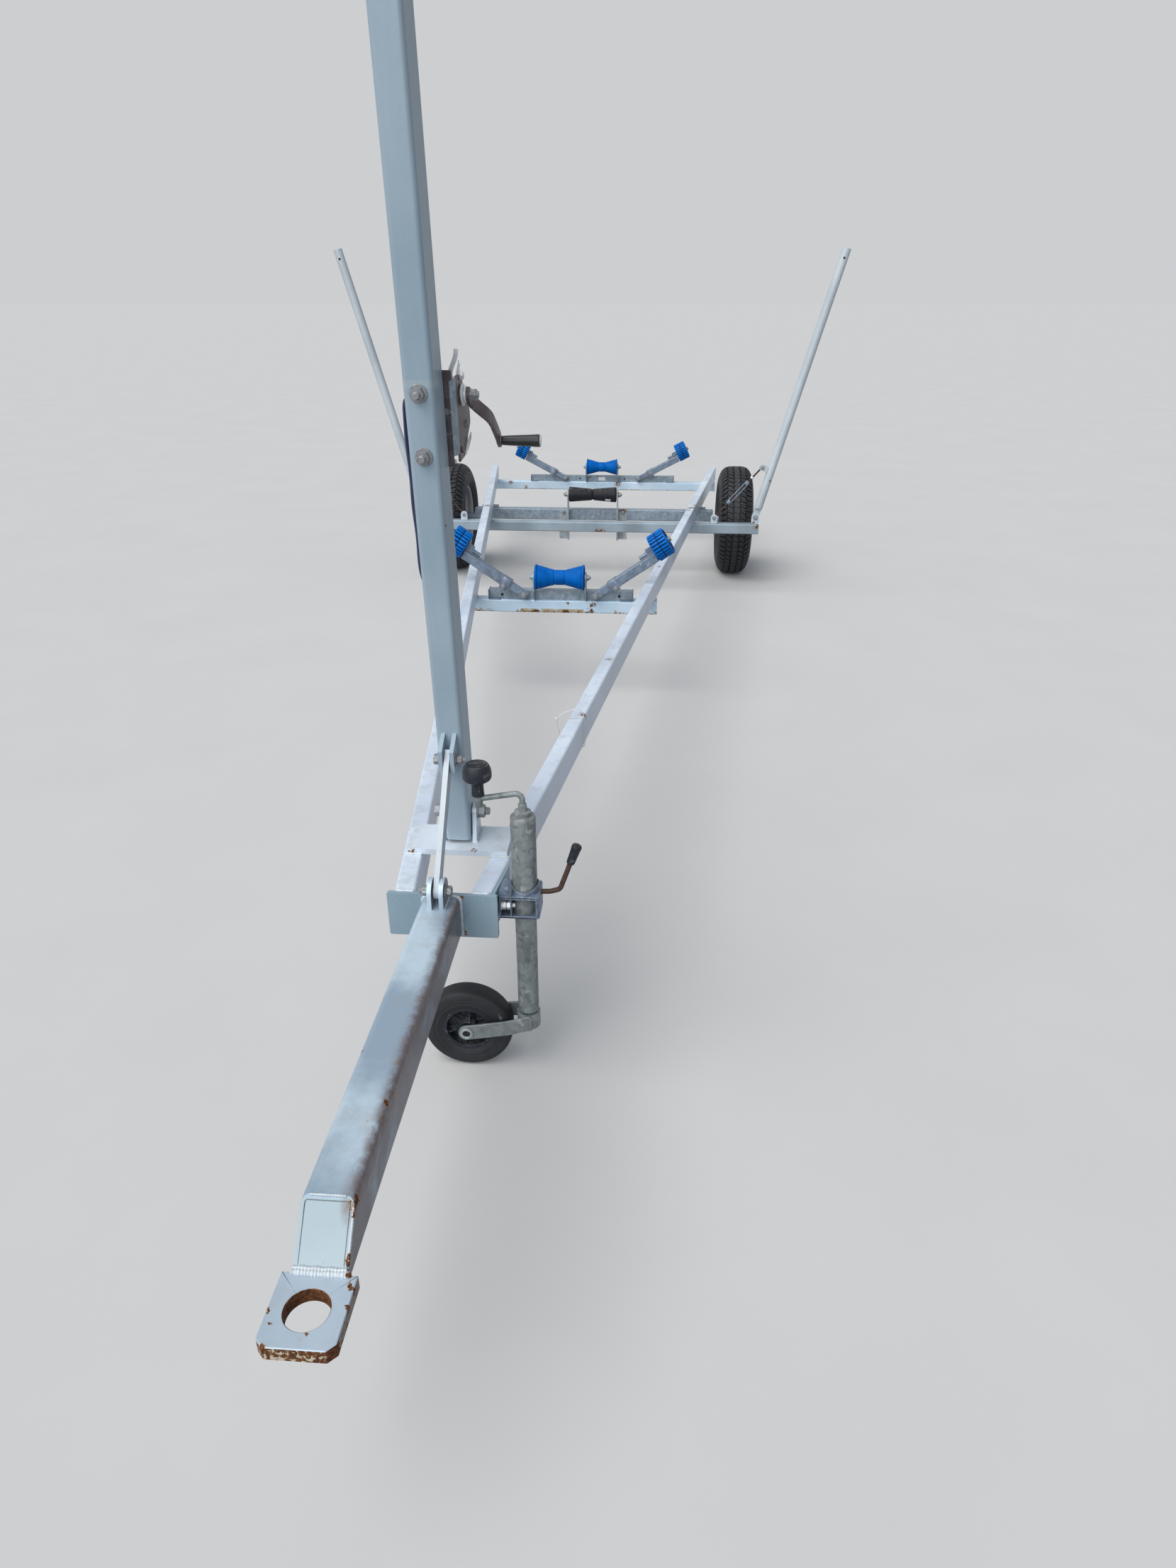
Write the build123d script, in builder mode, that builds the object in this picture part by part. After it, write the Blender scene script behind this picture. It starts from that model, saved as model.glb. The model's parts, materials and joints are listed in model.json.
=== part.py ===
from build123d import *
from math import atan2, cos, degrees, radians, sin, sqrt
import os

# Boat trailer for towing by a tractor eye, standing on two road wheels and a jockey wheel.
# The towing eye points to -Y, the rear is at +Y, +X is the trailer's side with the jockey
# wheel, and the ground is at Z = 0.

# Frame: two rails that spread to the rear
frame_length = 5310.0
nose_length = 862.0
rail_width = 40.0
rail_height = 80.0
rail_wall = 4.0
rail_round = 6.0
rail_top = 440.0
front_half_spacing = 72.0
rear_half_spacing = 719.0

# Front plate that closes the rails
plate_width = 210.0
plate_thickness = 10.0
plate_height = 92.0

# Drawbar and towing eye
drawbar_width = 70.0
drawbar_height = 90.0
drawbar_wall = 6.0
drawbar_round = 12.0
slope_run = 60.0
eye_plate_length = 100.0
eye_plate_width = 96.0
eye_plate_thickness = 22.0
eye_chamfer = 10.5
eye_hole_radius = 28.0
eye_hole_from_tip = 50.0

# Crossbeams under the rails, measured ahead of the rails' rear ends
beam_depth = 60.0
beam_height = 50.0
beam_wall = 4.0
beam_round = 5.0
front_beam_from_end = 2956.0
guide_beam_from_end = 1416.0
axle_beam_from_end = 990.0
rear_beam_from_end = 110.0
guide_beam_overhang = 20.0
beam_overhang = 6.0

# Axle and road wheels
tyre_radius = 294.5
tyre_width = 189.0
tyre_bead_radius = 166.0
tyre_crown = 8.0
tyre_shoulder = 26.0
track_half = 802.0
axle_size = 60.0
axle_wall = 5.0
axle_half_length = 672.0
saddle_thickness = 12.0
saddle_length = 90.0
stub_plate_thickness = 12.0
stub_radius = 15.0
rim_width = 142.0
rim_wall = 5.0
rim_lip_width = 6.0
rim_lip_height = 8.0
rim_disc_thickness = 8.0
rim_disc_offset = 34.0
hub_radius = 55.0
hub_length = 96.0
hub_cap_radius = 30.0
hub_cap_length = 30.0
running_gap = 0.05

# Rollers
keel_length = 194.0
keel_radius = 50.0
keel_waist_radius = 29.0
keel_flat = 46.0
keel_axis_height = 96.0
roller_bolt_radius = 8.0
roller_side_gap = 3.0
side_radius = 54.0
side_width = 67.0
side_rod_radius = 8.0
axle_keel_length = 268.0
axle_keel_radius = 41.0
axle_keel_waist_radius = 31.0
axle_keel_axis_z = 437.0

# Roller channels and arms
channel_height = 36.0
channel_depth = 42.0
channel_wall = 4.0
upright_thickness = 5.0
upright_width = 44.0
front_channel_half = 285.0
rear_channel_half = 462.0
front_arm_root = 142.0
rear_arm_root = 236.0
front_arm_angle = 34.0
rear_arm_angle = 27.0
arm_root_height = 25.0
arm_inner_size = 28.0
arm_outer_size = 36.0
arm_wall = 3.0
arm_inner_length = 150.0
arm_sleeve_start = 68.0
arm_end = 284.0
arm_reach = 322.0
arm_rod_rise = 30.0
arm_rod_length = 60.0

# Angle irons of the middle keel roller
angle_leg = 57.0
angle_thickness = 7.0
angle_bottom_z = 183.0
angle_web_depth = 50.0

# Mast, its foot and strut
mast_width = 50.0
mast_depth = 80.0
mast_wall = 4.0
mast_round = 8.0
mast_length = 1510.0
mast_tail = 46.0
mast_tail_cut = 26.0
mast_cap = 6.0
mast_lean = 5.6
mast_back = 213.0
mast_pivot_height = 70.0
foot_plate_back = 150.0
foot_plate_depth = 105.0
foot_plate_width = 206.0
foot_plate_thickness = 12.0
foot_ear_thickness = 8.0
foot_ear_gap = 3.0
foot_ear_radius = 17.0
foot_ear_width = 60.0
mast_pin_radius = 8.0
strut_width = 30.0
strut_thickness = 10.0
strut_gap = 2.0
strut_ear_thickness = 8.0
strut_pin_radius = 6.0
strut_open_gap = 3.0
strut_pin_on_mast = 156.0
strut_pin_reach = 24.0
strut_ear_height = 74.0
strut_ear_reach = 44.0
strut_foot_ahead = 28.0
strut_foot_height = 27.0
strut_foot_ear_width = 50.0

# Winch on the mast's back
winch_height = 762.0
winch_bolt_spacing = 98.0
winch_bolt_radius = 6.0
winch_base_width = 80.0
winch_base_top = 71.0
winch_base_bottom = 85.0
winch_base_thickness = 5.0
winch_side_thickness = 4.0
winch_side_depth = 138.0
winch_side_top = 56.0
winch_side_bottom = 82.0
drum_radius = 30.0
drum_rise = -33.0
drum_out = 96.0
gear_radius = 44.0
gear_thickness = 8.0
crank_shaft_radius = 9.0
crank_shaft_rise = 22.0
crank_shaft_out = 62.0
crank_shaft_reach = 57.0
crank_nut_length = 11.0
crank_arm_length = 138.0
crank_arm_width = 26.0
crank_arm_thickness = 7.0
crank_arm_outward = 36.0
crank_angle = 45.0
crank_pin_radius = 5.0
grip_radius = 11.5
grip_length = 74.0
strap_width = 44.0
strap_thickness = 4.0
strap_rise = 28.0
strap_drop = 348.0
strap_side_gap = 5.0
strap_draw_in = 3.0

# Jockey wheel on the right rail
jockey_back = 60.0
jockey_x = 150.0
jockey_tube_radius = 24.0
jockey_leg_radius = 21.0
jockey_fit = 0.05
jockey_tube_bottom = 362.0
jockey_tube_top = 585.0
jockey_leg_top = 425.0
jockey_leg_bottom = 140.0
jockey_cap_height = 8.0
jockey_cap_radius = 16.0
jockey_socket_radius = 8.0
jockey_socket_height = 15.0
swivel_pin_radius = 14.0
swivel_gap = 6.0
jockey_tyre_radius = 92.5
jockey_tyre_width = 48.0
jockey_rim_radius = 52.0
jockey_trail = 125.0
jockey_axle_radius = 8.0
fork_gap = 5.0
fork_thickness = 6.0
fork_arm_height = 36.0
fork_head_radius = 26.0
clamp_height = 48.0
clamp_rise = 400.0
clamp_wall = 8.0
clamp_plate_length = 120.0
clamp_plate_thickness = 6.0
lever_radius = 5.0
lever_grip_radius = 10.5
lever_root_rise = 20.0
lever_bend_reach = 36.0
lever_bend_rise = 26.0
lever_reach = 56.0
lever_rise = 84.0
lever_grip_length = 42.0
crank_rod_radius = 5.5
crank_rod_rise = 22.0
crank_rod_end_rise = 6.0
knob_reach = 82.0
knob_radius = 27.0
knob_height = 40.0
knob_stem_radius = 12.0
knob_stem_height = 28.0
knob_seat = 14.0

# Guide poles and turnbuckles
pole_foot_half = 888.0
pole_foot_height = 36.0
pole_radius = 21.0
pole_wall = 3.0
pole_length = 1305.0
pole_lean = 15.2
pole_tang_length = 46.0
tang_thickness = 8.0
tang_width = 36.0
tang_gap = 2.0
ear_thickness = 8.0
ear_radius = 20.0
pole_pin_radius = 6.0
buckle_foot_half = 671.0
buckle_foot_height = 30.0
buckle_pin_radius = 5.0
buckle_eye_radius = 13.0
buckle_open_gap = 3.0
lug_along = 250.0
lug_inward = 49.0
buckle_rod_radius = 5.0
buckle_sleeve_radius = 11.0
buckle_sleeve_start = 100.0
buckle_sleeve_end = 252.0
buckle_rod_start = 195.0
buckle_bore_start = 155.0

# Places worked out from the sizes above
front_y = (nose_length - frame_length) / 2
rear_y = front_y + frame_length
rail_bottom = rail_top - rail_height
front_beam_back = frame_length - front_beam_from_end
guide_beam_back = frame_length - guide_beam_from_end
axle_beam_back = frame_length - axle_beam_from_end
rear_beam_back = frame_length - rear_beam_from_end
guide_half_length = pole_foot_half + guide_beam_overhang
rail_run = frame_length - plate_thickness
rail_slope = (rear_half_spacing - front_half_spacing) / rail_run
rail_side = rail_width / 2 * sqrt(1 + rail_slope ** 2)
rail_wall_side = rail_wall * sqrt(1 + rail_slope ** 2)
beam_middle_z = rail_bottom - beam_height / 2
axle_middle_z = rail_bottom - saddle_thickness - axle_size / 2


def rail_middle(back):
    """Half the rails' spacing, on their centre lines, at a distance behind the front plate."""
    return front_half_spacing + (back - plate_thickness) * rail_slope


# Rails
for side, name in ((-1, "left_rail"), (1, "right_rail")):
    with BuildPart() as rail:
        with BuildSketch(Plane.XY.offset(rail_bottom)):
            with BuildLine():
                Polyline(
                    (side * (front_half_spacing - rail_side), front_y + plate_thickness),
                    (side * (front_half_spacing + rail_side), front_y + plate_thickness),
                    (side * (rear_half_spacing + rail_side), rear_y),
                    (side * (rear_half_spacing - rail_side), rear_y),
                    close=True,
                )
            make_face()
        extrude(amount=rail_height)
        fillet(rail.edges().filter_by(lambda e: e.length > rail_run * 0.9), rail_round)
        with BuildSketch(Plane.XY.offset(rail_bottom + rail_wall)):
            with BuildLine():
                Polyline(
                    (side * (front_half_spacing - rail_side + rail_wall_side), front_y + plate_thickness),
                    (side * (front_half_spacing + rail_side - rail_wall_side), front_y + plate_thickness),
                    (side * (rear_half_spacing + rail_side - rail_wall_side), rear_y),
                    (side * (rear_half_spacing - rail_side + rail_wall_side), rear_y),
                    close=True,
                )
            make_face()
        extrude(amount=rail_height - 2 * rail_wall, mode=Mode.SUBTRACT)
    rail.part.label = name
    os.makedirs("parts", exist_ok=True)
    export_step(rail.part, f"parts/{name}.step")

# Front plate
with BuildPart() as front_plate:
    with BuildSketch(Plane.XZ.offset(-front_y - plate_thickness)):
        with Locations((0, rail_top - plate_height / 2)):
            Rectangle(plate_width, plate_height)
    extrude(amount=plate_thickness)
    chamfer(front_plate.edges().filter_by(Axis.Y), 2)
front_plate.part.label = "front_plate"
export_step(front_plate.part, "parts/front_plate.step")

# Drawbar: hollow tube with a sloped front end and the strut's two ears on top
drawbar_end = nose_length - eye_plate_length
drawbar_bottom = rail_top - drawbar_height
eye_top = drawbar_bottom + eye_plate_thickness
strut_foot_y = front_y - strut_foot_ahead
strut_foot_z = rail_top + strut_foot_height
strut_half_gap = strut_thickness / 2 + strut_gap
with BuildPart() as drawbar:
    with BuildSketch(Plane.YZ):
        with BuildLine():
            Polyline(
                (front_y, drawbar_bottom),
                (front_y, rail_top),
                (front_y - drawbar_end + slope_run, rail_top),
                (front_y - drawbar_end, eye_top),
                (front_y - drawbar_end, drawbar_bottom),
                close=True,
            )
        make_face()
    extrude(amount=drawbar_width / 2, both=True)
    fillet(drawbar.edges().filter_by(Axis.Y), drawbar_round)
    with BuildSketch(Plane.YZ):
        with BuildLine():
            Polyline(
                (front_y, drawbar_bottom + drawbar_wall),
                (front_y, rail_top - drawbar_wall),
                (front_y - drawbar_end + slope_run + drawbar_wall, rail_top - drawbar_wall),
                (front_y - drawbar_end + 2 * drawbar_wall, eye_top - drawbar_wall),
                (front_y - drawbar_end + 2 * drawbar_wall, drawbar_bottom + drawbar_wall),
                close=True,
            )
        make_face()
    extrude(amount=drawbar_width / 2 - drawbar_wall, both=True, mode=Mode.SUBTRACT)
    for side in (-1, 1):
        with BuildSketch(Plane.YZ.offset(side * (strut_half_gap + strut_ear_thickness / 2))):
            with Locations((strut_foot_y, (rail_top + strut_foot_z) / 2)):
                Rectangle(strut_foot_ear_width, strut_foot_height)
            with Locations((strut_foot_y, strut_foot_z)):
                Circle(strut_foot_ear_width / 2)
        extrude(amount=strut_ear_thickness / 2, both=True)
    with BuildSketch(Plane.YZ):
        with Locations((strut_foot_y, strut_foot_z)):
            Circle(strut_pin_radius)
    extrude(amount=strut_half_gap + strut_ear_thickness + 8, both=True)
drawbar.part.label = "drawbar"
export_step(drawbar.part, "parts/drawbar.step")

# Towing eye
eye_tip_y = front_y - nose_length
eye_hole_y = eye_tip_y + eye_hole_from_tip
with BuildPart() as towing_eye:
    with BuildSketch(Plane.XY.offset(drawbar_bottom)):
        with Locations((0, eye_tip_y + eye_plate_length / 2)):
            Rectangle(eye_plate_width, eye_plate_length)
    extrude(amount=eye_plate_thickness)
    chamfer(towing_eye.edges().filter_by(Axis.Z).group_by(Axis.Y)[0], eye_chamfer)
    with BuildSketch(Plane.XY.offset(drawbar_bottom)):
        with Locations((0, eye_hole_y)):
            Circle(eye_hole_radius)
    extrude(amount=eye_plate_thickness, mode=Mode.SUBTRACT)
towing_eye.part.label = "towing_eye"
export_step(towing_eye.part, "parts/towing_eye.step")

# Mast foot: plate across the rails, two ears and the pivot bolt
foot_y = front_y + foot_plate_back + foot_plate_depth / 2
mast_y = front_y + mast_back
mast_z = rail_top + mast_pivot_height
foot_plate_top = rail_top + foot_plate_thickness
foot_ear_x = mast_width / 2 + foot_ear_gap + foot_ear_thickness / 2
with BuildPart() as mast_foot:
    with BuildSketch(Plane.XY.offset(rail_top)):
        with Locations((0, foot_y)):
            Rectangle(foot_plate_width, foot_plate_depth)
    extrude(amount=foot_plate_thickness)
    for side in (-1, 1):
        with BuildSketch(Plane.YZ.offset(side * foot_ear_x)):
            with BuildLine():
                Polyline(
                    (mast_y - foot_ear_width / 2, foot_plate_top),
                    (mast_y + foot_ear_width / 2, foot_plate_top),
                    (mast_y + foot_ear_radius, mast_z),
                    (mast_y - foot_ear_radius, mast_z),
                    close=True,
                )
            make_face()
            with Locations((mast_y, mast_z)):
                Circle(foot_ear_radius)
        extrude(amount=foot_ear_thickness / 2, both=True)
    with BuildSketch(Plane.YZ):
        with Locations((mast_y, mast_z)):
            Circle(mast_pin_radius)
    extrude(amount=foot_ear_x + foot_ear_thickness / 2, both=True)
    for side in (-1, 1):
        with BuildSketch(Plane.YZ.offset(side * (foot_ear_x + foot_ear_thickness / 2 + 5))):
            with Locations((mast_y, mast_z)):
                RegularPolygon(mast_pin_radius * 1.6, 6)
        extrude(amount=5, both=True)
mast_foot.part.label = "mast_foot"
export_step(mast_foot.part, "parts/mast_foot.step")

# Mast frame: its X is the trailer's X, its Y points to the mast's back, its Z runs up the mast
mast_plane = Plane(Location((0, mast_y, mast_z), (mast_lean, 0, 0)))
strut_pin_local_y = -(mast_depth / 2 + strut_pin_reach)
strut_ear_x = strut_half_gap + strut_ear_thickness / 2
ear_bottom = strut_pin_on_mast - strut_ear_height * 0.4
ear_front = -(mast_depth / 2 + strut_ear_reach)
with BuildPart() as mast:
    with BuildSketch(mast_plane.offset(-mast_tail)):
        RectangleRounded(mast_width, mast_depth, mast_round)
        RectangleRounded(
            mast_width - 2 * mast_wall, mast_depth - 2 * mast_wall, mast_round - mast_wall / 2, mode=Mode.SUBTRACT
        )
    extrude(amount=mast_length - mast_cap)
    with BuildSketch(mast_plane.offset(mast_length - mast_tail - mast_cap)):
        RectangleRounded(mast_width, mast_depth, mast_round)
    extrude(amount=mast_cap)
    side_plane = Plane(mast_plane.origin, x_dir=mast_plane.y_dir, z_dir=mast_plane.x_dir)
    with BuildSketch(side_plane):
        with BuildLine():
            Polyline(
                (mast_depth / 2 - mast_tail_cut, -mast_tail),
                (mast_depth / 2, -mast_tail + mast_tail_cut),
                (mast_depth / 2, -mast_tail),
                close=True,
            )
        make_face()
    extrude(amount=mast_width, both=True, mode=Mode.SUBTRACT)
    with BuildSketch(side_plane):
        Circle(mast_pin_radius + running_gap)
    extrude(amount=mast_width, both=True, mode=Mode.SUBTRACT)
    for side in (-1, 1):
        with BuildSketch(side_plane.offset(side * strut_ear_x)):
            with BuildLine():
                Polyline(
                    (-mast_depth / 2 + 1, ear_bottom),
                    (ear_front, ear_bottom + strut_ear_height * 0.15),
                    (ear_front, ear_bottom + strut_ear_height * 0.75),
                    (-mast_depth / 2 + 1, ear_bottom + strut_ear_height),
                    close=True,
                )
            make_face()
        extrude(amount=strut_ear_thickness / 2, both=True)
    with BuildSketch(side_plane):
        with Locations((strut_pin_local_y, strut_pin_on_mast)):
            Circle(strut_pin_radius)
    extrude(amount=strut_ear_x + strut_ear_thickness / 2 + 8, both=True)
    for rise in (-winch_bolt_spacing / 2, winch_bolt_spacing / 2):
        with BuildSketch(Plane(mast_plane.origin, x_dir=mast_plane.x_dir, z_dir=-mast_plane.y_dir)):
            with Locations((0, winch_height + rise)):
                Circle(winch_bolt_radius + running_gap)
        extrude(amount=mast_depth, both=True, mode=Mode.SUBTRACT)
mast.part.label = "mast"
export_step(mast.part, "parts/mast.step")

# Strut: flat bar from the drawbar's ears to an open hook at the mast's bolt
strut_top = mast_plane.from_local_coords(Vector(0, strut_pin_local_y, strut_pin_on_mast))
strut_rise = strut_top.Z - strut_foot_z
strut_run = strut_top.Y - strut_foot_y
strut_length = sqrt(strut_rise ** 2 + strut_run ** 2)
strut_plane = Plane(
    (0, strut_foot_y, strut_foot_z), x_dir=(0, strut_run / strut_length, strut_rise / strut_length), z_dir=(1, 0, 0)
)
hook_gap = strut_pin_radius + strut_open_gap
with BuildPart() as mast_strut:
    with BuildSketch(strut_plane):
        Circle(strut_width / 2)
        with Locations(((strut_length + strut_width / 2) / 2, 0)):
            Rectangle(strut_length + strut_width / 2, strut_width)
        Circle(strut_pin_radius + running_gap, mode=Mode.SUBTRACT)
        with Locations((strut_length, 0)):
            Circle(hook_gap, mode=Mode.SUBTRACT)
        with Locations((strut_length - hook_gap, -hook_gap)):
            Rectangle(3 * strut_width, 3 * strut_width, align=(Align.MIN, Align.MAX), mode=Mode.SUBTRACT)
        with Locations((strut_length, -hook_gap)):
            Rectangle(3 * strut_width, 2 * hook_gap, align=(Align.MIN, Align.MIN), mode=Mode.SUBTRACT)
        with Locations((strut_length - hook_gap, -hook_gap)):
            Rectangle(2 * hook_gap, hook_gap, align=(Align.MIN, Align.MIN), mode=Mode.SUBTRACT)
    extrude(amount=strut_thickness / 2, both=True)
mast_strut.part.label = "mast_strut"
export_step(mast_strut.part, "parts/mast_strut.step")

# Crossbeams under the rails
front_beam_y = front_y + front_beam_back
guide_beam_y = front_y + guide_beam_back
axle_beam_y = front_y + axle_beam_back
rear_beam_y = front_y + rear_beam_back
for name, back in (("front_roller_beam", front_beam_back), ("rear_roller_beam", rear_beam_back)):
    half = rail_middle(back) + rail_side + beam_overhang
    with BuildPart() as beam:
        with BuildSketch(Plane.YZ):
            with Locations((front_y + back, beam_middle_z)):
                RectangleRounded(beam_depth, beam_height, beam_round)
                RectangleRounded(
                    beam_depth - 2 * beam_wall, beam_height - 2 * beam_wall, beam_round / 2, mode=Mode.SUBTRACT
                )
        extrude(amount=half, both=True)
    beam.part.label = name
    export_step(beam.part, f"parts/{name}.step")

# Guide beam: crossbeam with the feet of the poles and of the turnbuckles
ear_front_y = guide_beam_y - tang_thickness / 2 - tang_gap - ear_thickness
with BuildPart() as guide_beam:
    with BuildSketch(Plane.YZ):
        with Locations((guide_beam_y, beam_middle_z)):
            RectangleRounded(beam_depth, beam_height, beam_round)
            RectangleRounded(
                beam_depth - 2 * beam_wall, beam_height - 2 * beam_wall, beam_round / 2, mode=Mode.SUBTRACT
            )
    extrude(amount=guide_half_length, both=True)
    for side in (-1, 1):
        for half, height, pin, ear in (
            (pole_foot_half, pole_foot_height, pole_pin_radius, ear_radius),
            (buckle_foot_half, buckle_foot_height, buckle_pin_radius, ear_radius - 3),
        ):
            with BuildSketch(Plane.XZ.offset(-ear_front_y)):
                with Locations((side * half, rail_bottom + height)):
                    Circle(ear)
                with Locations((side * half, rail_bottom + height / 2)):
                    Rectangle(2 * ear, height)
            extrude(amount=-ear_thickness)
            with BuildSketch(Plane.XZ.offset(-ear_front_y + 5)):
                with Locations((side * half, rail_bottom + height)):
                    Circle(pin)
            extrude(amount=-(ear_thickness + 2 * tang_gap + tang_thickness + 12))
            with BuildSketch(Plane.XZ.offset(-(guide_beam_y + tang_thickness / 2 + tang_gap))):
                with Locations((side * half, rail_bottom + height)):
                    Circle(pin * 1.7)
            extrude(amount=-6)
guide_beam.part.label = "guide_beam"
export_step(guide_beam.part, "parts/guide_beam.step")

# Axle beam with saddles under the rails and a stub axle at each end
saddle_x = rail_middle(axle_beam_back)
stub_x = axle_half_length + stub_plate_thickness
hub_inner_x = track_half - hub_length / 2
stub_end_x = hub_inner_x + hub_length - 12
with BuildPart() as axle_beam:
    with BuildSketch(Plane.YZ):
        with Locations((axle_beam_y, axle_middle_z)):
            RectangleRounded(axle_size, axle_size, beam_round)
            RectangleRounded(axle_size - 2 * axle_wall, axle_size - 2 * axle_wall, beam_round / 2, mode=Mode.SUBTRACT)
    extrude(amount=axle_half_length, both=True)
    with BuildSketch(Plane.XY.offset(rail_bottom - saddle_thickness)):
        with Locations((-saddle_x, axle_beam_y), (saddle_x, axle_beam_y)):
            Rectangle(saddle_length, axle_size)
    extrude(amount=saddle_thickness)
    for side in (-1, 1):
        with BuildSketch(Plane.YZ.offset(side * axle_half_length)):
            with Locations((axle_beam_y, (axle_middle_z + tyre_radius) / 2)):
                Rectangle(axle_size, axle_size + abs(axle_middle_z - tyre_radius))
        extrude(amount=side * stub_plate_thickness)
        with BuildSketch(Plane.YZ.offset(side * stub_x)):
            with Locations((axle_beam_y, tyre_radius)):
                Circle(stub_radius * 1.6)
        extrude(amount=side * (hub_inner_x - 3 - stub_x))
        with BuildSketch(Plane.YZ.offset(side * (hub_inner_x - 3))):
            with Locations((axle_beam_y, tyre_radius)):
                Circle(stub_radius)
        extrude(amount=side * (stub_end_x - hub_inner_x + 3))
axle_beam.part.label = "axle_beam"
export_step(axle_beam.part, "parts/axle_beam.step")

# Road wheels: tyre, and rim with disc and hub
half_tyre = tyre_width / 2
half_rim = rim_width / 2
for side, word in ((-1, "left"), (1, "right")):
    wheel_plane = Plane((side * track_half, axle_beam_y, tyre_radius), x_dir=(side, 0, 0), z_dir=(0, -1, 0))
    wheel_axis = Axis((side * track_half, axle_beam_y, tyre_radius), (1, 0, 0))
    with BuildPart() as tyre:
        with BuildSketch(wheel_plane):
            with BuildLine():
                Polyline(
                    (-half_rim + rim_lip_width, tyre_bead_radius),
                    (-half_rim + rim_lip_width, tyre_bead_radius + rim_lip_height),
                    (-half_rim, tyre_bead_radius + rim_lip_height),
                    (-half_tyre + 3, tyre_bead_radius + 40),
                    (-half_tyre, tyre_bead_radius + 62),
                    (-half_tyre + 5, tyre_radius - 2 * tyre_shoulder),
                    (-half_tyre + 16, tyre_radius - tyre_shoulder),
                    (-half_tyre + 34, tyre_radius - tyre_crown),
                    (-half_tyre + 60, tyre_radius),
                    (half_tyre - 60, tyre_radius),
                    (half_tyre - 34, tyre_radius - tyre_crown),
                    (half_tyre - 16, tyre_radius - tyre_shoulder),
                    (half_tyre - 5, tyre_radius - 2 * tyre_shoulder),
                    (half_tyre, tyre_bead_radius + 62),
                    (half_tyre - 3, tyre_bead_radius + 40),
                    (half_rim, tyre_bead_radius + rim_lip_height),
                    (half_rim - rim_lip_width, tyre_bead_radius + rim_lip_height),
                    (half_rim - rim_lip_width, tyre_bead_radius),
                    close=True,
                )
            make_face()
        revolve(axis=wheel_axis)
    tyre.part.label = f"tyre_{word}"
    export_step(tyre.part, f"parts/tyre_{word}.step")
    seat = tyre_bead_radius
    disc_in = rim_disc_offset
    with BuildPart() as rim:
        with BuildSketch(wheel_plane):
            with BuildLine():
                Polyline(
                    (-half_rim, seat + rim_lip_height),
                    (-half_rim + rim_lip_width, seat + rim_lip_height),
                    (-half_rim + rim_lip_width, seat),
                    (half_rim - rim_lip_width, seat),
                    (half_rim - rim_lip_width, seat + rim_lip_height),
                    (half_rim, seat + rim_lip_height),
                    (half_rim, seat - rim_wall),
                    (disc_in + 8, seat - rim_wall),
                    (disc_in + 8, seat - 26),
                    (disc_in - 2, seat - 52),
                    (disc_in + 6, seat - 70),
                    (disc_in, hub_radius),
                    (hub_length / 2, hub_radius - 6),
                    (hub_length / 2, hub_cap_radius),
                    (hub_length / 2 + hub_cap_length, hub_cap_radius - 4),
                    (hub_length / 2 + hub_cap_length, 0),
                    (hub_length / 2 - 11, 0),
                    (hub_length / 2 - 11, stub_radius + running_gap),
                    (-hub_length / 2, stub_radius + running_gap),
                    (-hub_length / 2, hub_radius - 12),
                    (disc_in - rim_disc_thickness - 16, hub_radius - 6),
                    (disc_in - rim_disc_thickness, hub_radius),
                    (disc_in + 6 - rim_disc_thickness, seat - 70),
                    (disc_in - 2 - rim_disc_thickness, seat - 52),
                    (disc_in + 8 - rim_disc_thickness, seat - 26),
                    (disc_in + 8 - rim_disc_thickness, seat - rim_wall),
                    (-half_rim, seat - rim_wall),
                    close=True,
                )
            make_face()
        revolve(axis=wheel_axis)
    rim.part.label = f"rim_{word}"
    export_step(rim.part, f"parts/rim_{word}.step")


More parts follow.
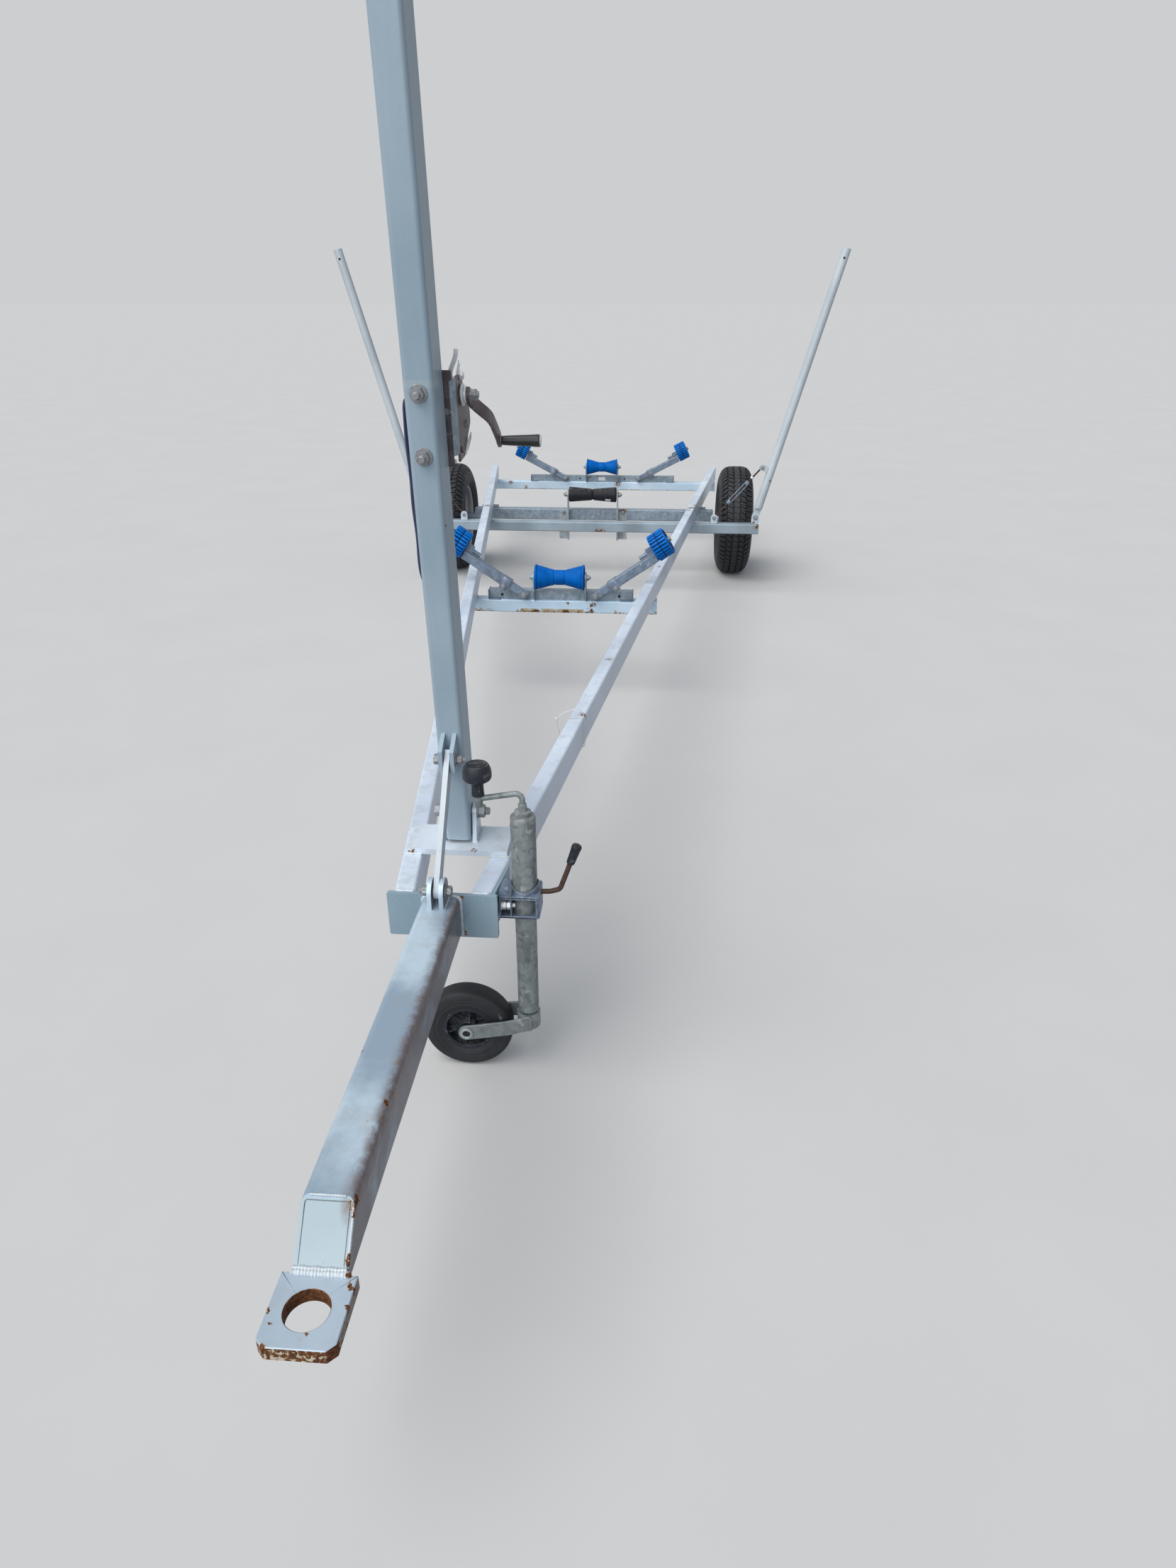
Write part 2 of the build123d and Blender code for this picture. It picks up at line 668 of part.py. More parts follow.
# Front and rear roller sets: channel, keel roller, telescopic arms and side rollers
upright_x = keel_length / 2 + roller_side_gap + upright_thickness / 2
for word, back, channel_half, arm_root, arm_angle in (
    ("front", front_beam_back, front_channel_half, front_arm_root, front_arm_angle),
    ("rear", rear_beam_back, rear_channel_half, rear_arm_root, rear_arm_angle),
):
    web_y = front_y + back - channel_depth / 2 + 4
    keel_y = web_y - upright_width / 2
    keel_z = rail_bottom + keel_axis_height
    channel_top = rail_bottom + channel_height
    with BuildPart() as channel:
        with BuildSketch(Plane.YZ):
            with BuildLine():
                Polyline(
                    (web_y, rail_bottom),
                    (web_y, channel_top),
                    (web_y + channel_depth, channel_top),
                    (web_y + channel_depth, channel_top - channel_wall),
                    (web_y + channel_wall, channel_top - channel_wall),
                    (web_y + channel_wall, rail_bottom + channel_wall),
                    (web_y + channel_depth, rail_bottom + channel_wall),
                    (web_y + channel_depth, rail_bottom),
                    close=True,
                )
            make_face()
        extrude(amount=channel_half, both=True)
        for side in (-1, 1):
            with BuildSketch(Plane.YZ.offset(side * upright_x)):
                with BuildLine():
                    Polyline(
                        (web_y, rail_bottom + 2),
                        (web_y, keel_z),
                        (web_y - upright_width, keel_z),
                        (web_y - upright_width, channel_top + 6),
                        (web_y - upright_width / 2, rail_bottom + 2),
                        close=True,
                    )
                make_face()
                with Locations((keel_y, keel_z)):
                    Circle(upright_width / 2)
            extrude(amount=upright_thickness / 2, both=True)
        with BuildSketch(Plane.YZ):
            with Locations((keel_y, keel_z)):
                Circle(roller_bolt_radius)
        extrude(amount=upright_x + upright_thickness / 2 + 14, both=True)
        for side in (-1, 1):
            with BuildSketch(Plane.YZ.offset(side * (upright_x + upright_thickness / 2 + 4))):
                with Locations((keel_y, keel_z)):
                    RegularPolygon(roller_bolt_radius * 1.6, 6)
            extrude(amount=4, both=True)
    channel.part.label = f"{word}_roller_channel"
    export_step(channel.part, f"parts/{word}_roller_channel.step")
    with BuildPart() as keel:
        with BuildSketch(Plane.XY.offset(keel_z)):
            with BuildLine():
                Polyline(
                    (-keel_length / 2, keel_y + roller_bolt_radius + running_gap),
                    (-keel_length / 2, keel_y + keel_radius - 4),
                    (-keel_length / 2 + 4, keel_y + keel_radius),
                    (-keel_length / 2 + 12, keel_y + keel_radius),
                    (-keel_flat / 2, keel_y + keel_waist_radius),
                    (keel_flat / 2, keel_y + keel_waist_radius),
                    (keel_length / 2 - 12, keel_y + keel_radius),
                    (keel_length / 2 - 4, keel_y + keel_radius),
                    (keel_length / 2, keel_y + keel_radius - 4),
                    (keel_length / 2, keel_y + roller_bolt_radius + running_gap),
                    close=True,
                )
            make_face()
        revolve(axis=Axis((0, keel_y, keel_z), (1, 0, 0)))
    keel.part.label = f"{word}_keel_roller"
    export_step(keel.part, f"parts/{word}_keel_roller.step")
    arm_y = web_y - arm_outer_size / 2 - 1
    arm_z = rail_bottom + arm_root_height
    for side, hand in ((-1, "left"), (1, "right")):
        lean = radians(arm_angle)
        out = (side * cos(lean), 0, sin(lean))
        arm_plane = Plane((side * arm_root, arm_y, arm_z), x_dir=out, z_dir=(0, -side, 0))
        cross_plane = Plane((side * arm_root, arm_y, arm_z), x_dir=(0, 1, 0), z_dir=out)
        rise = arm_rod_rise * side
        with BuildPart() as arm:
            with BuildSketch(cross_plane.offset(-arm_inner_size / 2)):
                with Locations((0, 0)):
                    RectangleRounded(arm_inner_size, arm_inner_size, 3)
            extrude(amount=arm_inner_length)
            with BuildSketch(cross_plane.offset(arm_sleeve_start)):
                RectangleRounded(arm_outer_size, arm_outer_size, 4)
            extrude(amount=arm_end - arm_sleeve_start)
            with BuildSketch(cross_plane.offset(arm_inner_length)):
                Rectangle(arm_outer_size - 2 * arm_wall, arm_outer_size - 2 * arm_wall)
            extrude(amount=arm_end - arm_inner_length, mode=Mode.SUBTRACT)
            with BuildSketch(Plane.XZ.offset(-web_y)):
                with Locations((side * arm_root, arm_z)):
                    Circle(7)
            extrude(amount=arm_outer_size + 6)
            rod_plane = Plane(
                (
                    side * (arm_root - arm_rod_rise * sin(lean)),
                    arm_y,
                    arm_z + arm_rod_rise * cos(lean),
                ),
                x_dir=(0, 1, 0),
                z_dir=out,
            )
            with BuildSketch(rod_plane.offset(arm_end - arm_rod_length)):
                Circle(side_rod_radius)
            extrude(amount=arm_reach + side_width / 2 + 8 - arm_end + arm_rod_length)
            with BuildSketch(rod_plane.offset(arm_end - 26)):
                Rectangle(2 * side_rod_radius, 2 * arm_rod_rise - arm_outer_size + 8)
            extrude(amount=26)
        arm.part.label = f"{word}_arm_{hand}"
        export_step(arm.part, f"parts/{word}_arm_{hand}.step")
        with BuildPart() as roller:
            with BuildSketch(rod_plane.offset(arm_reach - side_width / 2)):
                Circle(side_radius)
                Circle(side_rod_radius + running_gap, mode=Mode.SUBTRACT)
            extrude(amount=side_width)
            chamfer(roller.edges().filter_by(GeomType.CIRCLE).sort_by(SortBy.RADIUS)[-2:], 3)
        roller.part.label = f"{word}_side_roller_{hand}"
        export_step(roller.part, f"parts/{word}_side_roller_{hand}.step")

# Angle irons at the axle with the middle keel roller's bolt
angle_front_y = axle_beam_y - axle_size / 2
angle_web_x = axle_keel_length / 2 + roller_side_gap + angle_thickness / 2
middle_keel_y = angle_front_y - angle_web_depth / 2
with BuildPart() as axle_roller_bracket:
    for side in (-1, 1):
        with BuildSketch(Plane.XZ.offset(-angle_front_y)):
            with Locations(
                (side * (angle_web_x - angle_thickness / 2 + angle_leg / 2), (angle_bottom_z + axle_middle_z + 22) / 2)
            ):
                Rectangle(angle_leg, axle_middle_z + 22 - angle_bottom_z)
        extrude(amount=angle_thickness)
        with BuildSketch(Plane.YZ.offset(side * angle_web_x)):
            with BuildLine():
                Polyline(
                    (angle_front_y, angle_bottom_z),
                    (angle_front_y, axle_keel_axis_z),
                    (angle_front_y - angle_web_depth, axle_keel_axis_z),
                    (angle_front_y - angle_web_depth, angle_bottom_z),
                    close=True,
                )
            make_face()
            with Locations((middle_keel_y, axle_keel_axis_z)):
                Circle(angle_web_depth / 2)
        extrude(amount=angle_thickness / 2, both=True)
        with BuildSketch(Plane.YZ.offset(side * (angle_web_x + angle_thickness / 2 + 4))):
            with Locations((middle_keel_y, axle_keel_axis_z)):
                RegularPolygon(roller_bolt_radius * 1.6, 6)
        extrude(amount=4, both=True)
    with BuildSketch(Plane.YZ):
        with Locations((middle_keel_y, axle_keel_axis_z)):
            Circle(roller_bolt_radius)
    extrude(amount=angle_web_x + angle_thickness / 2 + 14, both=True)
axle_roller_bracket.part.label = "axle_roller_bracket"
export_step(axle_roller_bracket.part, "parts/axle_roller_bracket.step")

with BuildPart() as axle_keel_roller:
    with BuildSketch(Plane.XY.offset(axle_keel_axis_z)):
        with BuildLine():
            Polyline(
                (-axle_keel_length / 2, middle_keel_y + roller_bolt_radius + running_gap),
                (-axle_keel_length / 2, middle_keel_y + axle_keel_radius - 3),
                (-axle_keel_length / 2 + 4, middle_keel_y + axle_keel_radius),
                (0, middle_keel_y + axle_keel_waist_radius),
                (axle_keel_length / 2 - 4, middle_keel_y + axle_keel_radius),
                (axle_keel_length / 2, middle_keel_y + axle_keel_radius - 3),
                (axle_keel_length / 2, middle_keel_y + roller_bolt_radius + running_gap),
                close=True,
            )
        make_face()
    revolve(axis=Axis((0, middle_keel_y, axle_keel_axis_z), (1, 0, 0)))
axle_keel_roller.part.label = "axle_keel_roller"
export_step(axle_keel_roller.part, "parts/axle_keel_roller.step")

# Winch frame on the mast's back, with its two bolts through the mast
winch_plane = Plane(mast_plane.from_local_coords(Vector(0, mast_depth / 2, winch_height)),
                    x_dir=mast_plane.x_dir, z_dir=mast_plane.z_dir)
winch_side = Plane(winch_plane.origin, x_dir=winch_plane.y_dir, z_dir=winch_plane.x_dir)
winch_face = Plane(winch_plane.origin, x_dir=winch_plane.x_dir, z_dir=-winch_plane.y_dir)
side_plate_x = winch_base_width / 2 - winch_side_thickness / 2
with BuildPart() as winch_frame:
    with BuildSketch(winch_face):
        with Locations((0, (winch_base_top - winch_base_bottom) / 2)):
            Rectangle(winch_base_width, winch_base_top + winch_base_bottom)
    extrude(amount=-winch_base_thickness)
    for side in (-1, 1):
        with BuildSketch(winch_side.offset(side * side_plate_x)):
            with BuildLine():
                Polyline(
                    (0, -winch_side_bottom),
                    (winch_side_depth * 0.62, -winch_side_bottom),
                    (winch_side_depth * 0.78, drum_rise - gear_radius / 2),
                    (winch_side_depth, drum_rise - 6),
                    (winch_side_depth, drum_rise + 14),
                    (winch_side_depth * 0.9, crank_shaft_rise - 18),
                    (winch_side_depth * 0.62, crank_shaft_rise + 4),
                    (winch_side_depth * 0.64, winch_side_top),
                    (0, winch_side_top),
                    close=True,
                )
            make_face()
            with Locations((crank_shaft_out, crank_shaft_rise)):
                Circle(crank_shaft_radius + running_gap, mode=Mode.SUBTRACT)
            with Locations((drum_out, drum_rise)):
                Circle(crank_shaft_radius + running_gap, mode=Mode.SUBTRACT)
        extrude(amount=winch_side_thickness / 2, both=True)
    for rise in (-winch_bolt_spacing / 2, winch_bolt_spacing / 2):
        with BuildSketch(winch_face):
            with Locations((0, rise)):
                Circle(winch_bolt_radius)
        extrude(amount=mast_depth + 26)
        with BuildSketch(winch_face.offset(mast_depth)):
            with Locations((0, rise)):
                Circle(winch_bolt_radius * 2.2)
        extrude(amount=2.5)
        with BuildSketch(winch_face.offset(mast_depth + 2.5)):
            with Locations((0, rise)):
                RegularPolygon(winch_bolt_radius * 1.7, 6)
        extrude(amount=10)
winch_frame.part.label = "winch_frame"
export_step(winch_frame.part, "parts/winch_frame.step")

# Drum with its gear and the wound strap's outer shape
drum_half = side_plate_x - winch_side_thickness / 2 - 2
with BuildPart() as winch_drum:
    with BuildSketch(winch_side):
        with Locations((drum_out, drum_rise)):
            Circle(crank_shaft_radius)
    extrude(amount=side_plate_x + winch_side_thickness / 2 + 3, both=True)
    with BuildSketch(winch_side):
        with Locations((drum_out, drum_rise)):
            Circle(drum_radius)
    extrude(amount=drum_half, both=True)
    with BuildSketch(winch_side.offset(drum_half - gear_thickness)):
        with Locations((drum_out, drum_rise)):
            Circle(gear_radius - 6)
    extrude(amount=gear_thickness)
winch_drum.part.label = "winch_drum"
export_step(winch_drum.part, "parts/winch_drum.step")

# Crank: shaft, arm that slants outwards, and the grip's pin
turn = radians(crank_angle)
grip_y = crank_shaft_out + crank_arm_length * sin(turn)
grip_z = crank_shaft_rise - crank_arm_length * cos(turn)
arm_in_x = crank_shaft_reach - 6
arm_out_x = arm_in_x + crank_arm_outward
crank_arm_slant = sqrt(crank_arm_length ** 2 + (arm_out_x - arm_in_x) ** 2)
crank_arm_start = winch_plane.from_local_coords(Vector(arm_in_x, crank_shaft_out, crank_shaft_rise))
crank_arm_stop = winch_plane.from_local_coords(Vector(arm_out_x, grip_y, grip_z))
crank_across = Vector(winch_plane.x_dir).cross(crank_arm_stop - crank_arm_start)
with BuildPart() as winch_crank:
    with BuildSketch(winch_side.offset(-side_plate_x - winch_side_thickness / 2 - 6)):
        with Locations((crank_shaft_out, crank_shaft_rise)):
            Circle(crank_shaft_radius)
    extrude(amount=crank_shaft_reach + side_plate_x + winch_side_thickness / 2 + 6)
    with BuildSketch(winch_side.offset(side_plate_x + winch_side_thickness / 2 + 2.5)):
        with Locations((crank_shaft_out, crank_shaft_rise)):
            Circle(crank_shaft_radius * 2.1)
    extrude(amount=10)
    with BuildSketch(winch_side.offset(crank_shaft_reach)):
        with Locations((crank_shaft_out, crank_shaft_rise)):
            RegularPolygon(crank_shaft_radius * 1.3, 6)
    extrude(amount=crank_nut_length)
    with BuildSketch(Plane(crank_arm_start, x_dir=crank_across, z_dir=crank_arm_stop - crank_arm_start)):
        Rectangle(crank_arm_width, crank_arm_thickness)
    extrude(amount=crank_arm_slant)
    with BuildSketch(winch_side.offset(arm_in_x - crank_arm_thickness / 2)):
        with Locations((crank_shaft_out, crank_shaft_rise)):
            Circle(crank_arm_width / 2)
    extrude(amount=crank_arm_thickness)
    with BuildSketch(winch_side.offset(arm_out_x - crank_arm_thickness / 2)):
        with Locations((grip_y, grip_z)):
            Circle(crank_arm_width / 2)
    extrude(amount=crank_arm_thickness)
    with BuildSketch(winch_side.offset(arm_out_x)):
        with Locations((grip_y, grip_z)):
            Circle(crank_pin_radius)
    extrude(amount=crank_arm_thickness + grip_length - 4)
winch_crank.part.label = "winch_crank"
export_step(winch_crank.part, "parts/winch_crank.step")

grip_start_x = arm_out_x + crank_arm_thickness / 2 + 0.5
with BuildPart() as winch_grip:
    with BuildSketch(winch_side.offset(grip_start_x)):
        with Locations((grip_y, grip_z)):
            Circle(grip_radius * 0.68)
    extrude(amount=grip_length, taper=-2.8)
    fillet(winch_grip.edges().filter_by(GeomType.CIRCLE), 2)
    with BuildSketch(winch_side.offset(grip_start_x)):
        with Locations((grip_y, grip_z)):
            Circle(crank_pin_radius + running_gap)
    extrude(amount=crank_arm_thickness / 2 + grip_length - 4, mode=Mode.SUBTRACT)
winch_grip.part.label = "winch_grip"
export_step(winch_grip.part, "parts/winch_grip.step")

# Strap: from the winch's left side plate down beside the mast to a loop bolted on its left face
strap_x = winch_base_width / 2 + strap_side_gap
strap_top = winch_height + strap_rise
with BuildPart() as winch_strap:
    with BuildSketch(Plane(mast_plane.origin, x_dir=mast_plane.x_dir, z_dir=-mast_plane.y_dir)):
        with BuildLine():
            Polyline(
                (-winch_base_width / 2, strap_top),
                (-strap_x, strap_top - 30),
                (-strap_x + strap_draw_in, strap_top - strap_drop + 40),
                (-mast_width / 2, strap_top - strap_drop),
                (-mast_width / 2, strap_top - strap_drop - 40),
                (-mast_width / 2 - strap_thickness, strap_top - strap_drop - 40),
                (-mast_width / 2 - strap_thickness, strap_top - strap_drop - 2),
                (-strap_x + strap_draw_in - strap_thickness, strap_top - strap_drop + 38),
                (-strap_x - strap_thickness, strap_top - 28),
                (-winch_base_width / 2, strap_top + 8),
                close=True,
            )
        make_face()
    extrude(amount=-(mast_depth / 2 + winch_base_thickness + strap_width))
    with BuildSketch(mast_plane.offset(strap_top - strap_drop - 41)):
        with Locations((-mast_width / 2 - strap_x / 2, 0)):
            Rectangle(strap_x, mast_depth - strap_width / 2)
    extrude(amount=strap_drop + 60, mode=Mode.SUBTRACT)
winch_strap.part.label = "winch_strap"
export_step(winch_strap.part, "parts/winch_strap.step")

# Jockey wheel: clamp on the right rail's outer side
jockey_y = front_y + jockey_back
plate_end = clamp_plate_length
clamp_bottom = clamp_rise - clamp_height / 2
rail_out_front = rail_middle(plate_thickness) + rail_side
rail_out_end = rail_middle(plate_end) + rail_side
rail_out_here = rail_middle(jockey_back) + rail_side
clamp_ring = jockey_tube_radius + jockey_fit + clamp_wall
lever_start_x = jockey_x + clamp_ring
with BuildPart() as jockey_clamp:
    with BuildSketch(Plane.XY.offset(clamp_bottom - 14)):
        with BuildLine():
            Polyline(
                (rail_out_front, front_y + plate_thickness),
                (rail_out_front + clamp_plate_thickness, front_y + plate_thickness),
                (rail_out_end + clamp_plate_thickness, front_y + plate_end),
                (rail_out_end, front_y + plate_end),
                close=True,
            )
        make_face()
    extrude(amount=clamp_height + 28)
    with BuildSketch(Plane.XY.offset(clamp_bottom)):
        with Locations((jockey_x, jockey_y)):
            Circle(clamp_ring)
        with Locations(((jockey_x + rail_out_here + clamp_plate_thickness) / 2, jockey_y)):
            Rectangle(jockey_x - rail_out_here - clamp_plate_thickness + 4, 2 * clamp_ring - 16)
    extrude(amount=clamp_height)
    with BuildSketch(Plane.XY.offset(clamp_bottom)):
        with Locations((jockey_x, jockey_y)):
            Circle(jockey_tube_radius + jockey_fit)
    extrude(amount=clamp_height, mode=Mode.SUBTRACT)
    with BuildLine() as lever_path:
        FilletPolyline(
            (lever_start_x - 4, jockey_y, clamp_rise + lever_root_rise),
            (lever_start_x + lever_bend_reach, jockey_y, clamp_rise + lever_bend_rise),
            (lever_start_x + lever_reach, jockey_y, clamp_rise + lever_rise),
            radius=14,
        )
    with BuildSketch(Plane(lever_path.line @ 0, z_dir=lever_path.line % 0)):
        Circle(lever_radius)
    sweep(path=lever_path.line)
jockey_clamp.part.label = "jockey_clamp"
export_step(jockey_clamp.part, "parts/jockey_clamp.step")

lever_lean = atan2(lever_rise - lever_bend_rise, lever_reach - lever_bend_reach)
grip_base = Vector(lever_start_x + lever_reach, jockey_y, clamp_rise + lever_rise)
with BuildPart() as jockey_lever_grip:
    with BuildSketch(Plane(grip_base, z_dir=(cos(lever_lean), 0, sin(lever_lean)))):
        Circle(lever_grip_radius * 0.8)
    extrude(amount=lever_grip_length, taper=-3)
    fillet(jockey_lever_grip.edges().group_by(Axis.Z)[-1], 6)
jockey_lever_grip.part.label = "jockey_lever_grip"
export_step(jockey_lever_grip.part, "parts/jockey_lever_grip.step")

# Outer tube with closed top, collar and socket
with BuildPart() as jockey_outer_tube:
    with BuildSketch(Plane.XY.offset(jockey_tube_bottom)):
        with Locations((jockey_x, jockey_y)):
            Circle(jockey_tube_radius)
    extrude(amount=jockey_tube_top - jockey_tube_bottom)
    fillet(jockey_outer_tube.edges().group_by(Axis.Z)[-1], 6)
    with BuildSketch(Plane.XY.offset(jockey_tube_bottom)):
        with Locations((jockey_x, jockey_y)):
            Circle(jockey_leg_radius + jockey_fit)
    extrude(amount=jockey_tube_top - jockey_tube_bottom - 4, mode=Mode.SUBTRACT)
    with BuildSketch(Plane.XY.offset(jockey_tube_top - 1)):
        with Locations((jockey_x, jockey_y)):
            Circle(jockey_cap_radius)
    extrude(amount=jockey_cap_height + 1)
    with BuildSketch(Plane.XY.offset(jockey_tube_top + jockey_cap_height)):
        with Locations((jockey_x, jockey_y)):
            Circle(jockey_socket_radius)
    extrude(amount=jockey_socket_height)
jockey_outer_tube.part.label = "jockey_outer_tube"
export_step(jockey_outer_tube.part, "parts/jockey_outer_tube.step")

# Crank rod bent over to the black knob
rod_z = jockey_tube_top + jockey_cap_height + jockey_socket_height
knob_x = jockey_x - knob_reach
with BuildPart() as jockey_crank:
    with BuildLine() as rod_path:
        FilletPolyline(
            (jockey_x, jockey_y, rod_z),
            (jockey_x, jockey_y, rod_z + crank_rod_rise),
            (knob_x, jockey_y, rod_z + crank_rod_end_rise),
            radius=12,
        )
    with BuildSketch(Plane(rod_path.line @ 0, z_dir=rod_path.line % 0)):
        Circle(crank_rod_radius)
    sweep(path=rod_path.line)
    with BuildSketch(Plane.XY.offset(rod_z - 8)):
        with Locations((knob_x, jockey_y)):
            Circle(crank_rod_radius + 3)
    extrude(amount=knob_seat + 8)
jockey_crank.part.label = "jockey_crank"
export_step(jockey_crank.part, "parts/jockey_crank.step")

knob_z = rod_z + knob_seat
with BuildPart() as jockey_knob:
    with BuildSketch(Plane.XY.offset(knob_z)):
        with Locations((knob_x, jockey_y)):
            Circle(knob_stem_radius)
    extrude(amount=knob_stem_height)
    with BuildSketch(Plane.XY.offset(knob_z + knob_stem_height)):
        with Locations((knob_x, jockey_y)):
            Circle(knob_radius)
    extrude(amount=knob_height)
    fillet(jockey_knob.edges().filter_by(GeomType.CIRCLE).group_by(SortBy.RADIUS)[-1], 12)
jockey_knob.part.label = "jockey_knob"
export_step(jockey_knob.part, "parts/jockey_knob.step")

# Inner leg with the swivel pin below it
fork_head_top = jockey_leg_bottom - swivel_gap
fork_head_bottom = fork_head_top - fork_arm_height
with BuildPart() as jockey_leg:
    with BuildSketch(Plane.XY.offset(jockey_leg_bottom)):
        with Locations((jockey_x, jockey_y)):
            Circle(jockey_leg_radius)
    extrude(amount=jockey_leg_top - jockey_leg_bottom)
    with BuildSketch(Plane.XY.offset(fork_head_bottom - 4)):
        with Locations((jockey_x, jockey_y)):
            Circle(swivel_pin_radius)
    extrude(amount=jockey_leg_bottom - fork_head_bottom + 4)
jockey_leg.part.label = "jockey_leg"
export_step(jockey_leg.part, "parts/jockey_leg.step")

# Fork: head around the swivel pin, two arms and the wheel's axle
jockey_wheel_x = jockey_x - jockey_trail
fork_inner = jockey_tyre_width / 2 + fork_gap
fork_outer = fork_inner + fork_thickness
fork_head_z = (fork_head_top + fork_head_bottom) / 2
with BuildPart() as jockey_fork:
    with BuildSketch(Plane.XY.offset(fork_head_bottom)):
        with Locations((jockey_x, jockey_y)):
            Circle(fork_head_radius)
            Rectangle(2 * (fork_head_radius - 4), 2 * fork_outer)
    extrude(amount=fork_arm_height)
    for side in (-1, 1):
        with BuildSketch(Plane.XZ.offset(-(jockey_y + side * (fork_inner + fork_thickness / 2)))):
            with BuildLine():
                Polyline(
                    (jockey_x + fork_head_radius - 4, fork_head_bottom),
                    (jockey_x + fork_head_radius - 4, fork_head_top),
                    (jockey_x - 10, fork_head_top),
                    (jockey_wheel_x, jockey_tyre_radius + fork_arm_height / 2 - 2),
                    (jockey_wheel_x, jockey_tyre_radius - fork_arm_height / 2 + 2),
                    (jockey_x - 10, fork_head_bottom),
                    close=True,
                )
            make_face()
            with Locations((jockey_wheel_x, jockey_tyre_radius)):
                Circle(fork_arm_height / 2 - 2)
        extrude(amount=fork_thickness / 2, both=True)
    with BuildSketch(Plane.XZ.offset(-jockey_y)):
        with Locations((jockey_wheel_x, jockey_tyre_radius)):
            Circle(jockey_axle_radius)
    extrude(amount=fork_outer + 4, both=True)
    with BuildSketch(Plane.XY.offset(fork_head_bottom)):
        with Locations((jockey_x, jockey_y)):
            Circle(swivel_pin_radius + jockey_fit)
    extrude(amount=fork_arm_height, mode=Mode.SUBTRACT)
jockey_fork.part.label = "jockey_fork"
export_step(jockey_fork.part, "parts/jockey_fork.step")

# Jockey wheel's tyre and rim
jockey_plane = Plane((jockey_wheel_x, jockey_y, jockey_tyre_radius), x_dir=(0, 1, 0), z_dir=(1, 0, 0))
jockey_axis = Axis((jockey_wheel_x, jockey_y, jockey_tyre_radius), (0, 1, 0))
half_jockey = jockey_tyre_width / 2
with BuildPart() as jockey_tyre:
    with BuildSketch(jockey_plane):
        with BuildLine():
            Polyline(
                (-half_jockey + 4, jockey_rim_radius),
                (-half_jockey, jockey_rim_radius + 8),
                (-half_jockey, jockey_tyre_radius - 16),
                (-half_jockey + 5, jockey_tyre_radius - 5),
                (-half_jockey + 14, jockey_tyre_radius),
                (half_jockey - 14, jockey_tyre_radius),
                (half_jockey - 5, jockey_tyre_radius - 5),
                (half_jockey, jockey_tyre_radius - 16),
                (half_jockey, jockey_rim_radius + 8),
                (half_jockey - 4, jockey_rim_radius),
                close=True,
            )
        make_face()
    revolve(axis=jockey_axis)
jockey_tyre.part.label = "jockey_tyre"
export_step(jockey_tyre.part, "parts/jockey_tyre.step")

with BuildPart() as jockey_rim:
    with BuildSketch(jockey_plane):
        with BuildLine():
            Polyline(
                (-half_jockey + 4, jockey_rim_radius),
                (half_jockey - 4, jockey_rim_radius),
                (half_jockey - 4, jockey_rim_radius - 6),
                (6, jockey_rim_radius - 10),
                (6, 22),
                (half_jockey, 20),
                (half_jockey, jockey_axle_radius + running_gap),
                (-half_jockey, jockey_axle_radius + running_gap),
                (-half_jockey, 20),
                (-6, 22),
                (-6, jockey_rim_radius - 10),
                (-half_jockey + 4, jockey_rim_radius - 6),
                close=True,
            )
        make_face()
    revolve(axis=jockey_axis)
jockey_rim.part.label = "jockey_rim"
export_step(jockey_rim.part, "parts/jockey_rim.step")

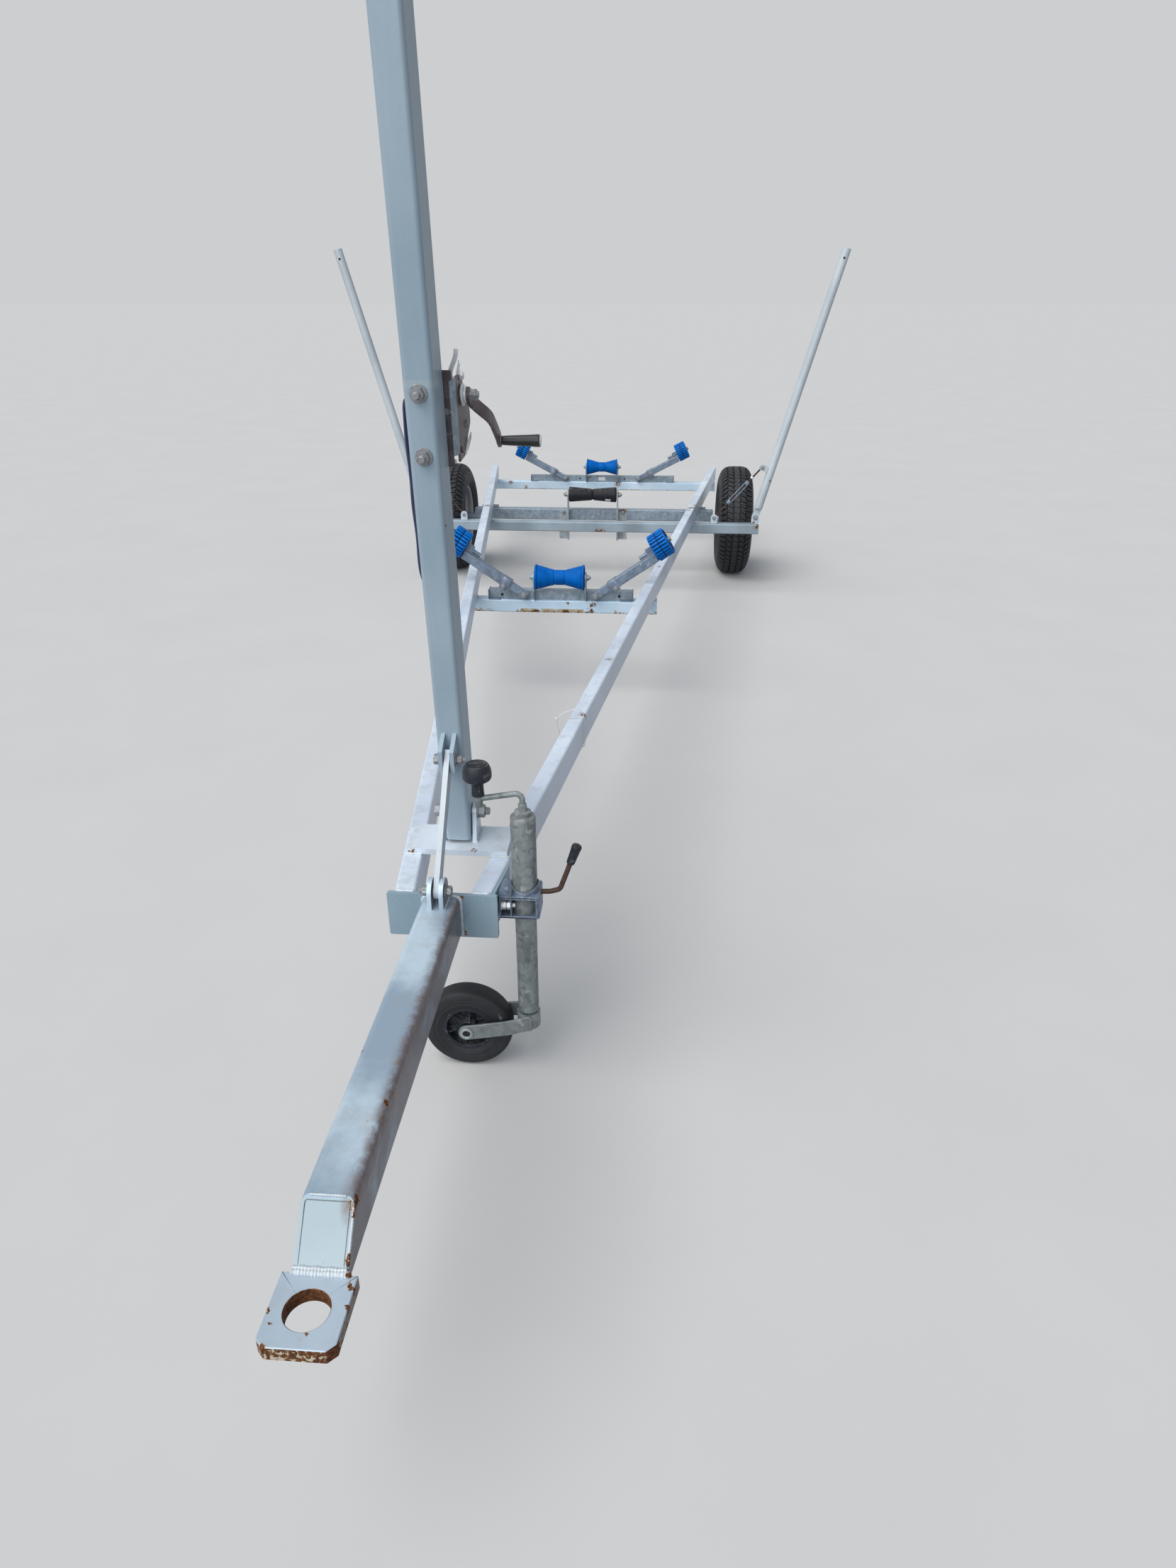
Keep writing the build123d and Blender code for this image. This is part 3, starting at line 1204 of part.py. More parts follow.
# Guide poles and turnbuckles
pole_z = rail_bottom + pole_foot_height
buckle_z = rail_bottom + buckle_foot_height
pole_sin = sin(radians(pole_lean))
pole_cos = cos(radians(pole_lean))
lug_x = pole_foot_half + lug_along * pole_sin - lug_inward * pole_cos
lug_z = pole_z + lug_along * pole_cos + lug_inward * pole_sin
buckle_run = lug_x - buckle_foot_half
buckle_rise = lug_z - buckle_z
buckle_length = sqrt(buckle_run ** 2 + buckle_rise ** 2)
for side, word in ((-1, "left"), (1, "right")):
    pole_foot = Vector(side * pole_foot_half, guide_beam_y, pole_z)
    pole_up = Vector(side * pole_sin, 0, pole_cos)
    pole_plane = Plane(pole_foot, x_dir=pole_up, z_dir=(0, -side, 0))
    with BuildPart() as pole:
        with BuildSketch(Plane(pole_foot, x_dir=(0, 1, 0), z_dir=pole_up).offset(pole_tang_length)):
            Circle(pole_radius)
        extrude(amount=pole_length - pole_tang_length)
        with BuildSketch(Plane(pole_foot, x_dir=(0, 1, 0), z_dir=pole_up).offset(pole_tang_length + 6)):
            Circle(pole_radius - pole_wall)
        extrude(amount=pole_length - pole_tang_length - 12, mode=Mode.SUBTRACT)
        with BuildSketch(pole_plane):
            Circle(tang_width / 2)
            with Locations(((pole_tang_length + 4) / 2, 0)):
                Rectangle(pole_tang_length + 4, tang_width)
            Circle(pole_pin_radius + running_gap, mode=Mode.SUBTRACT)
        extrude(amount=tang_thickness / 2, both=True)
        with BuildSketch(pole_plane.offset(side * (tang_thickness / 2 + tang_gap))):
            with Locations((lug_along, side * lug_inward * side)):
                Circle(buckle_eye_radius + 2)
            with Locations((lug_along, lug_inward / 2 + pole_radius / 2 - 2)):
                Rectangle(2 * buckle_eye_radius + 4, lug_inward - pole_radius + 4)
        extrude(amount=side * 6)
        with BuildSketch(pole_plane.offset(side * (tang_thickness / 2 + tang_gap + 10))):
            with Locations((lug_along, lug_inward)):
                Circle(buckle_pin_radius)
        extrude(amount=-side * (tang_thickness + 2 * tang_gap + 18))
        with BuildSketch(pole_plane.offset(-side * (tang_thickness / 2 + tang_gap))):
            with Locations((lug_along, lug_inward)):
                Circle(buckle_pin_radius * 1.7)
        extrude(amount=-side * 5)
    pole.part.label = f"guide_pole_{word}"
    export_step(pole.part, f"parts/guide_pole_{word}.step")
    buckle_foot = Vector(side * buckle_foot_half, guide_beam_y, buckle_z)
    buckle_up = Vector(side * buckle_run / buckle_length, 0, buckle_rise / buckle_length)
    buckle_plane = Plane(buckle_foot, x_dir=buckle_up, z_dir=(0, -side, 0))
    buckle_cross = Plane(buckle_foot, x_dir=(0, 1, 0), z_dir=buckle_up)
    with BuildPart() as buckle:
        with BuildSketch(buckle_plane):
            Circle(buckle_eye_radius)
            Circle(buckle_pin_radius + running_gap, mode=Mode.SUBTRACT)
        extrude(amount=tang_thickness / 2, both=True)
        with BuildSketch(buckle_cross.offset(buckle_eye_radius - 2)):
            Circle(buckle_rod_radius)
        extrude(amount=buckle_sleeve_start - buckle_eye_radius + 4)
        with BuildSketch(buckle_cross.offset(buckle_sleeve_start)):
            Circle(buckle_sleeve_radius)
        extrude(amount=buckle_sleeve_end - buckle_sleeve_start)
        with BuildSketch(buckle_cross.offset(buckle_bore_start)):
            Circle(buckle_rod_radius + running_gap)
        extrude(amount=buckle_sleeve_end - buckle_bore_start, mode=Mode.SUBTRACT)
    buckle.part.label = f"turnbuckle_{word}"
    export_step(buckle.part, f"parts/turnbuckle_{word}.step")
    with BuildPart() as hook:
        with BuildSketch(buckle_cross.offset(buckle_rod_start)):
            Circle(buckle_rod_radius)
        extrude(amount=buckle_length - buckle_rod_start - buckle_pin_radius - buckle_open_gap - 1)
        with BuildSketch(buckle_plane):
            with Locations((buckle_length, 0)):
                Circle(buckle_eye_radius)
                Circle(buckle_pin_radius + buckle_open_gap, mode=Mode.SUBTRACT)
        extrude(amount=tang_thickness / 2, both=True)
    hook.part.label = f"turnbuckle_rod_{word}"
    export_step(hook.part, f"parts/turnbuckle_rod_{word}.step")

# Turnbuckle motion about the pole's foot, for each degree of the pole's lean
arm_x = lug_x - pole_foot_half
arm_up = lug_z - pole_z
turn_ratio = (arm_up * buckle_rise + arm_x * buckle_run) / buckle_length ** 2
slide_ratio = (arm_up * buckle_run - arm_x * buckle_rise) / buckle_length
print("front_y", front_y, "guide_beam_y", guide_beam_y, "axle_beam_y", axle_beam_y)
print("mast pivot", mast_y, mast_z, "strut foot", strut_foot_y, strut_foot_z, "strut top", strut_top)
print("lug", lug_x, lug_z, "length", buckle_length, "turn", turn_ratio, "slide", slide_ratio)
print("jockey", jockey_x, jockey_y, "wheel x", jockey_wheel_x)
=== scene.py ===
"""Looks of a boat trailer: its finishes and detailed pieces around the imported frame.

Lengths are metres in the trailer's own frame: +Z up, the towing eye towards -Y, +X the
side with the jockey wheel, and the ground at Z = 0.
"""

import json
import logging
from dataclasses import dataclass
from enum import Enum
from functools import cache, cached_property
from math import cos, pi, radians, sin
from typing import Any, Callable, Optional, Sequence

import bmesh
import bpy
import numpy as np
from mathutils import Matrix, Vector

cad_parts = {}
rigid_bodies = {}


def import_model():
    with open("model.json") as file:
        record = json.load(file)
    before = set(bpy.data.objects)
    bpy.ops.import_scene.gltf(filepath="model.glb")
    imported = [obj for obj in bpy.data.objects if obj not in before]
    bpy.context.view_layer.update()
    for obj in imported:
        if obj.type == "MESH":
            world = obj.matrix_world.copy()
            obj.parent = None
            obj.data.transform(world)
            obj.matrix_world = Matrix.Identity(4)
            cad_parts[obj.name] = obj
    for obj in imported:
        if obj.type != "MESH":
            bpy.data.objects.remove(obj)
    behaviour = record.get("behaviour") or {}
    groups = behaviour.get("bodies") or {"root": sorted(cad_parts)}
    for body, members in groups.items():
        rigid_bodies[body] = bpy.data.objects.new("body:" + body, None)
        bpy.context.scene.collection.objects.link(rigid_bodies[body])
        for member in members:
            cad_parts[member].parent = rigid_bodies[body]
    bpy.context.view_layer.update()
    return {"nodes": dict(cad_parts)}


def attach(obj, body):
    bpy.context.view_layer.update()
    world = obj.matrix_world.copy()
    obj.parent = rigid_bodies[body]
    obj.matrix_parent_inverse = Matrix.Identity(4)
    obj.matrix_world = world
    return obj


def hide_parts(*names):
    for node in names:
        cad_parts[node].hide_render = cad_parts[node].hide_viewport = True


Array = np.ndarray
Point = tuple[float, float, float]
Outline = list[tuple[float, float]]
Colour = Point
Spot = tuple[float, float, float, float]
LOG = logging.getLogger("boat_trailer")
BEAD_UP = (0.31, 0.52, 0.79)
RIGHT, REARWARD, UP, FORWARD = (1.0, 0.0, 0.0), (0.0, 1.0, 0.0), (0.0, 0.0, 1.0), (0.0, -1.0, 0.0)
SIDES = (-1, 1)

for left_over in list(bpy.data.objects):
    bpy.data.objects.remove(left_over)
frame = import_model()


# ---------------------------------------------------------------------------
# Shapes as arrays
# ---------------------------------------------------------------------------

def unit(vectors: Array) -> Array:
    """Vectors divided by their lengths, along the last axis."""
    vectors = np.asarray(vectors, float)
    return vectors / np.maximum(np.linalg.norm(vectors, axis=-1, keepdims=True), 1e-12)


def basis(axis: Sequence[float]) -> tuple[Array, Array, Array]:
    """Two unit vectors across an axis, and the axis itself, at right angles.

    Args:
        axis: The direction that the third vector takes.

    Returns:
        The two cross directions and the unit axis, right-handed.
    """
    w = unit(np.asarray(axis, float))
    helper = np.array((0.0, 0.0, 1.0)) if abs(w[2]) < 0.9 else np.array((1.0, 0.0, 0.0))
    u = unit(np.cross(helper, w))
    return u, np.cross(w, u), w


def circle(radius: float, steps: int) -> Array:
    """Points of a circle: (r cos t, r sin t) for equal steps of t."""
    t = np.linspace(0, 2 * pi, steps, endpoint=False)
    return np.stack([radius * np.cos(t), radius * np.sin(t)], -1)


def rounded(corners: Sequence[Sequence[float]], radius: float | Sequence[float], steps: int = 5,
            closed: bool = True) -> Array:
    """A polygon or polyline whose corners are arcs.

    Each arc runs from the point where it leaves one side to where it joins the next:
    centre + r (sin((1 - s) a) d0 + sin(s a) d1) / sin a, with s from 0 to 1.

    Args:
        corners: The corner points, in two or three dimensions.
        radius: One radius for all corners, or one for each.
        steps: Points on each arc.
        closed: False leaves the first and last corner as plain ends.

    Returns:
        The points in order, as an array.
    """
    p = np.asarray(corners, float)
    r = np.maximum(np.broadcast_to(np.asarray(radius, float), (len(p),)), 1e-5)
    inner = p if closed else p[1:-1]
    rr = (r if closed else r[1:-1])[:, None, None]
    before = np.roll(p, 1, 0) if closed else p[:-2]
    after = np.roll(p, -1, 0) if closed else p[2:]
    u, v = unit(before - inner), unit(after - inner)
    half = np.arccos(np.clip((u * v).sum(-1), -0.99999, 0.99999)) / 2
    reach = rr[:, 0, 0] / np.tan(half)
    centre = inner + unit(u + v) * (rr[:, 0, 0] / np.sin(half))[:, None]
    d0 = unit(inner + u * reach[:, None] - centre)[:, None]
    d1 = unit(inner + v * reach[:, None] - centre)[:, None]
    a = (pi - 2 * half)[:, None, None]
    s = np.linspace(0, 1, steps)[None, :, None]
    arcs = centre[:, None] + rr * (np.sin((1 - s) * a) * d0 + np.sin(s * a) * d1) / np.sin(a)
    points = arcs.reshape(-1, p.shape[1])
    return points if closed else np.concatenate([p[:1], points, p[-1:]])


def box_outline(width: float, depth: float, corner: float, steps: int = 4) -> Array:
    """A rectangle with round corners about its middle."""
    w, d = width / 2, depth / 2
    return rounded([(-w, -d), (w, -d), (w, d), (-w, d)], corner, steps)


def run_along(path: Array) -> Array:
    """The distance run along a polyline up to each of its points."""
    return np.concatenate([[0.0], np.cumsum(np.linalg.norm(np.diff(path, axis=0), axis=1))])


def mirrored(half: Sequence[Sequence[float]]) -> Array:
    """A whole profile from the half past its middle, whose first point is on the middle."""
    line = np.asarray(half, float)
    return np.concatenate([line[::-1] * (-1, 1), line[1:]])


def disc(low: float, high: float, radius: float) -> Outline:
    """The profile of a plain cylinder between two distances along its axis."""
    return [(low, 0.0), (low, radius), (high, radius), (high, 0.0)]


def chamfered(low: float, high: float, radius: float, cut: float, deep: float, bore: float = 0.0) -> Outline:
    """The profile of a cylinder whose two rims are cut back, along the axis and in the radius."""
    return [(low, bore), (low, radius - deep), (low + cut, radius), (high - cut, radius), (high, radius - deep),
            (high, bore)]


def tapered(boxes: Sequence[Point], corner: float, steps: int = 4) -> Array:
    """Box sections one above another, by the width, depth and height of each."""
    return np.stack([np.column_stack([box_outline(w, d, corner, steps), np.full(4 * steps, z)]) for w, d, z in boxes])


def spaced(path: Array, step: float) -> Array:
    """A polyline resampled at equal distances along its length."""
    path = np.asarray(path, float)
    run = run_along(path)
    count = max(2, int(round(run[-1] / step)) + 1)
    at = np.linspace(0, run[-1], count)
    return np.stack([np.interp(at, run, path[:, k]) for k in range(path.shape[1])], -1)


def flowing(points: Sequence[Sequence[float]], per_span: int = 6) -> Array:
    """A smooth curve through points: each span is the cubic of Catmull and Rom.

    Args:
        points: Points in two or three dimensions that the curve passes through.
        per_span: Points on each span.

    Returns:
        The curve's points, the last one included.
    """
    p = np.asarray(points, float)
    ends = np.concatenate([2 * p[:1] - p[1:2], p, 2 * p[-1:] - p[-2:-1]])
    a, b, c, d = ends[:-3, None], ends[1:-2, None], ends[2:-1, None], ends[3:, None]
    t = np.linspace(0, 1, per_span, endpoint=False)[None, :, None]
    curve = 0.5 * (2 * b + (c - a) * t + (2 * a - 5 * b + 4 * c - d) * t ** 2
                   + (3 * b - a - 3 * c + d) * t ** 3)
    return np.concatenate([curve.reshape(-1, p.shape[1]), p[-1:]])


def sweep(section: Array, path: Array, up: Sequence[float], scale: Optional[Array] = None) -> Array:
    """A section carried along a path: path + side * x + lift * y at every step.

    Args:
        section: The section's outline, side and lift.
        path: The points that it follows.
        up: A direction that the lift leans towards, away from the path's own.
        scale: One factor of the section's size for each point of the path, or one for side and one for lift.

    Returns:
        A grid of points: path steps by section points.
    """
    path = np.asarray(path, float)
    tangent = unit(np.gradient(path, axis=0))
    side = unit(np.cross(tangent, np.asarray(up, float)))
    lift = np.cross(side, tangent)
    size = np.ones((len(path), 1)) if scale is None else np.reshape(scale, (len(path), -1))
    x = section[None, :, :1] * size[:, None, :1]
    y = section[None, :, 1:] * size[:, None, -1:]
    return path[:, None] + side[:, None] * x + lift[:, None] * y


def lathe(profile: Sequence[Sequence[float]], origin: Sequence[float], axis: Sequence[float],
          steps: int = 48, shape: Optional[Callable[[Array, Array, Array], Array]] = None) -> Array:
    """A profile turned about an axis: origin + w along + (u cos t + v sin t) r.

    Args:
        profile: Distance along the axis and radius of each ring.
        origin: The point where the distance is 0.
        axis: The direction of the axis.
        steps: Points on each ring.
        shape: Changes the radius from the angle, the distance and the radius.

    Returns:
        A grid of points: rings by steps.
    """
    p = np.asarray(profile, float)
    u, v, w = basis(axis)
    t = np.linspace(0, 2 * pi, steps, endpoint=False)[None, :]
    along, radius = p[:, :1], p[:, 1:] + np.zeros_like(t)
    if shape is not None:
        radius = shape(t, along, radius)
    ring = np.cos(t)[..., None] * u + np.sin(t)[..., None] * v
    return np.asarray(origin, float) + along[..., None] * w + ring * radius[..., None]


def slab(outline: Array, thickness: float, edge: float = 0.0006) -> Array:
    """A flat plate with its edges taken off, in its own x and y, centred on z = 0.

    The outline moves inwards by the edge at both faces, along its corners' normals.

    Args:
        outline: The plate's outline, in order.
        thickness: The plate's thickness.
        edge: The width of the taken-off edge.

    Returns:
        A grid of points: four rings by outline points.
    """
    following = np.roll(outline, -1, 0)
    turn = np.sign((outline[:, 0] * following[:, 1] - following[:, 0] * outline[:, 1]).sum())
    ahead = unit(following - outline)
    left = np.column_stack([-ahead[:, 1], ahead[:, 0]]) * turn
    inset = outline + unit(left + np.roll(left, 1, 0)) * edge
    half = thickness / 2
    rings = [(inset, -half), (outline, edge - half), (outline, half - edge), (inset, half)]
    return np.stack([np.column_stack([o, np.full(len(o), z)]) for o, z in rings])


def filled(outline: Array, step: float) -> Array:
    """A closed outline with points added along its sides, its own points kept."""
    loop = np.concatenate([outline, outline[:1]])
    run = run_along(loop)
    at = np.unique(np.concatenate([run, np.arange(0, run[-1], step)]).round(7))[:-1]
    return np.stack([np.interp(at, run, loop[:, k]) for k in range(loop.shape[1])], -1)


def pierced(outline: Array, hole: Sequence[float], radius: float, thickness: float, edge: float = 0.0006) -> Array:
    """A flat plate with a round hole, in its own x and y, centred on z = 0.

    Each point of the outline has a point on the hole at the same angle about the hole's
    centre: centre + radius (point - centre) / |point - centre|.

    Args:
        outline: The plate's outline, in order, seen whole from the hole's centre.
        hole: The hole's centre.
        radius: The hole's radius.
        thickness: The plate's thickness.
        edge: The width of the taken-off edges.

    Returns:
        A grid of points that closes on itself both ways: eight rings by outline points.
    """
    outer = filled(outline, 0.003)
    rings = slab(outer, thickness, edge)
    centre, half = np.asarray(hole, float), thickness / 2
    away = unit(outer - centre)
    inner = [(radius + edge, half), (radius, half - edge), (radius, edge - half), (radius + edge, -half)]
    return np.concatenate([rings, [np.column_stack([centre + away * r, np.full(len(outer), z)]) for r, z in inner]])


def strip(path: Array, thickness: float, low: Any, high: Any, edge: float = 0.0005) -> Array:
    """A sheet that stands on a path in x and y: its thickness across the path, its height from low to high.

    Args:
        path: Points of the sheet's middle line in x and y.
        thickness: The sheet's thickness.
        low: The lower edge, one number or one for each point.
        high: The upper edge, likewise.
        edge: The width of the taken-off edges.

    Returns:
        A grid of points: path points by eight.
    """
    path = np.asarray(path, float)
    tangent = unit(np.gradient(path, axis=0))
    normal = np.column_stack([-tangent[:, 1], tangent[:, 0]])
    low, high = (np.broadcast_to(np.asarray(v, float), (len(path),)) for v in (low, high))
    half = thickness / 2
    across = np.array([edge - half, half - edge, half, half, half - edge, edge - half, -half, -half])
    lift = [low, low, low + edge, high - edge, high, high, high - edge, low + edge]
    flat = path[:, None] + normal[:, None] * across[None, :, None]
    return np.concatenate([flat, np.stack(lift, 1)[..., None]], -1)


@dataclass(frozen=True)
class Place:
    """A local frame: where its origin is, and which way its three axes point."""

    origin: Point
    x: Point
    y: Point
    z: Point

    def lay(self, points: Array) -> Array:
        """Points of the local frame, put into the trailer's frame."""
        return np.asarray(self.origin) + np.asarray(points, float) @ np.array([self.x, self.y, self.z])

    def at(self, x: float, y: float, z: float) -> Array:
        """One point of the local frame, in the trailer's frame."""
        return self.lay(np.array((x, y, z)))

    def moved(self, x: float, y: float, z: float) -> "Place":
        """The same frame with its origin at one of its own points."""
        return Place(tuple(self.at(x, y, z)), self.x, self.y, self.z)


def facing(origin: Sequence[float], normal: Sequence[float], up: Sequence[float]) -> Place:
    """A frame whose z is a plate's normal and whose y leans towards up."""
    z = unit(np.asarray(normal, float))
    x = unit(np.cross(np.asarray(up, float), z))
    return Place(tuple(origin), tuple(x), tuple(np.cross(z, x)), tuple(z))


# ---------------------------------------------------------------------------
# Pieces
# ---------------------------------------------------------------------------

class Surface:
    """Points and faces of one piece, gathered from grids of points."""

    def __init__(self) -> None:
        """Starts an empty piece."""
        self.points: list[Array] = []
        self.faces: list[list[int]] = []
        self.cloth: list[Array] = []
        self.count = 0

    def grid(self, points: Array, around: bool = True, along: bool = False, ends: bool = True,
             cloth: Optional[Array] = None) -> "Surface":
        """Adds a surface that is a grid over two parameters.

        Args:
            points: Rows by columns by 3.
            around: Joins the last column to the first.
            along: Joins the last row to the first.
            ends: Closes the first and last row with a face each.
            cloth: Two numbers a point: those that a woven pattern follows, or a groove's depth, which the material
                turns into painted shade.

        Returns:
            The same piece, so that calls can follow one another.
        """
        rows, columns = points.shape[:2]
        i = np.arange(rows if along else rows - 1)[:, None]
        j = np.arange(columns if around else columns - 1)[None, :]
        i2, j2 = (i + 1) % rows, (j + 1) % columns
        quads = np.stack([i * columns + j, i * columns + j2, i2 * columns + j2, i2 * columns + j], -1)
        self.faces += (quads.reshape(-1, 4) + self.count).tolist()
        if around and ends and not along:
            ring = np.arange(columns) + self.count
            self.faces += [ring[::-1].tolist(), (ring + (rows - 1) * columns).tolist()]
        self.points.append(points.reshape(-1, 3))
        self.cloth.append(np.zeros((rows * columns, 2)) if cloth is None else cloth.reshape(-1, 2))
        self.count += rows * columns
        return self

    def build(self, name: str, finish: "Finish", body: str = "frame", slot: str = "galvanised",
              replaces: Sequence[str] = (), sharp: float = 35.0, woven: bool = False) -> None:
        """Makes the mesh, closes its seams, turns its faces outwards and puts it on its body.

        Args:
            name: The piece's name.
            finish: Its finish.
            body: The body that it rides on.
            slot: The record's material slot; not used.
            replaces: The CAD nodes that it stands for.
            sharp: Degrees between two faces past which their edge stays sharp.
            woven: Keeps the two numbers, of the woven pattern or of the groove depth for painted shade, as a point
                attribute.
        """
        mesh = bpy.data.meshes.new(name)
        mesh.from_pydata(np.concatenate(self.points).tolist(), [], self.faces)
        if woven:
            layer = mesh.attributes.new("cloth", "FLOAT_VECTOR", "POINT")
            three = np.column_stack([np.concatenate(self.cloth), np.zeros(self.count)])
            layer.data.foreach_set("vector", three.astype(np.float32).ravel())
        work = bmesh.new()
        work.from_mesh(mesh)
        bmesh.ops.remove_doubles(work, verts=work.verts, dist=2e-6)
        bmesh.ops.dissolve_degenerate(work, edges=work.edges, dist=1e-7)
        bmesh.ops.recalc_face_normals(work, faces=work.faces)
        work.to_mesh(mesh)
        work.free()
        mesh.shade_smooth()
        mesh.set_sharp_from_angle(angle=radians(sharp))
        mesh.materials.append(made(finish))
        piece = bpy.data.objects.new(name, mesh)
        bpy.context.scene.collection.objects.link(piece)
        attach(piece, body)
        if replaces:
            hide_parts(*replaces)
        LOG.info("%s on %s: %d faces", name, body, len(mesh.polygons))


def dress(finish: "Finish", *nodes: str) -> None:
    """Gives CAD nodes a finish.

    Args:
        finish: Their finish.
        nodes: The nodes' names.
    """
    material = made(finish)
    for node in nodes:
        piece = frame["nodes"][node]
        if not piece.material_slots:
            piece.data.materials.append(material)
        for one in piece.material_slots:
            one.material = material
        LOG.info("%s wears %s", node, material.name)


class Thread(Enum):
    """Bolt sizes: shank radius, width across flats, head height, washer radius and thickness."""

    M6 = (0.003, 0.01, 0.0045, 0.0062, 0.0016)
    M8 = (0.004, 0.013, 0.006, 0.0082, 0.0016)
    M10 = (0.005, 0.016, 0.0075, 0.0102, 0.002)
    M12 = (0.006, 0.018, 0.0095, 0.0132, 0.0025)
    M16 = (0.008, 0.024, 0.012, 0.015, 0.003)


def hexagon(across: float) -> Callable[[Array, Array, Array], Array]:
    """A ring shape that cuts radii down to a hexagon: (across / 2) / cos(t folded to a flat)."""
    def cut(t: Array, along: Array, radius: Array) -> Array:
        """The smaller of the radius and the flat's distance at that angle."""
        return np.minimum(radius, across / 2 / np.cos((t % (pi / 3)) - pi / 6))
    return cut


def fasten(surface: Surface, at: Sequence[float], axis: Sequence[float], size: Thread,
           tail: float = 0.0, washer: bool = True, head: float = 1.0) -> None:
    """Adds a washer, a hexagon head or nut, and a threaded tail that stands out of it.

    Args:
        surface: The piece that takes them.
        at: Where the bolt leaves what it holds.
        axis: The way that it points.
        size: The thread.
        tail: How far the thread stands out of the nut.
        washer: False leaves the washer out.
        head: A factor on the head's height.
    """
    shank, across, height, ring, thin = size.value
    height *= head
    w = unit(np.asarray(axis, float))
    start = np.asarray(at, float)
    if washer:
        profile = [(0, 0), (0, ring - 0.0003), (0.0003, ring), (thin - 0.0004, ring), (thin, ring - 0.0005),
                   (thin, 0)]
        surface.grid(lathe(profile, start, w, 36))
        start = start + w * thin
    corner = across / 2 / cos(pi / 6)
    profile = [(0, 0), (0, across * 0.47), (height * 0.06, corner * 0.97), (height * 0.16, corner),
               (height * 0.84, corner), (height * 0.94, corner * 0.96), (height, across * 0.46), (height, 0)]
    surface.grid(lathe(profile, start, w, 36, hexagon(across)))
    if tail:
        along = np.linspace(0, tail, max(8, int(tail / 0.0004)))
        radius = shank * (1 - 0.07 * (0.5 + 0.5 * np.cos(2 * pi * along / 0.0015)))
        radius = np.where(along > tail - 0.0012, shank * 0.86, radius)
        profile = np.column_stack([along, radius])
        hollow = [(tail, shank * 0.45), (tail - 0.0006, shank * 0.3), (tail - 0.0006, 0)]
        profile = np.concatenate([[(0, 0)], profile, hollow])
        surface.grid(lathe(profile, start + w * height, w, 20))


def bead(surface: Surface, path: Sequence[Sequence[float]], width: float = 0.006, phase: float = 0.0) -> None:
    """Adds a weld bead: a round section whose size goes up and down along the seam.

    The size is 1 + 0.14 sin(2 pi s / pitch) + a slower wave, with s the distance run.

    Args:
        surface: The piece that takes it.
        path: The seam's corners.
        width: The bead's width.
        phase: Sets the waves of one seam apart from another's.
    """
    line = spaced(np.asarray(path, float), 0.0013)
    s = np.linspace(0, run_along(line)[-1], len(line))
    size = 1 + 0.14 * np.sin(2 * pi * s / 0.0042 + phase) + 0.1 * np.sin(2 * pi * s / 0.019 + 2 * phase)
    size *= np.clip(np.minimum(s, s[-1] - s) / (0.4 * width) + 0.35, 0, 1)
    surface.grid(sweep(circle(width / 2, 8), line, BEAD_UP, size))


# ---------------------------------------------------------------------------
# Shader expressions
# ---------------------------------------------------------------------------

class Reading:
    """A shader socket that Python expressions can work with."""

    def __init__(self, recipe: "Recipe", socket: bpy.types.NodeSocket) -> None:
        """Wraps a socket of a recipe's node.

        Args:
            recipe: The recipe whose tree the socket is in.
            socket: The output socket.
        """
        self.recipe = recipe
        self.socket = socket

    def _math(self, operation: str, *values: Any, clamp: bool = False) -> "Reading":
        """One Math node over values or readings."""
        return self.recipe.take("ShaderNodeMath", {"operation": operation, "use_clamp": clamp},
                                dict(enumerate(values)))

    def __add__(self, other: Any) -> "Reading":
        """The sum."""
        return self._math("ADD", self, other)

    def __radd__(self, other: Any) -> "Reading":
        """The sum, with a number first."""
        return self._math("ADD", other, self)

    def __sub__(self, other: Any) -> "Reading":
        """The difference."""
        return self._math("SUBTRACT", self, other)

    def __rsub__(self, other: Any) -> "Reading":
        """The difference from a number."""
        return self._math("SUBTRACT", other, self)

    def __mul__(self, other: Any) -> "Reading":
        """The product."""
        return self._math("MULTIPLY", self, other)

    def __rmul__(self, other: Any) -> "Reading":
        """The product, with a number first."""
        return self._math("MULTIPLY", other, self)

    def __or__(self, other: Any) -> "Reading":
        """The larger of two masks."""
        return self._math("MAXIMUM", self, other)

    def __abs__(self) -> "Reading":
        """The size without its sign."""
        return self._math("ABSOLUTE", self)

    def clamp(self) -> "Reading":
        """The value kept between 0 and 1."""
        return self._math("ADD", self, 0.0, clamp=True)

    def wave(self) -> "Reading":
        """The sine of the value."""
        return self._math("SINE", self)

    def rise(self, low: float, high: float) -> "Reading":
        """0 below low, 1 above high and a smooth step between; high below low turns it round."""
        return self.recipe.take("ShaderNodeMapRange", {"interpolation_type": "SMOOTHSTEP"},
                                {"Value": self, "From Min": low, "From Max": high})


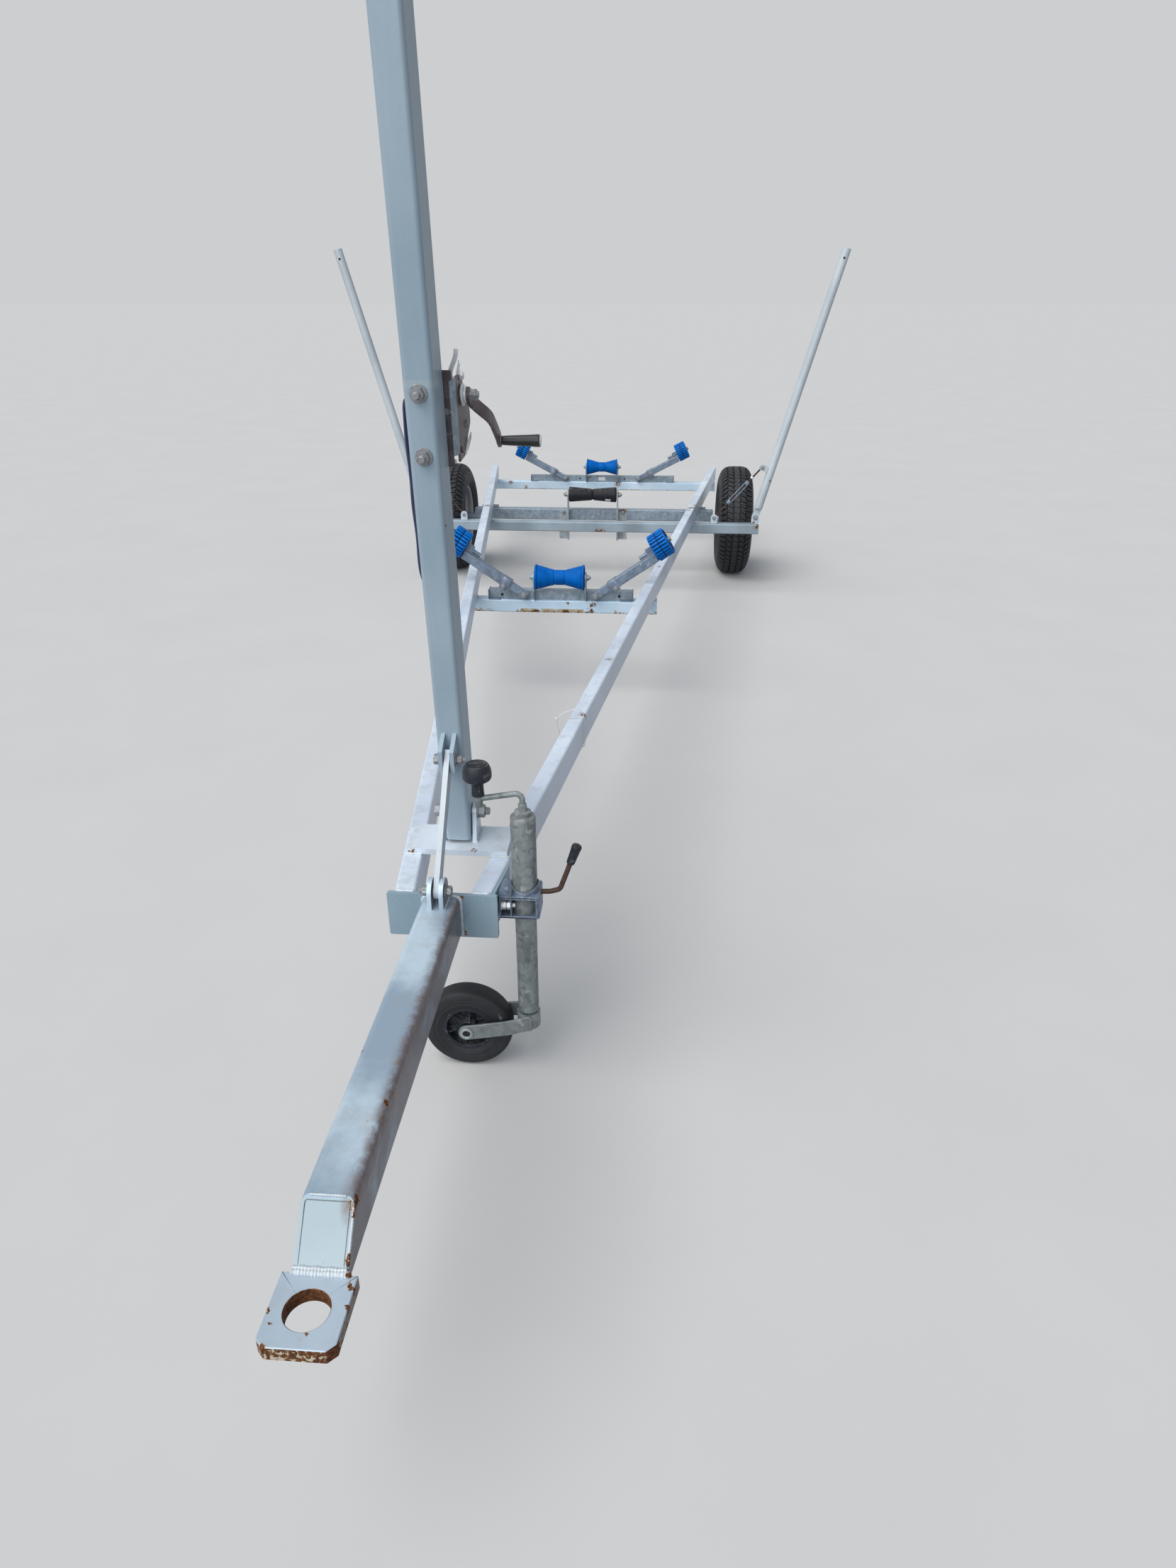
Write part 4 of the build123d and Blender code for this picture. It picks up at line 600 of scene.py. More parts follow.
class Recipe:
    """A material in the making, with one shader at its end."""

    def __init__(self, name: str, kind: Any = None) -> None:
        """Starts a material, or a world, with an empty tree.

        Args:
            name: The material's name.
            kind: Blender's list that it goes into, the materials if none is given.
        """
        self.owner = (bpy.data.materials if kind is None else kind).new(name)
        self.owner.use_nodes = True
        self.tree = self.owner.node_tree
        self.tree.nodes.clear()

    @cached_property
    def place(self) -> Reading:
        """Object coordinates."""
        return self.take("ShaderNodeTexCoord", {}, {}, "Object")

    def seen(self) -> Reading:
        """1 for what the camera sees, straight, in a gloss or through glass, and 0 for what only lights."""
        path = self.node("ShaderNodeLightPath", {}, {}).outputs
        straight, gloss, through = (Reading(self, path[name]) for name in
                                    ("Is Camera Ray", "Is Glossy Ray", "Is Transmission Ray"))
        return straight | gloss | through

    def node(self, kind: str, settings: dict[str, Any], inputs: dict[Any, Any]) -> bpy.types.Node:
        """Adds a node: its settings first, then the values or links of its sockets.

        Args:
            kind: The node's type.
            settings: Its own settings, such as an operation.
            inputs: Values or readings by socket name or number.

        Returns:
            The node.
        """
        node = self.tree.nodes.new(kind)
        for key, value in settings.items():
            setattr(node, key, value)
        for key, value in inputs.items():
            if isinstance(value, Reading):
                self.tree.links.new(value.socket, node.inputs[key])
            else:
                node.inputs[key].default_value = value
        return node

    def take(self, kind: str, settings: dict[str, Any], inputs: dict[Any, Any], output: Any = 0) -> Reading:
        """Adds a node and gives one of its outputs."""
        return Reading(self, self.node(kind, settings, inputs).outputs[output])

    def stretched(self, x: float, y: float, z: float) -> Reading:
        """Object coordinates with each axis multiplied by its own number."""
        return self.take("ShaderNodeVectorMath", {"operation": "MULTIPLY"}, {0: self.place, 1: (x, y, z)})

    def noise(self, scale: float, detail: float = 3.0, rough: float = 0.55, at: Optional[Reading] = None) -> Reading:
        """Cloudy noise, about 0.5 in the middle."""
        return self.take("ShaderNodeTexNoise", {}, {"Vector": at or self.place, "Scale": scale, "Detail": detail,
                                                    "Roughness": rough})

    def cells(self, scale: float, at: Reading) -> Reading:
        """Cells with a random value each."""
        return self.part(0, self.take("ShaderNodeTexVoronoi", {}, {"Vector": at, "Scale": scale}, "Color"))

    def depth(self) -> Reading:
        """How deep a point lies in a groove, in metres, from the piece's own attribute."""
        return self.part(0, self.take("ShaderNodeAttribute", {"attribute_name": "cloth"}, {}, "Vector"))

    def far(self, x: float, y: float, z: float, at: Optional[Reading] = None) -> Reading:
        """The distance to a point."""
        return self.take("ShaderNodeVectorMath", {"operation": "DISTANCE"}, {0: at or self.place, 1: (x, y, z)},
                         "Value")

    def part(self, axis: int, at: Optional[Reading] = None) -> Reading:
        """One coordinate: 0 for x, 1 for y, 2 for z."""
        return self.take("ShaderNodeSeparateXYZ", {}, {0: at or self.place}, axis)

    def facing(self, axis: int) -> Reading:
        """How far the surface faces along an axis, from -1 to 1: 0 for right, 1 for rearward, 2 for up."""
        return self.part(axis, self.take("ShaderNodeTexCoord", {}, {}, "Normal"))

    def mix(self, share: Any, first: Any, second: Any) -> Reading:
        """A colour between two."""
        ends = [colour if isinstance(colour, Reading) else (*colour, 1.0) for colour in (first, second)]
        return self.take("ShaderNodeMix", {"data_type": "RGBA"}, {0: share, 6: ends[0], 7: ends[1]}, 2)

    def bump(self, height: Reading, distance: float, strength: float) -> Reading:
        """A normal tilted by a height, over a depth in metres."""
        return self.take("ShaderNodeBump", {}, {"Height": height, "Distance": distance, "Strength": strength})

    def near(self, spots: Sequence[Spot]) -> Any:
        """1 in the middle of the nearest spot, 0 past its radius.

        Args:
            spots: Each spot's middle and radius.

        Returns:
            The mask, or a plain 0 without spots.
        """
        mask: Any = 0.0
        for x, y, z, radius in spots:
            one = self.far(x, y, z).rise(radius, radius * 0.15)
            mask = one if isinstance(mask, float) else mask | one
        return mask

    def end(self, **sockets: Any) -> bpy.types.Material:
        """Sets the shader's sockets and closes the tree.

        Args:
            sockets: Values, colours or readings by the socket's name, with _ for a blank.

        Returns:
            The material.
        """
        named = {key.replace("_", " "): (*value, 1.0) if isinstance(value, tuple) and len(value) == 3 else value
                 for key, value in sockets.items()}
        shader = self.node("ShaderNodeBsdfPrincipled", {}, named)
        self.node("ShaderNodeOutputMaterial", {}, {"Surface": Reading(self, shader.outputs[0])})
        return self.owner


# ---------------------------------------------------------------------------
# Finishes
# ---------------------------------------------------------------------------

RUST_DARK: Colour = (0.075, 0.03, 0.016)
RUST_BRIGHT: Colour = (0.22, 0.088, 0.034)
OCHRE: Colour = (0.47, 0.31, 0.13)
ROAD_DUST: Colour = (0.33, 0.3, 0.26)


@dataclass(frozen=True)
class SilverPaint:
    """Brushed-on silver paint: cloudy tone that is partly painted sheen, dust, scuffs, chips, rust that bleeds at
    seams and edges, and, where edges are given, a purple-brown on faces towards +X that is partly grime and partly
    painted shade.
    """

    name: str = "silver_paint"
    light: Colour = (0.5, 0.55, 0.59)
    dark: Colour = (0.31, 0.37, 0.42)
    spots: tuple[Spot, ...] = ()
    bare: float = 0.0
    metal: float = 0.4
    bore: Optional[Point] = None
    bands: tuple[tuple[float, float], ...] = ()
    edges: tuple[Point, ...] = ()
    hems: tuple[Point, ...] = ()
    pale: Optional[tuple[int, float, float]] = None
    pale_tone: Colour = (0.66, 0.76, 0.84)
    clouds: float = 4.5
    spread: float = 0.24

    def material(self) -> bpy.types.Material:
        """Builds the paint: tone clouds that are partly painted sheen, streaks, dust on top faces, and rust where
        noise and masks pass a line.
        """
        r = Recipe(self.name)
        cloud = r.noise(self.clouds * 2.2, 4.0)
        slow = r.noise(self.clouds, 2.0, 0.4, r.stretched(1.6, 0.8, 0.8))
        grain = r.noise(620.0, 2.0)
        streak = r.noise(1.0, 3.0, 0.6, r.stretched(60.0, 60.0, 3.0))
        # Cloud patches of tone: partly the paint's own uneven tone, partly painted sheen that stands for reflected
        # sky.
        tone = (cloud * 0.35 + slow * 1.05 + streak * 0.15 - 0.28).rise(0.5 - self.spread, 0.5 + self.spread)
        colour = r.mix(tone, self.dark, self.light)
        up = r.facing(2).rise(0.4, 0.95)
        dirt = (r.noise(24.0, 5.0, 0.65) * up).rise(0.46, 0.7)
        colour = r.mix(dirt * 0.3, colour, ROAD_DUST)
        scuff = r.noise(70.0, 5.0, 0.7, r.stretched(1.0, 0.3, 1.0)).rise(0.655, 0.72)
        colour = r.mix(scuff * 0.3, colour, (0.64, 0.67, 0.69))
        for low, high in self.bands:
            height = r.part(2)
            band = height.rise(low, low + 0.004) * height.rise(high, high - 0.004)
            colour = r.mix(band * 0.16, colour, (0.6, 0.62, 0.6))
        chips = r.noise(165.0, 5.0, 0.62)
        # Past a plane along one axis the paint takes another tone: a painted highlight along the guide beam's top,
        # and a darker, greener tone on the drawbar's sloping nose.
        if self.pale is not None:
            axis, start, stop = self.pale
            colour = r.mix(r.part(axis).rise(start, stop) * 0.8, colour, self.pale_tone)
        worn = chips * 0.72 + r.near(self.spots) * 0.185 + (self.bare + 0.14)
        grime: Any = 0.0
        for x, z, radius in self.edges:
            line = r.far(x, 0.0, z, r.stretched(1.0, 0.0, 1.0)).rise(radius, radius * 0.25)
            line = line * r.noise(9.0, 3.0, 0.6).rise(0.16, 0.46)
            grime = line if isinstance(grime, float) else grime | line
            worn = worn + line * 0.07
        for y, z, radius in self.hems:
            line = r.far(0.0, y, z, r.stretched(0.0, 1.0, 1.0)).rise(radius, radius * 0.15)
            worn = worn + line * r.noise(14.0, 3.0, 0.6).rise(0.34, 0.56) * 0.15
            colour = r.mix(line.rise(0.12, 0.5) * r.noise(15.0, 4.0, 0.6).rise(0.51, 0.6) * 0.85, colour, OCHRE)
        if self.edges:
            # Faces towards +X turn purple-brown: partly grime, partly painted shade of the side away from the lamps.
            flank = r.facing(0).rise(0.5, 0.95)
            colour = r.mix(flank * r.noise(13.0, 4.0, 0.65).rise(0.05, 0.55) * 0.85, colour, (0.215, 0.182, 0.195))
            colour = r.mix(grime * r.noise(60.0, 4.0, 0.7).rise(0.25, 0.6) * 0.9, colour, (0.185, 0.142, 0.145))
        if self.bore is not None:
            x, y, radius = self.bore
            inside = r.far(x, y, 0.0, r.stretched(1.0, 1.0, 0.0)).rise(radius + 0.0012, radius + 0.0004)
            upright = r.facing(2).rise(0.75, 0.35)
            front = r.part(1).rise(y - 0.03, y - 0.036)
            right = r.part(0).rise(0.03, 0.046)
            worn = worn + inside * 0.6 + upright * (front * 0.195 + right * 0.12)
            colour = r.mix(upright * front, colour, (0.62, 0.58, 0.47))
            colour = r.mix(upright * right, colour, (0.2, 0.17, 0.165))
        rust = worn.rise(0.66, 0.69)
        halo = worn.rise(0.615, 0.68)
        colour = r.mix(halo * 0.5, colour, OCHRE)
        colour = r.mix(rust, colour, r.mix(r.noise(190.0, 4.0, 0.7).rise(0.38, 0.66), RUST_DARK, RUST_BRIGHT))
        height = (grain * 0.08 + cloud * 0.5 + r.noise(34.0, 2.0) * 0.7 - rust * 0.35
                  + rust * r.noise(420.0, 3.0) * 0.6)
        return r.end(Base_Color=colour, Metallic=(1 - rust) * (1 - dirt * 0.4) * self.metal,
                     Roughness=0.27 + tone * 0.16 + dirt * 0.2 + rust * 0.38, Specular_IOR_Level=0.12,
                     Normal=r.bump(height, 0.0008, 0.5))


@dataclass(frozen=True)
class Galvanised:
    """Hot-dip zinc: spangle in cells, dull white patches, dark stains and some rust."""

    name: str = "galvanised"
    light: Colour = (0.5, 0.53, 0.56)
    dark: Colour = (0.3, 0.33, 0.36)
    stain: float = 0.25
    metal: float = 0.75
    spots: tuple[Spot, ...] = ()

    def material(self) -> bpy.types.Material:
        """Builds the zinc: each cell of the spangle takes its own tone, and stains lie over it."""
        r = Recipe(self.name)
        warped = r.take("ShaderNodeVectorMath", {"operation": "ADD"}, {
            0: r.place, 1: r.take("ShaderNodeVectorMath", {"operation": "SCALE"}, {0: r.take(
                "ShaderNodeTexNoise", {}, {"Vector": r.place, "Scale": 60.0}, "Color"), "Scale": 0.012})})
        cell = r.cells(95.0, warped)
        cloud = r.noise(14.0, 4.0)
        tone = (cell * 0.45 + cloud * 0.9 - 0.15).rise(0.1, 0.95)
        colour = r.mix(tone, self.dark, self.light)
        white = r.noise(38.0, 5.0, 0.68).rise(0.56, 0.68)
        colour = r.mix(white * 0.4, colour, (0.62, 0.64, 0.64))
        drip = r.noise(1.0, 4.0, 0.6, r.stretched(45.0, 45.0, 9.0)).rise(0.5, 0.68)
        colour = r.mix(drip * self.stain, colour, (0.085, 0.085, 0.075))
        rust = (r.noise(70.0, 6.0, 0.66) + r.near(self.spots) * 0.27).rise(0.7, 0.74)
        colour = r.mix(rust, colour, r.mix(r.noise(150.0, 4.0), RUST_DARK, RUST_BRIGHT))
        bright = (1 - rust) * (1 - white * 0.4) * (1 - drip * self.stain) * self.metal
        rough = 0.34 + cloud * 0.22 + white * 0.18 + rust * 0.3
        return r.end(Base_Color=colour, Metallic=bright, Roughness=rough, Specular_IOR_Level=0.3,
                     Normal=r.bump(cell * 0.15 + cloud * 0.5 + r.noise(300.0, 3.0) * 0.25, 0.0007, 0.5))


@dataclass(frozen=True)
class Zinc:
    """Bright plated steel of bolts and nuts, with a little dirt and rust in it."""

    name: str = "plated_bolts"
    colour: Colour = (0.29, 0.305, 0.32)
    rust: float = 0.07
    rough: float = 0.44
    metal: float = 0.4
    dull: float = 0.55

    def material(self) -> bpy.types.Material:
        """Builds the plating: nearly plain metal, with dull specks."""
        r = Recipe(self.name)
        dull = r.noise(220.0, 4.0, 0.6).rise(0.42, 0.66)
        rusty = (r.noise(130.0, 5.0, 0.65) + self.rust).rise(0.68, 0.76)
        colour = r.mix(dull * self.dull, self.colour, (0.2, 0.2, 0.2))
        colour = r.mix(rusty, colour, r.mix(r.noise(300.0, 3.0), RUST_DARK, RUST_BRIGHT))
        return r.end(Base_Color=colour, Metallic=(1 - rusty * 0.9) * self.metal,
                     Roughness=self.rough + dull * 0.22 + rusty * 0.35,
                     Normal=r.bump(r.noise(600.0, 2.0) + rusty, 0.0002, 0.6))


@dataclass(frozen=True)
class RustySteel:
    """Bare steel that has rusted all over: dark brown with orange bloom and a rough skin."""

    name: str = "rusty_steel"
    dark: Colour = (0.05, 0.028, 0.021)
    bright: Colour = (0.09, 0.048, 0.034)

    def material(self) -> bpy.types.Material:
        """Builds the rust from two sizes of noise."""
        r = Recipe(self.name)
        bloom = (r.noise(85.0, 6.0, 0.68) * 0.7 + r.noise(380.0, 3.0) * 0.3).rise(0.4, 0.64)
        return r.end(Base_Color=r.mix(bloom, self.dark, self.bright), Metallic=0.25 - bloom * 0.25,
                     Roughness=0.55 + bloom * 0.35, Normal=r.bump(bloom + r.noise(700.0, 2.0) * 0.4, 0.0005, 0.8))


@dataclass(frozen=True)
class Rubber:
    """Tyre rubber about an axle: grey on the tread's blocks, black in its grooves as painted shade, dusty on the
    sides.
    """

    name: str
    centre: Point
    across: Point
    tread: float
    rings: tuple[float, ...] = ()
    black: Colour = (0.006, 0.006, 0.007)
    worn: Colour = (0.034, 0.036, 0.042)
    dust: Colour = (0.09, 0.09, 0.092)

    def material(self) -> bpy.types.Material:
        """Builds the rubber: the cloth attribute tells how deep a groove is, where the rubber is darkened as painted
        shade, and fine rings run round the sides.
        """
        r = Recipe(self.name)
        flat = r.take("ShaderNodeVectorMath", {"operation": "MULTIPLY"}, {0: r.take(
            "ShaderNodeVectorMath", {"operation": "SUBTRACT"}, {0: r.place, 1: self.centre}), 1: self.across})
        out = r.take("ShaderNodeVectorMath", {"operation": "LENGTH"}, {0: flat}, "Value")
        sunk = r.depth().rise(0.0006, 0.0045)
        side = out.rise(self.tread * 0.93, self.tread * 0.86)
        patch = r.noise(26.0, 5.0, 0.65)
        fine = r.noise(340.0, 4.0, 0.6)
        tone = (fine.rise(0.35, 0.7) * 0.55 + patch.rise(0.35, 0.7) * 0.45).clamp()
        colour = r.mix(tone, tuple(0.55 * c for c in self.worn), self.worn)
        dusty = (side * patch.rise(0.42, 0.72) * 0.5
                 + (1 - sunk) * r.noise(58.0, 5.0, 0.7).rise(0.58, 0.72) * 0.35).clamp()
        colour = r.mix(dusty, colour, self.dust)
        # Grooves go black by their depth: painted shade.
        colour = r.mix(sunk, colour, self.black)
        scrape = r.noise(46.0, 6.0, 0.7, r.stretched(1.0, 1.0, 0.4)).rise(0.62, 0.69) * side
        colour = r.mix(scrape * 0.6, colour, (0.26, 0.265, 0.27))
        height = fine * 0.3 + patch * 0.3
        for ring in self.rings:
            height = height + abs(out - ring).rise(0.0022, 0.001) * 1.2
        return r.end(Base_Color=colour, Roughness=0.62 + dusty * 0.3, Specular_IOR_Level=0.45,
                     Normal=r.bump(height, 0.0011, 0.8))


@dataclass(frozen=True)
class Moulded:
    """Moulded plastic or rubber: soft sheen, fine skin, scuffs and dust on what faces up."""

    name: str
    colour: Colour
    shade: Colour
    sheen: float = 0.34
    scuff: Colour = (0.3, 0.33, 0.36)
    wear: float = 0.25
    shine: float = 0.5

    def material(self) -> bpy.types.Material:
        """Builds the plastic: two near tones, pale scuffs, a skin that dulls it, and painted shade in its grooves."""
        r = Recipe(self.name)
        sunk = r.depth().rise(0.0004, 0.0026)
        cloud = r.noise(30.0, 4.0)
        scuffed = r.noise(120.0, 5.0, 0.7, r.stretched(1.0, 0.35, 0.6)).rise(0.58, 0.7)
        dust = (r.noise(60.0, 4.0, 0.65) * r.facing(2).rise(0.1, 0.9)).rise(0.4, 0.72)
        colour = r.mix(cloud.rise(0.3, 0.7), self.shade, self.colour)
        colour = r.mix(scuffed * self.wear, colour, self.scuff)
        colour = r.mix(dust * self.wear, colour, ROAD_DUST)
        # Grooves darken to a tenth of the darker tone by their depth: painted shade between the ribs.
        colour = r.mix(sunk * 0.92, colour, tuple(0.1 * c for c in self.shade))
        height = r.noise(450.0, 3.0) * 0.25 + cloud * 0.3 + scuffed * 0.15
        return r.end(Base_Color=colour, Roughness=self.sheen + cloud * 0.12 + scuffed * 0.15 + dust * 0.2,
                     Specular_IOR_Level=self.shine, Normal=r.bump(height, 0.0005, 0.6))


@dataclass(frozen=True)
class Webbing:
    """Woven strap: ribs across, warp lines along, read from the strap's own two coordinates."""

    name: str = "navy_webbing"
    colour: Colour = (0.012, 0.022, 0.115)
    worn: Colour = (0.06, 0.075, 0.17)
    pitch: float = 0.0022

    def material(self) -> bpy.types.Material:
        """Builds the weave from sines of the length and the width."""
        r = Recipe(self.name)
        cloth = r.take("ShaderNodeAttribute", {"attribute_name": "cloth"}, {}, "Vector")
        along, across = r.part(0, cloth), r.part(1, cloth)
        weft = (along * (2 * pi / self.pitch)).wave()
        warp = (across * (2 * pi / (self.pitch * 1.35)) + along * 1.2).wave()
        weave = weft * warp * 0.5 + 0.5
        fuzz = r.noise(420.0, 3.0)
        edge = abs(across).rise(0.0165, 0.0195)
        colour = r.mix((weave * 0.4 + fuzz * 0.4).rise(0.2, 0.75), self.colour, self.worn)
        colour = r.mix(edge * 0.35, colour, (0.1, 0.11, 0.19))
        return r.end(Base_Color=colour, Roughness=0.78 + fuzz * 0.12, Sheen_Weight=0.15,
                     Normal=r.bump(weave + fuzz * 0.3, 0.0004, 0.8))


@dataclass(frozen=True)
class Plain:
    """A small part's finish: one tone with faint clouds in it, such as nylon, paper or the painted shade of a hole.
    """

    name: str
    colour: Colour
    rough: float = 0.5
    drift: float = 0.15

    def material(self) -> bpy.types.Material:
        """Builds the tone and its clouds."""
        r = Recipe(self.name)
        cloud = r.noise(70.0, 4.0)
        darker = tuple(c * (1 - self.drift) for c in self.colour)
        return r.end(Base_Color=r.mix(cloud.rise(0.3, 0.7), darker, self.colour), Roughness=self.rough + cloud * 0.1,
                     Normal=r.bump(r.noise(400.0, 2.0), 0.0002, 0.4))


# ---------------------------------------------------------------------------
# The finishes in use
# ---------------------------------------------------------------------------

TYRE_AXIS = (0.802, 2.096, 0.2945)
TYRE_RINGS = (0.198, 0.214, 0.236, 0.256)


class Finish(Enum):
    """Every finish of the trailer, with the places where the real one rusts: x, y, z and reach."""

    RAILS = SilverPaint("rail_paint", light=(0.77, 0.86, 0.97), dark=(0.61, 0.69, 0.81), metal=0.2,
                        spots=((0.55, 1.66, 0.44, 0.06), (0.53, 1.6, 0.44, 0.035), (0.57, 1.74, 0.44, 0.03),
                               (-0.54, 1.65, 0.44, 0.055), (0.196, -1.3, 0.436, 0.03), (0.24, -0.84, 0.436, 0.03),
                               (0.35, 0.12, 0.37, 0.04), (-0.35, 0.12, 0.37, 0.04), (0.39, 0.36, 0.437, 0.02),
                               (0.66, 2.62, 0.437, 0.02), (0.11, -1.96, 0.437, 0.02)))
    PLATE = SilverPaint("front_plate_paint", light=(0.345, 0.45, 0.515), dark=(0.26, 0.363, 0.433), clouds=3.0,
                        metal=0.2, spots=((0.04, -2.226, 0.436, 0.012), (0.041, -2.226, 0.358, 0.013),
                                          (-0.038, -2.226, 0.438, 0.008)))
    # The drawbar's edge line is grime; its faces towards +X take a purple-brown that is partly grime and partly
    # painted shade.
    DRAWBAR = SilverPaint("drawbar_paint", light=(0.545, 0.665, 0.76), dark=(0.31, 0.405, 0.5), metal=0.25,
                          spots=((0.034, -2.925, 0.43, 0.012), (0.036, -2.975, 0.385, 0.014),
                                 (0.035, -2.935, 0.428, 0.01), (0.0, -2.236, 0.442, 0.016),
                                 (0.031, -2.76, 0.437, 0.01), (-0.032, -2.66, 0.439, 0.008)),
                          edges=((0.034, 0.43, 0.023),), pale=(1, -2.927, -2.931), pale_tone=(0.325, 0.392, 0.415),
                          clouds=6.0, spread=0.17)
    EYE = SilverPaint("eye_paint", light=(0.49, 0.58, 0.67), dark=(0.42, 0.51, 0.6), bore=(0.0, -3.036, 0.028),
                      metal=0.2, spots=((-0.046, -3.04, 0.372, 0.009), (-0.037, -3.056, 0.372, 0.006),
                                        (0.041, -2.999, 0.372, 0.007), (0.0475, -3.004, 0.372, 0.01),
                                        (0.0475, -3.03, 0.372, 0.008), (0.004, -3.073, 0.372, 0.006),
                                        (0.01, -3.066, 0.372, 0.005), (-0.036, -3.084, 0.372, 0.008)))
    FOOT = SilverPaint("foot_paint", light=(0.74, 0.81, 0.89), dark=(0.6, 0.67, 0.75), metal=0.2,
                       spots=((0.036, -2.07, 0.452, 0.014), (-0.09, -2.074, 0.446, 0.014),
                              (0.03, -2.011, 0.53, 0.012)))
    MAST = SilverPaint("mast_paint", light=(0.405, 0.495, 0.565), dark=(0.29, 0.388, 0.465), clouds=2.2, metal=0.1,
                       bands=((1.955, 1.965), (1.32, 1.335)),
                       spots=((0.025, -2.1, 1.1, 0.008), (-0.025, -2.12, 1.42, 0.008), (0.0, -2.01, 0.47, 0.02)))
    # A very pale copy of the silver paint: painted light that makes up for the shade which the roller channel casts
    # on the beam's front.
    FRONT_BEAM = SilverPaint("front_beam_paint", light=(0.7, 0.86, 0.97), dark=(0.58, 0.75, 0.89), metal=0.1,
                             spots=((0.02, 0.1, 0.312, 0.02), (0.13, 0.1, 0.345, 0.03), (0.12, 0.1, 0.318, 0.03),
                                    (-0.1, 0.1, 0.312, 0.02), (0.3, 0.1, 0.316, 0.03), (0.03, 0.1, 0.35, 0.012)),
                             hems=((0.101, 0.312, 0.02),))
    # The guide beam's paint turns paler above z 0.364: a painted highlight along its top.
    GUIDE_BEAM = SilverPaint("guide_beam_paint", light=(0.375, 0.46, 0.52), dark=(0.27, 0.33, 0.375), metal=0.15,
                             spots=((0.9, 1.64, 0.35, 0.035), (-0.9, 1.64, 0.35, 0.035), (0.08, 1.64, 0.316, 0.03),
                                    (0.88, 1.655, 0.37, 0.022), (0.05, 1.64, 0.312, 0.03)),
                             hems=((1.645, 0.311, 0.01),), pale=(2, 0.361, 0.364))
    # A very pale copy of the silver paint: painted light that makes up for the shade of the roller channel above the
    # beam.
    REAR_BEAM = SilverPaint("rear_beam_paint", light=(0.7, 0.84, 0.95), dark=(0.58, 0.73, 0.86), metal=0.1,
                            spots=((0.1, 2.946, 0.354, 0.05), (-0.6, 2.946, 0.35, 0.03), (-0.5, 2.946, 0.32, 0.03)),
                            hems=((2.951, 0.311, 0.01),))
    WELD = SilverPaint("weld_paint", light=(0.66, 0.72, 0.76), dark=(0.46, 0.52, 0.57), bare=0.045, metal=0.1,
                       spots=((0.034, -2.936, 0.43, 0.016), (0.035, -2.978, 0.384, 0.014),
                              (0.036, -2.986, 0.376, 0.01)))
    ZINC_BEAM = Galvanised("galvanised_beam", light=(0.33, 0.4, 0.47), dark=(0.21, 0.26, 0.31), stain=0.3, metal=0.3,
                           spots=((0.175, 2.066, 0.352, 0.05), (0.6, 2.066, 0.35, 0.03), (-0.6, 2.066, 0.35, 0.03)))
    ARMS = Galvanised("galvanised_arms", light=(0.235, 0.295, 0.385), dark=(0.145, 0.185, 0.25), stain=0.26,
                      metal=0.35)
    CHANNEL = Galvanised("galvanised_channel", light=(0.335, 0.405, 0.465), dark=(0.213, 0.272, 0.319), stain=0.22,
                         metal=0.35)
    BRACKET = Galvanised("galvanised_angles", light=(0.46, 0.5, 0.53), dark=(0.3, 0.34, 0.37), stain=0.3, metal=0.4,
                         spots=((0.17, 2.055, 0.355, 0.05), (0.165, 2.03, 0.455, 0.045), (0.165, 2.05, 0.42, 0.03),
                                (-0.16, 2.04, 0.3, 0.02)))
    OLD_ZINC = Galvanised("weathered_zinc", light=(0.27, 0.3, 0.3), dark=(0.15, 0.175, 0.175), stain=0.55,
                          metal=0.3)
    TUBE = Galvanised("jockey_tube_zinc", light=(0.305, 0.335, 0.335), dark=(0.144, 0.165, 0.17), stain=0.5,
                      metal=0.25)
    STRUT = SilverPaint("strut_paint", light=(0.58, 0.63, 0.67), dark=(0.44, 0.49, 0.53), metal=0.1, bare=0.02)
    FORK = Galvanised("fork_zinc", light=(0.283, 0.313, 0.313), dark=(0.191, 0.213, 0.218), stain=0.25, metal=0.35)
    WINCH = Galvanised("winch_zinc", light=(0.16, 0.13, 0.14), dark=(0.083, 0.065, 0.073), stain=0.25, metal=0.4,
                       spots=((0.03, -2.075, 1.345, 0.022), (0.02, -2.075, 1.345, 0.018), (0.03, -2.045, 1.34, 0.02),
                              (0.02, -2.03, 1.18, 0.03)))
    BOLTS = Zinc()
    # A near-white, barely metallic copy of the plating: painted glint that stands for the sky reflected in bright
    # plated parts.
    ZINC_PAINTED_GLINT = Zinc("zinc_with_painted_glint", colour=(0.84, 0.86, 0.88), rust=0.0, rough=0.34, metal=0.2, dull=0.15)
    RUSTY = RustySteel()
    TYRE_LEFT = Rubber("tyre_rubber_left", (-TYRE_AXIS[0], *TYRE_AXIS[1:]), (0.0, 1.0, 1.0), TYRE_AXIS[2],
                       TYRE_RINGS)
    TYRE_RIGHT = Rubber("tyre_rubber_right", TYRE_AXIS, (0.0, 1.0, 1.0), TYRE_AXIS[2], TYRE_RINGS)
    JOCKEY_TYRE = Rubber("jockey_rubber", (0.025, -2.164, 0.0925), (1.0, 0.0, 1.0), 0.0925, (0.062, 0.07),
                         worn=(0.014, 0.016, 0.02), dust=(0.036, 0.038, 0.043))
    RIM = SilverPaint("rim_paint", light=(0.44, 0.45, 0.46), dark=(0.3, 0.31, 0.32), bare=0.02)
    BLUE = Moulded("blue_plastic", (0.002, 0.2, 0.71), (0.0015, 0.142, 0.545), sheen=0.4, wear=0.015, shine=0.12)
